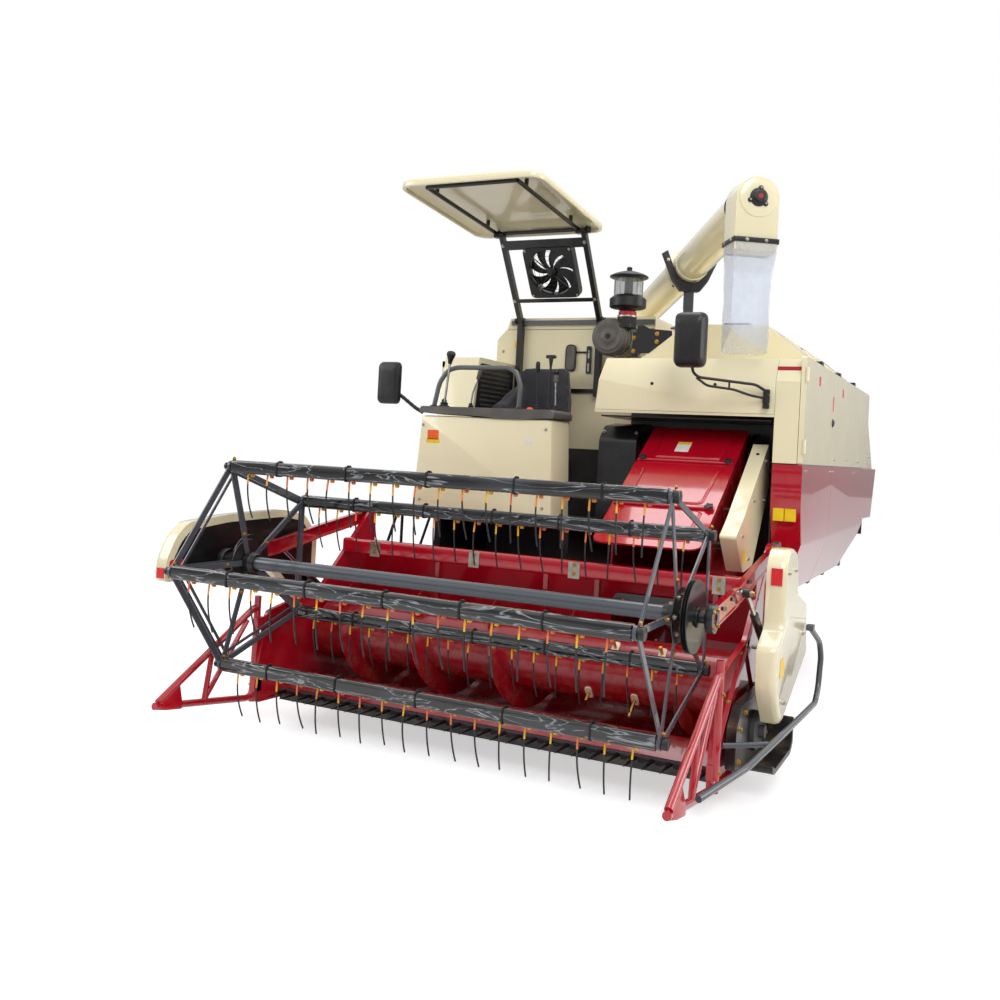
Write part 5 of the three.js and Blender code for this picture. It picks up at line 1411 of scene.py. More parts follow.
    def lift(self) -> None:
        """The cylinder that raises the header."""
        low, high = Vector((0.24, -0.50, 0.52)), Vector((0.24, -0.975, 0.50))
        along, length = (high - low).normalized(), (high - low).length
        barrel = Work("header_lift_cylinder")
        barrel.lathe([(0.024, 0.018), (0.03, 0.033), (length * 0.74, 0.033), (length * 0.75, 0.031),
                      (length * 0.76, 0.033), (length * 0.8, 0.033), (length * 0.803, 0.0195)], low, along,
                     Finish.BLACK, 32)
        barrel.hoop(ring_profile(0.026, 0.0182, 0.033), low, (1, 0, 0),
                    Finish.BLACK, 28)
        barrel.done("header_barrel", "black_paint", "header_lift_barrel", edge=0.001)
        rod = Work("header_lift_piston_rod")
        rod.lathe([(length * 0.25, 0.018), (length - 0.026, 0.018)], low, along, Finish.CHROME, 32)
        rod.hoop(ring_profile(0.026, 0.0255, 0.033), high, (1, 0, 0),
                 Finish.BLACK, 28)
        rod.done("header_rod", "rod_chrome", "header_lift_rod", edge=0.001)

    def build(self) -> None:
        """Builds the whole header but the reel and auger."""
        self.table()
        self.cutter()
        self.side(1, "left")
        self.side(-1, "right")
        self.covers()
        self.guard_rail()
        self.knife_drive()
        self.lift()


@dataclass
class TableAuger:
    """The drum with its two screws and the retracting fingers between them."""

    centre: tuple[float, float, float] = (0.0, -1.33, 0.425)
    half: float = 1.078
    drum: float = 0.15
    flight: float = 0.2445
    pitch: float = 0.42
    thickness: float = 0.006
    fingers_x: tuple[float, ...] = (0.44, 0.55, 0.66, 0.77)

    def ribbon(self, start: float, end: float, hand: int) -> bpy.types.Mesh:
        """One screw: a grid bent into a helix.

        Args:
            start: x at the drum's end.
            end: x where it stops.
            hand: 1 or -1, the way it winds.
        """
        pattern = Pattern("auger_flight")
        inner = pattern.size("Drum radius", self.drum - 0.004)
        outer = pattern.size("Screw radius", self.flight)
        pitch = pattern.size("Pitch", self.pitch)
        length = pattern.size("Length", abs(end - start))
        grid = pattern.node("GeometryNodeMeshGrid", inputs={
            "Size X": 1.0, "Size Y": 1.0, "Vertices X": int(abs(end - start) / self.pitch * 40), "Vertices Y": 3})
        split = pattern.node("ShaderNodeSeparateXYZ", inputs={0: pattern.node("GeometryNodeInputPosition")})
        along = (Wire(pattern.tree, split.outputs[0]) + 0.5) * length
        share = Wire(pattern.tree, split.outputs[1]) + 0.5
        radius = inner + share * (outer - inner)
        turn = along / pitch * (2 * math.pi * hand)
        target = pattern.node("ShaderNodeCombineXYZ", inputs={
            "X": along * math.copysign(1, end - start) + start, "Y": radius * turn.cosine(),
            "Z": radius * turn.sine()})
        bent = pattern.node("GeometryNodeSetPosition", inputs={0: grid, "Position": target})
        return pattern.grow(bent, Finish.DEEP_RED)

    def thicken(self, mesh: bpy.types.Mesh) -> bpy.types.Mesh:
        """Gives a flat ribbon two faces and closed edges."""
        shape = bmesh.new()
        shape.from_mesh(mesh)
        bmesh.ops.remove_doubles(shape, verts=shape.verts, dist=0.0001)
        bmesh.ops.recalc_face_normals(shape, faces=shape.faces)
        bmesh.ops.solidify(shape, geom=shape.faces[:], thickness=self.thickness)
        bmesh.ops.recalc_face_normals(shape, faces=shape.faces)
        shape.to_mesh(mesh)
        shape.free()
        return mesh

    def build(self) -> None:
        """Builds the auger."""
        work = Work("table_auger_screw")
        centre = Vector(self.centre)
        work.lathe([(-self.half, 0.03), (-self.half, self.drum), (self.half, self.drum), (self.half, 0.03)],
                   centre, (1, 0, 0), Finish.DEEP_RED, 48)
        work.bar(centre - Vector((self.half + 0.03, 0, 0)), centre + Vector((self.half + 0.03, 0, 0)), 0.0245,
                 Finish.STEEL, 20)
        place = Matrix.Translation(centre)
        for start, end, hand in ((-self.half + 0.012, 0.33, 1), (self.half - 0.012, 0.88, -1)):
            work.take(self.thicken(self.ribbon(start, end, hand)), Finish.DEEP_RED, place)
        for i, x in enumerate(self.fingers_x):
            for k in (0, 1):
                angle = math.radians(90 * i + 40 + 180 * k)
                out = Vector((0, math.cos(angle), math.sin(angle)))
                base = centre + Vector((x, 0, 0))
                reach = self.flight if k == 0 else self.flight - 0.045
                work.bar(base + out * (self.drum - 0.01), base + out * reach, 0.0075, Finish.GOLD_ZINC, 12)
                across = Vector((1, 0, 0))
                guide = [base + out * (self.drum + 0.004) + across * u + out.cross(across) * v
                         for u, v in oblong(0.034, 0.068, 0.016)]
                work.loft([[p - out * 0.008 for p in guide], guide], Finish.FINGER)
        work.done("table_auger", "red_paint", "header_auger", edge=0)


# ------------------------------------------------------------------ feeder
@dataclass
class Feeder:
    """The slanting crop elevator: its duct, lid and belt guard."""

    x0: float = 0.35
    x1: float = 0.86
    rear_y: float = -0.385
    rear_z: float = 1.566
    slope: float = 0.66
    front_y: float = -1.0157
    pivot: tuple[float, float] = (-0.33, 1.40)

    def slanted(self) -> Matrix:
        """Places (x, distance up the slope, height above it) in space, from the lid's rear edge."""
        angle = math.atan(self.slope)
        return Matrix.Translation((0, self.rear_y, self.rear_z)) @ Matrix.Rotation(angle, 4, "X")

    def duct(self) -> None:
        """The duct's walls, its pivot tube and stiffening ribs."""
        work = Work("feeder_duct")
        top = self.rear_z + self.slope * (self.front_y - self.rear_y)
        side = rounded([(self.front_y, 0.175), (self.front_y, top), (self.rear_y, self.rear_z), (-0.217, 1.448),
                        (-0.217, 1.182), (-0.90, 0.175)], 0.012)
        for x in (self.x0, self.x1 - 0.012):
            work.prism(side, "x", x, x + 0.012, Finish.DEEP_RED)
        lid = [(self.front_y, top - 0.012), (self.front_y, top), (self.rear_y, self.rear_z), (-0.217, 1.448),
               (-0.23, 1.436), (self.rear_y, self.rear_z - 0.014)]
        work.prism(lid, "x", self.x0, self.x1, Finish.DEEP_RED)
        work.prism([(-0.90, 0.175), (self.front_y, 0.175), (self.front_y, 0.19), (-0.905, 0.19),
                    (-0.232, 1.19), (-0.217, 1.182)], "x", self.x0, self.x1, Finish.DEEP_RED)
        for share in (0.2, 0.45, 0.7):
            y = self.front_y + (self.rear_y - self.front_y) * share
            z = top + (self.rear_z - top) * share
            for x in (self.x0 - 0.006, self.x1):
                work.beam((x + 0.003, y + 0.02, z - 0.03), (x + 0.003, y + 0.28, z - 0.40), 0.03, 0.006,
                          Finish.DEEP_RED, up=(1, 0, 0))
        y, z = self.pivot
        work.bar((self.x0 - 0.057, y, z), (self.x0, y, z), 0.0445, Finish.STEEL, 32)
        work.bar((self.x1, y, z), (1.036, y, z), 0.0445, Finish.STEEL, 32)
        work.hoop([(0, 0.045), (0, 0.16), (0.004, 0.163), (0.012, 0.15), (0.02, 0.163), (0.024, 0.16),
                   (0.024, 0.045)],
                  (0.885, y, z), (1, 0, 0), Finish.BLACK, 40)
        for boss_y, boss_z in ((-0.70, 1.16), (-0.90, 1.0)):
            work.bar((self.x1, boss_y, boss_z), (0.9195, boss_y, boss_z), 0.0195, Finish.BLACK, 20)
        work.done("header", "red_paint", "feeder_house", edge=0.0012)

    def lid(self) -> None:
        """The glossy lid: a pressed panel, two clamp bars with knobs, labels and slotted flanges."""
        work = Work("feeder_lid")
        turn = self.slanted()
        length = (-1.27 - self.rear_y) * math.sqrt(1 + self.slope ** 2)
        x0, x1 = self.x0 - 0.009, self.x1 + 0.009
        outline = rounded([(x0, 0.0), (x1, 0.0), (x1, length + 0.03), (x1 - 0.04, length + 0.01),
                           (x0 + 0.04, length + 0.01), (x0, length + 0.03)], 0.02)
        work.prism(outline, "z", 0.004, 0.014, Finish.RED, turn=turn)
        for y0, y1, inset in ((-0.03, -0.30, 0.07), (-0.36, -0.70, 0.06), (-0.76, -1.0, 0.06)):
            press = rounded([(x0 + inset, y0), (x1 - inset, y0), (x1 - inset - 0.02, y1),
                             (x0 + inset + 0.02, y1)], 0.03)
            middle = Vector(((x0 + x1) / 2, (y0 + y1) / 2))
            rings = []
            for share, lift in ((1.03, 0.013), (1.0, 0.0175), (0.955, 0.0205), (0.93, 0.0205)):
                rings.append([Vector((*(middle + (p - middle) * share), lift)) for p in press])
            work.loft(rings, Finish.RED, turn=turn)
        for y in (-0.33, -0.73):
            section = oblong(0.024, 0.014, 0.006)
            route = [turn @ Vector((x, y, 0.02)) for x in (x0 + 0.01, x1 - 0.01)]
            work.sweep(route, section, Finish.RED, up=turn.to_3x3() @ Vector((0, 0, 1)))
            for x in (x0 + 0.035, x1 - 0.035):
                at = turn @ Vector((x, y, 0.024))
                out = turn.to_3x3() @ Vector((0, 0, 1))
                work.lathe([(0, 0.008), (0.004, 0.008), (0.005, 0.017), (0.011, 0.017), (0.012, 0.012)], at, out,
                           Finish.PLASTIC, 24)
                first, second = square_to(out)
                for k in range(5):
                    angle = 2 * math.pi * k / 5
                    spoke = at + (first * math.cos(angle) + second * math.sin(angle)) * 0.016
                    work.lathe([(0.004, 0.0), (0.0045, 0.007), (0.0115, 0.007), (0.012, 0.0)], spoke, out,
                               Finish.PLASTIC, 12)
        for x in (x0, x1 - 0.004):
            work.box((x, length + 0.04, -0.022), (x + 0.004, 0, 0.006), Finish.RED, turn)
            for k in range(14):
                y = -0.06 - k * 0.075
                outer = x - 0.0006 if x < 0.5 else x + 0.0041
                work.box((outer, y - 0.024, -0.012), (outer + 0.0008, y, -0.006), Finish.BLACK, turn)
        for x, y, w, h in ((0.56, -0.20, 0.075, 0.095), (0.60, -0.62, 0.06, 0.05)):
            work.prism(oblong_at(x, y, w, h, 0.004), "z", 0.0206, 0.0212, Finish.WHITE, turn=turn)
            work.prism(oblong_at(x, y + h * 0.36, w, h * 0.24, 0.003), "z", 0.0212, 0.0216, Finish.YELLOW,
                       turn=turn)
        work.done("header", "red_paint", "feeder_cover", edge=0.0012)

    def guard(self) -> None:
        """The cream belt guard beside the duct."""
        work = Work("feeder_belt_guard")
        outline = rounded([(-0.50, 1.513), (-1.01, 1.13), (-1.128, 1.06), (-0.96, 0.882), (-0.76, 0.902),
                           (-0.452, 1.29)], 0.02)
        work.prism(outline, "x", 0.9203, 0.9995, Finish.CREAM)
        work.prism(rounded([(-0.98, 0.93), (-0.92, 0.93), (-0.92, 0.99), (-0.98, 0.99)], 0.005), "x", 0.9995,
                   1.0, Finish.YELLOW)
        turn = Matrix.Translation((0, -0.50, 1.513)) @ Matrix.Rotation(math.atan2(-0.383, -0.51) + math.pi, 4, "X")
        work.lathe([(-0.001, 0.009), (0.0015, 0.009), (0.0016, 0.005)], turn @ Vector((0.96, -0.10, 0)),
                   turn.to_3x3() @ Vector((0, 0, 1)), Finish.PLASTIC, 20)
        work.bolts([((1.0, y, z), (1, 0, 0)) for y, z in ((-0.56, 1.42), (-0.80, 1.22), (-1.0, 1.06),
                                                         (-0.86, 0.94), (-0.56, 1.22))], 0.007, Finish.ZINC)
        work.done("header", "cream_paint", "feeder_guard", edge=0.004)

    def build(self) -> None:
        """Builds the feeder."""
        self.duct()
        self.lid()
        self.guard()


def oblong_at(u: float, v: float, width: float, height: float, corner: float) -> list[Vector]:
    """A rounded rectangle about a point."""
    return [p + Vector((u, v)) for p in oblong(width, height, corner)]


# ------------------------------------------------------------------ body
@dataclass
class Body:
    """The threshing body's painted skins."""

    outer_x: float = 1.2
    inner_x: float = 0.1
    front_y: float = -0.66
    case_y: float = -0.12
    rear_y: float = 1.93
    seam_z: float = 1.41
    top_z: float = 1.945
    fold_z: float = 1.01
    lean: float = 0.3455
    split_y: float = 0.30
    skin: float = 0.026
    gap: float = 0.003

    def side_place(self, y: float, z: float) -> Vector:
        """The lower side skin: upright above the fold, leaning inwards below it."""
        return Vector((self.outer_x - max(0.0, self.fold_z - z) * self.lean, y, z))

    def lower(self) -> None:
        """The crimson lower skins with their fold, seams and lashing eyes."""
        work = Work("side_skin_crimson")
        top = self.seam_z - self.gap
        depth = (-self.skin, 0, 0)
        front = rounded([(-0.6528, top), (-0.65, 1.2), (-0.50, 0.735), (self.split_y - 0.002, 0.7325),
                         (self.split_y - 0.002, top)], 0.012)
        rear = rounded([(self.split_y + 0.002, top), (self.split_y + 0.002, 0.7325), (1.43, 0.73), (1.85, 0.93),
                        (1.858, 1.044), (2.382, 1.036), (2.597, 1.396), (2.597, top)], 0.012)
        folds = [((0, self.fold_z + shift), (0, 1)) for shift in (-0.012, 0.0)]
        for outline in (front, rear):
            work.sheet(outline, folds, self.side_place, depth, Finish.RED)
        for y in (-0.55, 0.25, 0.36, 1.3):
            work.bolts([((self.outer_x, y, top - 0.03), (1, 0, 0))], 0.006, Finish.ZINC)
        wing = [(1.051, top), (1.051, 0.80), (1.112, 0.762), (1.1985, 1.012), (1.1985, top)]

        def wing_place(x: float, z: float) -> Vector:
            """The front of the wing, upright and then sloping back with the side's edge."""
            return Vector((x, -0.6535 + max(0.0, 1.2 - z) * 0.336, z))
        work.sheet(wing, [((0, 1.2), (0, 1))], wing_place, (0, 0.018, 0), Finish.RED)
        for k in range(2):
            x = 1.093 + k * 0.058
            work.box((x - 0.027, -0.6545, 1.2 - 0.075), (x + 0.027, -0.6395, 1.2 - 0.012), Finish.YELLOW)
        work.done("machine", "red_paint", "side_panel_lower", edge=0.002)

    def upper(self) -> None:
        """The mirror-bright cream skins above the seam, with the hinged one at the front."""
        work = Work("side_skin_cream_rear")
        outline = rounded([(self.split_y + 0.003, self.seam_z + self.gap), (1.974, self.seam_z + self.gap),
                           (1.974, 1.93), (1.94, 1.949), (self.split_y + 0.003, 1.949)], 0.012)
        work.sheet(outline, [], lambda y, z: Vector((self.outer_x, y, z)), (-self.skin, 0, 0), Finish.CREAM)
        work.prism(oblong_at(0.62, 1.86, 0.05, 0.05, 0.004), "x", self.outer_x, self.outer_x + 0.0006,
                   Finish.REFLECT)
        work.bolts([((self.outer_x, y, 1.45), (1, 0, 0)) for y in (0.36, 0.9, 1.45, 1.92)], 0.006, Finish.ZINC)
        work.done("machine", "cream_paint", "side_panel_upper", edge=0.002)
        door = Work("side_door_skin")
        outline = rounded([(self.front_y + 0.001, self.seam_z + self.gap),
                           (self.split_y - 0.003, self.seam_z + self.gap),
                           (self.split_y - 0.003, 1.949), (self.front_y + 0.001, 1.949)], 0.012)
        door.sheet(outline, [], lambda y, z: Vector((self.outer_x, y, z)), (-self.skin, 0, 0), Finish.CREAM)
        for z in (1.50, 1.86):
            door.bar((1.205, -0.665, z - 0.035), (1.205, -0.665, z + 0.035), 0.0085, Finish.CREAM, 16)
            door.box((1.2, -0.664, z - 0.03), (1.2035, -0.60, z + 0.03), Finish.CREAM)
        latch = Vector((self.outer_x, self.split_y - 0.05, 1.66))
        door.lathe([(0, 0.024), (0.003, 0.024), (0.0055, 0.019), (0.009, 0.012)], latch, (1, 0, 0),
                   Finish.PLASTIC, 28)
        door.box(latch + Vector((0.006, -0.003, -0.010)), latch + Vector((0.0125, 0.003, 0.010)), Finish.ZINC)
        for y, z, w, h in ((-0.25, 1.86, 0.05, 0.05), (self.split_y - 0.05, 1.77, 0.035, 0.085)):
            door.prism(oblong_at(y, z, w, h, 0.004), "x", self.outer_x, self.outer_x + 0.0006, Finish.REFLECT)
        door.done("side_door", "cream_paint", "side_door", edge=0.002)

    def hood(self) -> None:
        """The creased hood over the throat, the corner post beside it, and black sheets of painted shade behind and
        above the throat.
        """
        work = Work("throat_hood")
        bottom = 1.655

        def front(x: float, s: float) -> Vector:
            """Up the front, back along the crease, and over the top; s is the distance along it."""
            if s < 0.165:
                return Vector((x, self.front_y, bottom + s))
            if s < 0.30:
                share = (s - 0.165) / 0.135
                return Vector((x, self.front_y + 0.06 * share, 1.82 + 0.12 * share))
            return Vector((x, self.front_y + 0.06 + (s - 0.30), 1.94))
        outline = [(0.082, 0.0), (1.0497, 0.0), (1.0497, 0.779), (0.115, 0.779), (0.115, 0.31), (0.098, 0.165)]
        work.sheet(outline, [((0, 0.165), (0, 1)), ((0, 0.30), (0, 1))], front, (0, 0.003, -0.014), Finish.CREAM)
        work.box((0.083, self.front_y, bottom - 0.006), (1.0497, self.front_y + 0.03, bottom + 0.003), Finish.CREAM)
        for x, z in ((0.40, 1.80), (0.74, 1.80)):
            work.bolts([((x, self.front_y, z), (0, -1, 0))], 0.006, Finish.PLASTIC)
        work.done("machine", "cream_paint", "front_hood", edge=0.002)
        post = Work("front_corner_post")
        post.box((1.0505, self.front_y, self.seam_z + self.gap), (1.1715, self.front_y + 0.028, 1.82), Finish.CREAM)
        post.prism([(self.front_y, 1.82), (self.front_y + 0.028, 1.82), (self.front_y + 0.088, 1.932),
                    (self.front_y + 0.06, 1.94)], "x", 1.0505, 1.1715, Finish.CREAM)
        post.prism([(self.front_y + 0.06, 1.94), (self.front_y + 0.088, 1.926), (self.case_y, 1.926),
                    (self.case_y, 1.94)], "x", 1.0505, 1.1715, Finish.CREAM)
        post.done("machine", "cream_paint", edge=0.002)
        throat = Work("throat_painted_shade")
        # Painted shade: black sheets on the back wall, the side and the ceiling of the throat, where it lies in
        # shade; the hose is real.
        throat.box((0.11, -0.136, 0.80), (1.049, -0.124, 1.90), Finish.BLACK)
        throat.box((1.038, -0.60, 0.86), (1.047, -0.137, 1.90), Finish.BLACK)
        throat.box((0.105, -0.62, 1.62), (1.03, -0.137, 1.628), Finish.BLACK)
        throat.tube(rounded([(0.20, -0.16, 1.60), (0.20, -0.22, 1.45), (0.26, -0.2, 1.2), (0.22, -0.16, 0.95)],
                            0.06, closed=False), 0.012, Finish.RUBBER, 12)
        throat.done("machine", "black_paint", edge=0.001)

    def cover(self) -> None:
        """The ridged lid over the threshing drum."""
        work = Work("ridged_drum_cover")
        outline = [(self.inner_x, 1.9055), (1.1715, 1.9055), (1.1715, 1.945), (0.88, 2.18), (0.44, 2.19),
                   (self.inner_x, 1.965)]
        work.prism(rounded(outline, 0.012), "y", self.case_y, 1.88, Finish.CREAM)
        for y in (0.42, 1.15):
            work.sweep([Vector((x, y, z)) for x, z in ((0.12, 1.98), (0.44, 2.1905), (0.88, 2.1805), (1.16, 1.957))],
                       oblong(0.03, 0.008, 0.003), Finish.CREAM, up=(0, 0, 1))
        for y in (0.1, 0.8, 1.5):
            work.box((1.10, y - 0.03, 1.966), (1.155, y + 0.03, 2.0), Finish.BLACK)
            work.bolts([((0.2, y, 2.04), (-0.55, 0, 0.83)), ((1.03, y, 2.07), (0.63, 0, 0.78))], 0.007,
                       Finish.ZINC)
        grip = rounded([(0.60, -0.02, 2.186), (0.60, -0.02, 2.215), (0.76, -0.02, 2.215), (0.76, -0.02, 2.183)],
                       0.02, closed=False)
        work.tube([p - Vector((0, 0, 0.012)) for p in grip], 0.006, Finish.BLACK, 12)
        work.prism([(0.112, 2.185), (0.15, 2.187), (0.19, 2.165), (0.325, 2.152), (0.328, 2.126), (0.19, 2.02),
                    (0.112, 2.02)], "y", -0.1240, -0.1195, Finish.BLACK)
        work.bolts([((0.236, -0.1238, z), (0, -1, 0)) for z in (2.088, 2.135)], 0.009, Finish.GOLD_ZINC)
        work.done("machine", "cream_paint", "top_cover", edge=0.003)

    def rear(self) -> None:
        """The hood over the straw outlet, with its flap, lamps and bracket."""
        work = Work("straw_outlet_hood")
        x0, x1 = 0.12, 1.1715
        outer = rounded([(self.rear_y, 1.25), (self.rear_y, 1.915), (2.085, 1.885), (2.596, 1.41),
                         (2.596, 1.395), (2.385, 1.06)], 0.02)
        for x in (x0, x1 - 0.012):
            work.prism(outer, "x", x, x + 0.012, Finish.CREAM)
        skin = rounded([(self.rear_y, 1.915), (2.085, 1.885), (2.595, 1.405), (2.385, 1.062)], 0.03, closed=False)
        inner = [p - Vector((0.013, 0.012)) for p in skin]
        work.prism(list(skin) + list(reversed(inner)), "x", x0 + 0.0125, x1 - 0.0125, Finish.CREAM)
        work.prism([(2.37, 1.06), (2.385, 1.06), (2.372, 0.90), (2.364, 0.90)], "x", x0 + 0.03, x1 - 0.03,
                   Finish.RUBBER)
        for x in (0.22, 1.07):
            along = Vector((0, 0.51, -0.475)).normalized()
            out = Vector((0, 0.68, 0.73))
            centre = Vector((x, 2.33, 1.655))
            base = [centre + Vector((u, 0, 0)) + along * v for u, v in oblong(0.09, 0.15, 0.015)]
            work.loft([[p - out * 0.004 for p in base], [p + out * 0.018 for p in base]], Finish.BLACK)
            lens = [centre + Vector((u, 0, 0)) + along * v + out * 0.0185 for u, v in oblong(0.075, 0.13, 0.012)]
            work.loft([lens, [p + out * 0.006 for p in lens]], Finish.REFLECT)
        work.bolts([((x1, y, z), (1, 0, 0)) for y, z in ((2.0, 1.80), (2.0, 1.45), (2.35, 1.5), (2.3, 1.2))],
                   0.007, Finish.ZINC)
        work.done("machine", "cream_paint", "rear_hood", edge=0.003)

    def build(self) -> None:
        """Builds the body's skins and repaints the case behind them."""
        self.lower()
        self.upper()
        self.hood()
        self.cover()
        self.rear()
        repaint("threshing_case", Finish.RED)


@dataclass
class Tank:
    """The grain tank, with its hatch, windows and the riser of the unloading auger behind it."""

    x0: float = -1.057
    x1: float = 0.07
    y0: float = 0.335
    y1: float = 1.64
    top: float = 2.23
    chamfer: float = 0.07

    def shell(self) -> None:
        """The folded tank with its stiffeners, hatch, louvre, labels and lid."""
        work = Work("grain_tank_shell")
        outline = rounded([(self.x0, 1.42), (self.x0, self.top - self.chamfer), (self.x0 + self.chamfer, self.top),
                           (self.x1, self.top), (self.x1, 1.05), (-0.42, 1.05)], 0.015)
        work.prism(outline, "y", self.y0, self.y1, Finish.CREAM)
        work.box((-0.36, 0.535, 0.7403), (0.05, 1.39, 1.05), Finish.BLACK)
        raised = rounded([(self.x0 + 0.071, self.top - 0.004), (self.x0 + 0.095, self.top + 0.074),
                          (self.x1, self.top + 0.074), (self.x1, self.top - 0.004)], 0.012)
        work.prism(raised, "y", self.y0, 0.898, Finish.CREAM)
        front = self.y0 - 0.0005
        work.box((self.x0 + 0.11, front - 0.02, self.top + 0.026), (self.x1, front, self.top + 0.056), Finish.RAIL)
        for spot, tone in (((-0.90, 2.125), Finish.YELLOW), ((-0.90, 2.080), Finish.WHITE)):
            work.prism(oblong_at(spot[0], spot[1], 0.05, 0.040, 0.004), "y", front - 0.0008, front, tone)
        work.box((-0.50, front - 0.016, 1.808), (-0.318, front, 1.834), Finish.BLACK)
        work.prism(oblong_at(-0.500, 2.038, 0.074, 0.176, 0.036), "y", front - 0.019, front - 0.003, Finish.PLASTIC)
        work.prism(oblong_at(-0.500, 2.038, 0.058, 0.160, 0.028), "y", front - 0.0195, front - 0.019, Finish.CAP)
        work.bar((-0.47, front - 0.010, 2.075), (-0.37, front - 0.010, 2.075), 0.006, Finish.BLACK, 12)
        work.prism(oblong_at(-0.373, 2.025, 0.032, 0.18, 0.008), "y", front - 0.014, front, Finish.BLACK)
        for z in (1.975, 2.06):
            work.prism(oblong_at(-0.373, z, 0.011, 0.055, 0.005), "y", front - 0.0146, front - 0.014, Finish.ZINC)
        louvre = oblong_at(-0.205, 1.921, 0.086, 0.080, 0.010)
        work.prism(louvre, "y", front - 0.004, front, Finish.PLASTIC)
        for u in (-0.026, 0.026):
            for v in (-0.026, 0.026):
                work.hoop([(0, 0.004), (0, 0.016), (0.001, 0.016), (0.001, 0.004)],
                          (u * 0.75 - 0.205, front - 0.004, 1.921 + v * 0.7), (0, -1, 0), Finish.WHITE, 20)
        for y in (0.62, 1.0, 1.38):
            rib = rounded([(self.x0 - 0.0005, y, 1.46), (self.x0 - 0.0005, y, 2.14),
                           (self.x0 + self.chamfer, y, self.top + 0.0005), (self.x1 - 0.02, y, self.top + 0.0005)],
                          0.03, closed=False)
            work.sweep(rib, oblong(0.04, 0.012, 0.005), Finish.CREAM, up=(0, 1, 0))
        for z in (1.62, 1.80, 1.98):
            work.prism(oblong_at(0.82, z, 0.10, 0.05, 0.02), "x", self.x0 - 0.003, self.x0, Finish.PLASTIC)
            work.prism(oblong_at(0.82, z, 0.08, 0.034, 0.015), "x", self.x0 - 0.004, self.x0 - 0.003,
                       Finish.BOWL)
        lid = oblong_at(-0.50, 1.18, 0.62, 0.42, 0.04)
        work.prism(lid, "z", self.top, self.top + 0.02, Finish.CREAM)
        grip = rounded([(-0.58, 1.02, self.top + 0.01), (-0.58, 1.02, self.top + 0.05),
                        (-0.42, 1.02, self.top + 0.05), (-0.42, 1.02, self.top + 0.01)], 0.02, closed=False)
        work.tube(grip, 0.006, Finish.BLACK, 12)
        edge_bolts = [((x, front, z), (0, -1, 0)) for x, z in ((-1.01, 1.50), (-1.01, 1.80), (-1.01, 2.08),
                                                               (0.045, 1.1),
                                                            (0.045, 1.45), (0.045, 1.75), (-0.45, 1.10))]
        work.bolts(edge_bolts, 0.007, Finish.ZINC)
        work.done("machine", "cream_paint", "grain_tank", edge=0.003)

    def riser(self) -> None:
        """The upright auger tube, its gearbox and the ball that the long tube tilts on."""
        work = Work("auger_riser_tube")
        x, y, top = -0.85, 1.95, 2.30
        work.lathe([(0.86, 0.13), (0.98, 0.13), (0.985, 0.10), (1.40, 0.10), (1.402, 0.125), (1.416, 0.125),
                    (1.418, 0.10), (2.10, 0.10), (2.102, 0.122), (2.12, 0.122), (2.122, 0.10), (2.24, 0.10)],
                   (x, y, 0), (0, 0, 1), Finish.CREAM, 40)
        work.ball((x, y, top), 0.118, Finish.CREAM, 32)
        across = Vector((2.65, 1.745, 0)).normalized()
        work.bar(Vector((x, y, top)) - across * 0.149, Vector((x, y, top)) + across * 0.149, 0.0198,
                 Finish.STEEL, 20)
        work.box((x - 0.06, self.y1 + 0.0005, 1.90), (x + 0.06, y, 2.0), Finish.CREAM)
        work.box((x - 0.055, 1.8605, 0.7405), (x + 0.055, y, 0.90), Finish.BLACK)
        work.bolts([((x + 0.113 * math.cos(a), y + 0.113 * math.sin(a), 1.416), (0, 0, 1))
                    for a in (k * math.pi / 4 for k in range(8))], 0.006, Finish.ZINC)
        work.done("machine", "cream_paint", "auger_riser", edge=0.002)

    def build(self) -> None:
        """Builds the tank and its neighbours."""
        self.shell()
        self.riser()
        repaint("fuel_tank", Finish.SATIN)


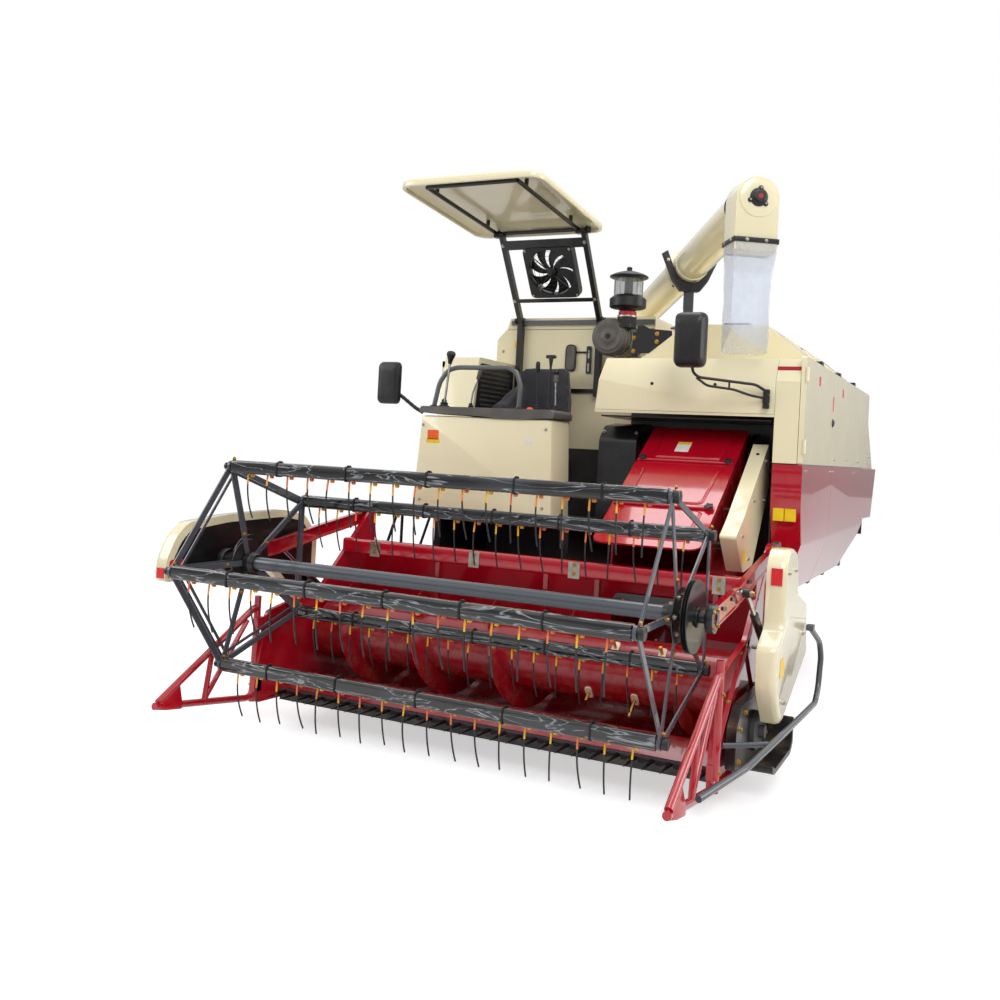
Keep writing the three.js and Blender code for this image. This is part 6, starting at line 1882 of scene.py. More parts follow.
@dataclass
class Unloader:
    """The unloading tube with its head, the clear sleeve under it and the cradle it parks on."""

    elbow: tuple[float, float, float] = (-0.85, 1.95, 2.30)
    spout: tuple[float, float, float] = (0.895, -0.70, 2.725)
    tube: float = 0.1025
    ball: float = 0.118
    head_width: float = 0.222
    head_length: float = 0.172
    head_drop: float = 0.265
    sleeve_top: float = -0.207
    sleeve_end: float = -0.768
    sleeve_rows: int = 46

    def __post_init__(self) -> None:
        """Works out the tube's own directions."""
        self.start = Vector(self.elbow)
        self.end = Vector(self.spout)
        self.along = (self.end - self.start).normalized()
        self.plan = Vector((self.along.x, self.along.y, 0)).normalized()
        self.across = Vector((-self.plan.y, self.plan.x, 0))
        self.head_place = Matrix((
            (self.across.x, 0, self.plan.x, self.end.x), (self.across.y, 0, self.plan.y, self.end.y),
            (0, 1, 0, self.end.z), (0, 0, 0, 1)))

    def long_tube(self) -> None:
        """The tube, its rings and seal, the head with its bearing, and the elbow's ears."""
        work = Work("unloading_tube_and_head")
        reach = (self.end - self.start).length
        profile = [(self.ball + 0.0125, 0.07), (self.ball + 0.0125, self.tube), (0.238, self.tube), (0.24, 0.140),
                   (0.262, 0.140), (0.264, self.tube), (2.055, self.tube), (2.06, 0.126), (2.068, 0.128),
                   (2.078, 0.128), (2.085, 0.126), (2.088, self.tube), (2.196, self.tube), (2.20, 0.107),
                   (2.215, 0.107), (2.22, self.tube), (reach - 0.06, self.tube), (reach - 0.06, 0.04)]
        work.lathe(profile, self.start, self.along, Finish.CREAM, 48)
        work.hoop([(0, self.tube), (0, 0.1085), (0.007, 0.1085), (0.007, self.tube)],
                  self.start + self.along * (reach - 0.115), self.along, Finish.PLASTIC, 48)
        for side in (-1, 1):
            rise = self.along.cross(self.across)
            base = self.start + self.across * side * (self.ball + 0.016) + self.along * 0.125
            shape = [base + self.along * u + rise * v for u, v in oblong(0.32, 0.066, 0.03)]
            work.loft([[p - self.across * 0.0065 for p in shape], [p + self.across * 0.0065 for p in shape]],
                      Finish.CREAM)
        radius = self.head_width / 2
        outline = [Vector((-radius, -self.head_drop)), Vector((radius, -self.head_drop))] \
            + arc((0, 0), radius, 0, 180, 24)
        middle = Vector((0, -0.05))
        rings = []
        for depth, share in ((-0.086, 0.965), (-0.083, 0.99), (-0.078, 1.0), (0.078, 1.0), (0.083, 0.99),
                             (0.086, 0.965)):
            ring_line = []
            for p in outline:
                q = middle + (p - middle) * share
                ring_line.append(Vector((q.x, max(q.y, -self.head_drop) if share < 1 else q.y, depth)))
            rings.append(ring_line)
        work.loft(rings, Finish.CREAM, turn=self.head_place)
        cap = self.end + self.plan * self.head_length / 2
        work.lathe([(0, 0.098), (0.0035, 0.097), (0.0045, 0.094), (0.0045, 0.05)], cap, self.plan, Finish.CREAM, 48)
        work.lathe([(0.004, 0.046), (0.010, 0.046), (0.013, 0.042), (0.016, 0.034), (0.026, 0.031),
                    (0.034, 0.026), (0.0345, 0.012)], cap, self.plan, Finish.SATIN, 32)
        work.lathe([(0.0325, 0.014), (0.0349, 0.012)], cap, self.plan, Finish.SEAL, 20)
        for k in range(3):
            angle = math.radians(80 + 120 * k)
            ear = cap + self.across * 0.047 * math.cos(angle) + Vector((0, 0, 0.047 * math.sin(angle)))
            work.lathe([(0.004, 0.0125), (0.010, 0.0125), (0.012, 0.009)], ear, self.plan, Finish.SATIN, 20)
            work.bolts([(ear + self.plan * 0.011, self.plan)], 0.0055, Finish.ZINC)
        half_w, half_l, low = radius + 0.0052, self.head_length / 2 + 0.0052, -self.head_drop
        strip = rounded([(-half_w, -half_l), (half_w, -half_l), (half_w, half_l), (-half_w, half_l)], 0.004)
        route = [self.head_place @ Vector((u, low + 0.052, w)) for u, w in strip]
        work.sweep(route, oblong(0.004, 0.024, 0.001), Finish.PLASTIC,
                   up=(0, 0, 1), joined=True)
        for u in (-0.05, 0.05):
            at = self.head_place @ Vector((u, low + 0.052, half_l + 0.002))
            work.bolts([(at, self.plan)], 0.006, Finish.ZINC)
            at = self.head_place @ Vector((-half_w - 0.002, low + 0.052, u))
            work.bolts([(at, -self.across)], 0.006, Finish.ZINC)
        work.bolts([(self.start + self.along * 2.0725 + Vector((-0.06, -0.04, -0.1)), (-0.3, -0.3, -0.9))], 0.008,
                   Finish.STEEL)
        work.done("unloader", "cream_paint", "unloading_auger", edge=0.0015)

    def sleeve(self) -> None:
        """The clear film sleeve that hangs from the head, crinkled and cut on a slant."""
        rows, points, faces = self.sleeve_rows, [], []
        section = oblong(self.head_width + 0.007, self.head_length + 0.007, 0.02, 6)
        section = [a.lerp(b, t / 3) for a, b in zip(section, section[1:] + section[:1]) for t in range(3)]
        for i in range(rows + 1):
            share = i / rows
            for p in section:
                bottom = self.sleeve_end + 0.10 * (0.5 - p.x / self.head_width) * (0.5 + p.y / self.head_length)
                drop = self.sleeve_top + (bottom - self.sleeve_top) * share
                narrow = 1 - 0.10 * min(1.0, max(0.0, (share - 0.12) / 0.22))
                u, w = p.x * narrow - (1 - narrow) * 0.05, p.y * narrow
                wave = noise.noise(Vector((u * 11, drop * 7, w * 11))) * 0.006 * min(1.0, share * 5)
                crumple = noise.noise(Vector((u * 34, drop * 18, w * 34))) * 0.0022 * min(1.0, share * 5)
                out = Vector((u, w)).normalized() * (wave + crumple - 0.004 * min(1.0, share * 5))
                points.append(self.head_place @ Vector((u + out.x, drop, w + out.y)))
        count = len(section)
        for i in range(rows):
            for k in range(count):
                a, b = i * count + k, i * count + (k + 1) % count
                faces.append((a, b, b + count, a + count))
        mesh = bpy.data.meshes.new("grain_sleeve")
        mesh.from_pydata([tuple(p) for p in points], [], faces)
        mesh.materials.append(PAINT[Finish.SLEEVE])
        shape = bmesh.new()
        shape.from_mesh(mesh)
        bmesh.ops.recalc_face_normals(shape, faces=shape.faces)
        shape.to_mesh(mesh)
        shape.free()
        mesh.shade_smooth()
        piece = add_object("grain_sleeve", mesh)
        dress(piece, "unloader", "clear_film", "grain_chute")
        girth = sum((a - b).length for a, b in zip(section, section[1:] + section[:1]))

    def cradle(self) -> None:
        """The forked rest on its post."""
        work = Work("auger_cradle_fork")
        rest = self.start + self.along * 2.17
        radius = 0.109
        outline = rounded([(-0.06, -0.162), (0.06, -0.162), (0.11, -0.095), (0.178, 0.06), (0.15, 0.078)], 0.01,
                          closed=False)[1:]
        outline = [Vector((-0.058, -0.162))] + [p for p in outline if p.x > -0.05] \
            + arc((0, 0), radius, -18, -162, 20) + [Vector((-0.15, 0.078)), Vector((-0.178, 0.06)),
                                                      Vector((-0.11, -0.095))]
        place = Matrix((
            (self.across.x, 0, self.plan.x, rest.x), (self.across.y, 0, self.plan.y, rest.y),
            (0, 1, 0, rest.z), (0, 0, 0, 1)))
        for depth in (-0.021, 0.016):
            work.prism(outline, "z", depth, depth + 0.005, Finish.SATIN, turn=place)
        web = [Vector((0.0, p.x, p.y)) for p in outline]
        work.loft([[place @ Vector((p.y, p.z, d)) for p in web] for d in (-0.016, 0.016)], Finish.SATIN)
        work.bolts([(place @ Vector((u, 0.02, 0.022)), self.plan) for u in (-0.145, 0.145)], 0.007, Finish.ZINC)
        post_top = rest.z - self.tube - 0.062
        work.box((rest.x - 0.03, rest.y - 0.006, 2.165), (rest.x + 0.03, rest.y + 0.006, post_top + 0.02),
                 Finish.REEL)
        work.box((rest.x - 0.036, rest.y + 0.007, post_top - 0.10), (rest.x - 0.02, rest.y + 0.02, post_top + 0.02),
                 Finish.SATIN)
        work.box((rest.x - 0.088, rest.y - 0.058, 2.1915), (rest.x + 0.088, rest.y + 0.058, 2.203), Finish.REEL)
        work.bolts([((rest.x + u, rest.y + v, 2.203), (0, 0, 1)) for u in (-0.07, 0.07) for v in (-0.04, 0.04)],
                   0.007, Finish.ZINC)
        work.done("machine", "black_paint", "auger_cradle", edge=0.001)

    def build(self) -> None:
        """Builds the unloader."""
        self.long_tube()
        self.sleeve()
        self.cradle()


# ------------------------------------------------------------------ driver's station
@dataclass
class Station:
    """The driver's platform, console, rail, seat, intake box and oil tank."""

    deck: float = 1.04
    front_y: float = -0.775
    rear_y: float = 0.325
    left_x: float = -1.18
    right_x: float = 0.058
    cap_z: float = 1.64
    seat_x: tuple[float, float] = (-0.863, -0.417)

    def platform(self) -> None:
        """The ribbed deck, its skirt, the step and the seat's box."""
        work = Work("driver_platform")
        work.box((self.left_x, self.front_y, 1.0), (self.right_x, self.rear_y, self.deck - 0.004), Finish.TREAD)
        for k in range(19):
            y = self.front_y + 0.04 + k * 0.0275
            work.box((self.left_x + 0.03, y, self.deck - 0.006), (self.right_x - 0.02, y + 0.010, self.deck),
                     Finish.TREAD)
        work.box((-0.86, -0.26, self.deck - 0.005), (-0.04, self.rear_y, 1.438), Finish.SATIN)
        work.prism(oblong_at(-0.45, 1.24, 0.5, 0.26, 0.03), "y", -0.2625, -0.2595, Finish.PLASTIC)
        for x in (-1.14, -1.10):
            for y in (-0.68, -0.285):
                work.tube([(x, y, 1.01), (x, y, 0.58)] if x > -1.12 else [(x, y, 0.99), (-1.27, y, 0.60)], 0.009,
                          Finish.BLACK, 12)
        for k in range(5):
            x = -1.30 + k * 0.036
            work.beam((x, -0.70, 0.575), (x, -0.25, 0.575), 0.006, 0.028, Finish.BLACK)
        for y in (-0.695, -0.475, -0.255):
            work.beam((-1.3, y, 0.573), (-1.152, y, 0.573), 0.008, 0.022, Finish.BLACK)
        work.box((-0.84, -0.745, 0.7405), (0.02, 0.295, 0.7495), Finish.BLACK)
        for x in (-0.82, -0.02):
            work.box((x - 0.02, -0.74, 0.745), (x + 0.02, 0.29, 1.002), Finish.BLACK)
        work.done("machine", "grey_floor", "platform", edge=0.0015)

    def console(self) -> None:
        """The cream front, its thick dark cap, the levers, the knob and the gauges."""
        work = Work("console_body")
        skin = [(-0.985, 1.0405), (-0.092, 1.0405), (-0.117, 1.585), (-0.945, 1.585)]
        front = rounded(skin, 0.02)
        rings = []
        for y, share in ((self.front_y, 0.965), (self.front_y + 0.004, 0.985), (self.front_y + 0.018, 1.0),
                         (-0.545, 1.0)):
            middle = Vector((-0.54, 1.31))
            ring_line = []
            for p in front:
                q = middle + (p - middle) * share
                ring_line.append(Vector((q.x, y, q.y)))
            rings.append(ring_line)
        work.loft(rings, Finish.CREAM)
        low = [(-0.958, 1.606), (-0.958, 1.622), (-0.944, 1.638), (-0.118, 1.638), (-0.102, 1.622), (-0.102, 1.590),
               (-0.18, 1.588), (-0.30, 1.5805), (-0.46, 1.5803), (-0.56, 1.590), (-0.94, 1.600)]
        rings = []
        for y, share in ((-0.787, 0.985), (-0.784, 0.995), (-0.776, 1.0), (-0.54, 1.0), (-0.528, 0.995),
                         (-0.5255, 0.98)):
            rings.append([Vector((-0.53 + (p[0] + 0.53) * share, y, 1.61 + (p[1] - 1.61) * share))
                          for p in rounded(low, 0.01)])
        work.loft(rings, Finish.CAP)
        work.lathe([(-0.002, 0.022), (0.002, 0.022), (0.003, 0.017), (0.009, 0.016), (0.011, 0.010)],
                   (-0.27, -0.74, 1.638), (0, 0, 1), Finish.BUTTON, 24)
        for x, y, wide, deep in ((-0.82, -0.64, 0.09, 0.13), (-0.45, -0.655, 0.22, 0.11), (-0.16, -0.66, 0.06, 0.10)):
            work.prism(oblong_at(x, y, wide, deep, 0.012), "z", 1.6375, 1.640, Finish.PLASTIC)
        for x in (-0.53, -0.45, -0.37):
            work.hoop([(0, 0.024), (0, 0.030), (0.0015, 0.030), (0.0015, 0.024)], (x, -0.655, 1.6385), (0, 0, 1),
                      Finish.CHROME, 28)
        for x in (-0.735, -0.305, -0.235, -0.19):
            work.lathe([(0, 0.024), (0.006, 0.022), (0.012, 0.014), (0.018, 0.016), (0.024, 0.010), (0.03, 0.012),
                        (0.036, 0.007)], (x, -0.575, self.cap_z - 0.003), (0, 0, 1), Finish.RUBBER, 24)
        bent = [(-0.735, -0.575, 1.64), (-0.728, -0.575, 1.73), (-0.697, -0.575, 1.81)]
        work.tube(rounded(bent, 0.05, closed=False), 0.0055, Finish.CHROME, 14)
        work.lathe([(0, 0.008), (0.005, 0.011), (0.045, 0.0125), (0.060, 0.010), (0.064, 0.004)], bent[-1],
                   (0.3, 0, 1), Finish.CAP, 24)
        work.bar((-0.305, -0.575, 1.64), (-0.312, -0.575, 1.862), 0.0048, Finish.SATIN, 14)
        work.lathe([(0, 0.008), (0.006, 0.012), (0.045, 0.0135), (0.058, 0.011), (0.063, 0.004)],
                   (-0.312, -0.575, 1.858), (0, 0, 1), Finish.PLASTIC, 24)
        work.bar((-0.235, -0.575, 1.64), (-0.232, -0.575, 1.93), 0.0065, Finish.SATIN, 16)
        work.lathe([(0, 0.0075), (0.02, 0.010), (0.045, 0.014), (0.05, 0.012)], (-0.232, -0.575, 1.895), (0, 0, 1),
                   Finish.PLASTIC, 24)
        work.loft([[Vector((-0.232 + u, -0.575 + v * 0.8, z)) for u, v in oblong(0.064 * w, 0.026 * w, 0.012 * w)]
                   for z, w in ((1.938, 0.82), (1.942, 1.0), (1.952, 1.0), (1.957, 0.85))], Finish.PLASTIC)
        work.bar((-0.19, -0.575, 1.64), (-0.196, -0.575, 1.82), 0.0058, Finish.CHROME, 14)
        work.lathe([(0, 0.009), (0.004, 0.0135), (0.040, 0.0135), (0.046, 0.009)], (-0.196, -0.575, 1.80), (0, 0, 1),
                   Finish.CAP, 24)
        work.ball((-0.196, -0.575, 1.862), 0.018, Finish.PLASTIC, 20)
        foot, knob = Vector((-0.842, -0.70, 1.637)), Vector((-0.786, -0.752, 1.893))
        work.lathe([(0, 0.034), (0.008, 0.032), (0.016, 0.020), (0.024, 0.024), (0.032, 0.014), (0.04, 0.016),
                    (0.05, 0.009)], foot, (0, 0, 1), Finish.RUBBER, 28)
        work.bar(foot, knob, 0.0068, Finish.CHROME, 16)
        work.lathe([(-0.008, 0.010), (0.004, 0.013), (0.02, 0.017), (0.042, 0.0255), (0.054, 0.0255),
                    (0.063, 0.019), (0.0665, 0.008)], knob, knob - foot, Finish.PLASTIC, 32)
        for x, z, wide, tall, tone in ((-0.86, 1.475, 0.075, 0.055, Finish.BUTTON),
                                       (-0.86, 1.44, 0.09, 0.025, Finish.YELLOW),
                                       (-0.25, 1.46, 0.042, 0.030, Finish.WHITE)):
            work.prism(oblong_at(x, z, wide, tall, 0.006), "y", self.front_y - 0.0006, self.front_y, tone)
        work.bolts([((x, self.front_y, z), (0, -1, 0)) for x in (-0.93, -0.15) for z in (1.10, 1.53)], 0.006,
                   Finish.ZINC)
        work.done("machine", "cream_paint", "console", edge=0.0012)
        rail = Work("console_hand_rail")
        rail.tube(rounded([(-0.90, -0.715, 1.64), (-0.87, -0.715, 1.78), (-0.82, -0.715, 1.85),
                           (-0.76, -0.715, 1.868),
                           (-0.42, -0.715, 1.868), (-0.37, -0.715, 1.84), (-0.345, -0.715, 1.76),
                           (-0.352, -0.715, 1.64)], 0.03, closed=False), 0.0138, Finish.RAIL, 18)
        for x in (-0.90, -0.352):
            rail.lathe([(0, 0.026), (0.004, 0.026), (0.006, 0.018), (0.009, 0.0145)], (x, -0.715, 1.64), (0, 0, 1),
                       Finish.PLASTIC, 24)
        rail.done("machine", "blue_grey_paint", "hand_rail", edge=0.0)

    def seat(self) -> None:
        """The seat under its loose black cover, swelled as cloth over padding."""
        x0, x1 = self.seat_x
        outline = rounded([(-0.215, 1.446), (0.232, 1.446), (0.268, 1.90), (0.255, 1.975), (0.20, 1.978),
                           (0.145, 1.62), (-0.19, 1.60), (-0.235, 1.55)], 0.04, steps=6)
        core = Work("seat_core")
        middle = Vector((0.03, 1.66))
        rings = []
        for x, share in ((x0 + 0.012, 0.86), (x0 + 0.022, 0.94), (x0 + 0.05, 0.985), (x1 - 0.05, 0.985),
                         (x1 - 0.022, 0.94), (x1 - 0.012, 0.86)):
            rings.append([Vector((x, *(middle + (p - middle) * share))) for p in outline])
        core.loft(rings, Finish.CLOTH)
        arm = rounded([(-0.16, 1.56), (0.20, 1.56), (0.21, 1.86), (0.12, 1.84), (0.02, 1.76), (-0.12, 1.70)], 0.04,
                      steps=5)
        core.loft([[Vector((x, *(Vector((0.04, 1.68)) + (p - Vector((0.04, 1.68))) * share))) for p in arm]
                   for x, share in ((x0 + 0.01, 0.8), (x0 + 0.025, 0.95), (x0 + 0.075, 0.95), (x0 + 0.10, 0.7))],
                  Finish.CLOTH)
        piece = core.piece()
        remesh = piece.modifiers.new("fine", "REMESH")
        remesh.mode = "VOXEL"
        remesh.voxel_size = 0.012
        seen = bpy.context.evaluated_depsgraph_get()
        mesh = bpy.data.meshes.new_from_object(piece.evaluated_get(seen))
        piece.modifiers.clear()
        mesh.materials.clear()
        mesh.materials.append(PAINT[Finish.CLOTH])
        cover = bpy.data.objects.new("seat_cover", mesh)
        bpy.context.scene.collection.objects.link(cover)
        bpy.data.objects.remove(piece)
        self.swell(cover)
        shape = bmesh.new()
        shape.from_mesh(cover.data)
        middle_x = (x0 + x1) / 2
        for vert in shape.verts:
            fold = noise.noise(vert.co * 9.0) * 0.005 + noise.noise(vert.co * 24.0) * 0.0025
            vert.co += vert.normal * (fold - 0.004)
            high = min(1.0, max(0.0, (vert.co.z - 1.74) / 0.16))
            left = min(1.0, max(0.0, (middle_x - vert.co.x) / (middle_x - x0)))
            vert.co.x += (0.062 * left - 0.024 * (1 - left)) * high
            vert.co.x = min(max(vert.co.x, x0 + 0.002), x1 - 0.002)
            vert.co.y = min(max(vert.co.y, -0.246), 0.272)
            vert.co.z = min(max(vert.co.z, 1.442), 1.986)
        bmesh.ops.recalc_face_normals(shape, faces=shape.faces)
        shape.to_mesh(cover.data)
        shape.free()
        cover.data.shade_smooth()
        dress(cover, "machine", "seat_cloth", "seat")

    def swell(self, cover: bpy.types.Object) -> None:
        """Blows the cover up a little as cloth, its foot held, and keeps the result as a plain mesh.

        Args:
            cover: the closed cloth.
        """
        before = [vert.co.copy() for vert in cover.data.vertices]
        held = cover.vertex_groups.new(name="held")
        held.add([v.index for v in cover.data.vertices if v.co.z < 1.47], 1.0, "REPLACE")
        cloth = cover.modifiers.new("cloth", "CLOTH")
        cloth.settings.quality = 4
        cloth.settings.use_pressure = True
        cloth.settings.uniform_pressure_force = 0.6
        cloth.settings.tension_stiffness = 18
        cloth.settings.compression_stiffness = 12
        cloth.settings.bending_stiffness = 0.4
        cloth.settings.shrink_min = -0.03
        cloth.settings.vertex_group_mass = "held"
        cloth.collision_settings.use_collision = False
        scene = bpy.context.scene
        for number in range(1, 13):
            scene.frame_set(number)
        seen = bpy.context.evaluated_depsgraph_get()
        mesh = bpy.data.meshes.new_from_object(cover.evaluated_get(seen))
        cover.modifiers.clear()
        for vert, start in zip(mesh.vertices, before):
            move = vert.co - start
            if move.length > 0.014:
                vert.co = start + move.normalized() * 0.014
        cover.data = mesh
        scene.frame_set(1)

    def intake(self) -> None:
        """The louvred intake box, its screen door and the oil tank beside the seat."""
        work = Work("cooling_intake_box")
        outline = rounded([(-0.37, 1.0405), (0.318, 1.0405), (0.318, 1.984), (-0.19, 1.984)], 0.015)
        work.prism(outline, "x", -1.148, -0.902, Finish.CREAM)
        work.prism(rounded([(-0.32, 1.08), (0.29, 1.08), (0.29, 1.95), (-0.175, 1.95)], 0.02), "x", -0.9022, -0.9005,
                   Finish.PLASTIC)
        holes = [(Vector((-0.9, -0.16 + 0.026 * i + 0.013 * (j % 2), 1.12 + 0.03 * j)), Vector((1, 0, 0)))
                 for i in range(16) for j in range(27)]
        pattern = Pattern("vent_holes")
        radius = pattern.size("Hole radius", 0.008)
        depth = pattern.size("Hole depth", 0.001)
        disc = pattern.node("GeometryNodeMeshCylinder", inputs={"Vertices": 10, "Radius": radius, "Depth": depth})
        placed = pattern.node("GeometryNodeInstanceOnPoints", inputs={
            "Points": pattern.entry, "Instance": disc, "Rotation": (0.0, math.pi / 2, 0.0)})
        work.take(pattern.grow(placed, Finish.CAP, stands(holes)), Finish.CAP)
        work.done("machine", "cream_paint", "radiator_box", edge=0.002)
        door = Work("screen_door")
        low, high, y0, y1 = 1.062, 1.958, -0.178, 0.312
        for a, b in (((y0, low), (y1, low + 0.04)), ((y0, high - 0.04), (y1, high)), ((y0, low), (y0 + 0.04, high)),
                     ((y1 - 0.04, low), (y1, high))):
            door.box((-1.1792, a[0], a[1]), (-1.152, b[0], b[1]), Finish.CREAM)
        door.box((-1.160, y0 + 0.03, low + 0.03), (-1.154, y1 - 0.03, high - 0.03), Finish.PLASTIC)
        for k in range(40):
            z = low + 0.05 + k * 0.0205
            door.box((-1.166, y0 + 0.035, z), (-1.160, y1 - 0.035, z + 0.004), Finish.STEEL)
        door.bar((-1.175, 0.32, low), (-1.175, 0.32, high), 0.0048, Finish.STEEL, 12)
        door.box((-1.1798, y0 + 0.004, 1.48), (-1.174, y0 + 0.036, 1.56), Finish.PLASTIC)
        door.done("radiator_door", "black_plastic", "radiator_door", edge=0.001)
        tank = Work("oil_tank_body")
        shape = rounded([(-0.518, 1.0125), (-0.182, 1.0125), (-0.182, 1.56), (-0.26, 1.597), (-0.44, 1.575),
                         (-0.518, 1.50)], 0.02)
        tank.prism(shape, "x", 0.0605, 0.2795, Finish.BLACK)
        tank.bolts([((0.075 + 0.19 * (k % 2), y, z), n) for k, (y, z, n) in enumerate((
            (-0.48, 1.54, (0, -0.6, 0.8)), (-0.48, 1.54, (0, -0.6, 0.8)), (-0.23, 1.583, (0, 0.4, 0.9)),
            (-0.23, 1.583, (0, 0.4, 0.9))))], 0.008, Finish.ZINC)
        tank.prism(rounded([(0.09, 1.15), (0.25, 1.15), (0.25, 1.45), (0.09, 1.45)], 0.02), "y", -0.5195, -0.5175,
                   Finish.SATIN)
        tank.done("machine", "black_paint", "oil_tank", edge=0.004)
        repaint("engine", Finish.CASTING)

    def build(self) -> None:
        """Builds the station."""
        self.platform()
        self.console()
        self.seat()
        self.intake()


@dataclass
class AirCleaner:
    """The drum filter, its mushroom pre-cleaner and the hose between them."""

    axis: tuple[float, float] = (-0.11, 2.135)
    front: float = -0.028
    rear: float = 0.333
    radius: float = 0.1175
    stack: tuple[float, float] = (-0.012, 0.03)

    def build(self) -> None:
        """Builds the filter."""
        work = Work("air_filter_drum")
        x, z = self.axis
        nose = (x, self.front, z)
        work.lathe([(0.0, 0.028), (0.001, 0.036), (0.006, 0.045), (0.008, 0.062), (0.004, 0.070), (0.004, 0.084),
                    (0.009, 0.090), (0.010, 0.103), (0.018, 0.111), (0.060, 0.113), (0.062, self.radius),
                    (0.076, self.radius), (0.078, 0.112), (0.356, 0.112), (0.361, 0.10)], nose, (0, 1,
                                                                                                 0), Finish.CAP, 56)
        work.lathe([(-0.001, 0.0), (-0.0015, 0.016), (0.001, 0.019), (0.001, 0.03)], nose, (0, 1, 0), Finish.PLASTIC,
                   24)
        for k in range(6):
            angle = math.radians(60 * k + 20)
            a = Vector((x + 0.05 * math.cos(angle), self.front + 0.007, z + 0.05 * math.sin(angle)))
            b = Vector((x + 0.098 * math.cos(angle), self.front + 0.009, z + 0.098 * math.sin(angle)))
            work.beam(a, b, 0.005, 0.006, Finish.CAP, up=(0, 1, 0))
        for k in range(3):
            angle = math.radians(120 * k + 45)
            out = Vector((math.cos(angle), 0, math.sin(angle)))
            at = Vector((x, self.front + 0.055, z)) + out * 0.1135
            work.beam(at, at + Vector((0, 0.05, 0)), 0.014, 0.006, Finish.ZINC, up=tuple(out))
        px, py = self.stack
        foot = (px, py, 0)
        work.lathe([(2.19, 0.058), (2.262, 0.058), (2.263, 0.050)], foot, (0, 0, 1), Finish.RUBBER, 32)
        work.lathe([(2.262, 0.0545), (2.290, 0.0545), (2.291, 0.050)], foot, (0, 0, 1), Finish.SEAL, 32)
        work.hoop([(0, 0.056), (0, 0.0612), (0.010, 0.0612), (0.010, 0.056)], (px, py, 2.255), (0, 0, 1),
                  Finish.ZINC, 32)
        work.lathe([(2.298, 0.052), (2.309, 0.062), (2.312, 0.104), (2.318, 0.1122), (2.366, 0.1122), (2.374, 0.103),
                    (2.386, 0.090), (2.388, 0.078)], foot, (0, 0, 1), Finish.PLASTIC, 48)
        work.lathe([(2.386, 0.080), (2.392, 0.0895), (2.486, 0.0895), (2.497, 0.080)], foot, (0, 0, 1),
                   Finish.BOWL, 48)
        work.lathe([(2.388, 0.026), (2.495, 0.026)], foot, (0, 0, 1), Finish.SATIN, 20)
        for k in range(10):
            angle = 2 * math.pi * k / 10
            out = Vector((math.cos(angle), math.sin(angle), 0))
            base = Vector((px, py, 2.398)) + out * 0.0885
            work.beam(base, base + Vector((0, 0, 0.086)), 0.003, 0.002, Finish.PLASTIC, up=tuple(out))
        work.lathe([(2.494, 0.108), (2.499, 0.1185), (2.506, 0.118), (2.520, 0.092), (2.533, 0.052), (2.540, 0.024),
                    (2.543, 0.0165), (2.560, 0.0165), (2.5655, 0.010)], foot, (0, 0, 1), Finish.PLASTIC, 48)
        work.box((0.062, -0.0585, 2.012), (0.098, -0.050, 2.155), Finish.BLACK)
        work.box((0.062, -0.0585, 2.002), (0.0985, 0.333, 2.012), Finish.BLACK)
        work.bolts([((0.07, -0.058, v), (0, -1, 0)) for v in (2.04, 2.12)], 0.009, Finish.GOLD_ZINC)
        for y in (0.08, 0.24):
            work.hoop([(0, 0.1125), (0, 0.1155), (0.022, 0.1155), (0.022, 0.1125)], (x, y, z), (0, 1, 0),
                      Finish.BLACK, 48)
        work.done("machine", "black_plastic", "air_cleaner", edge=0.0008)


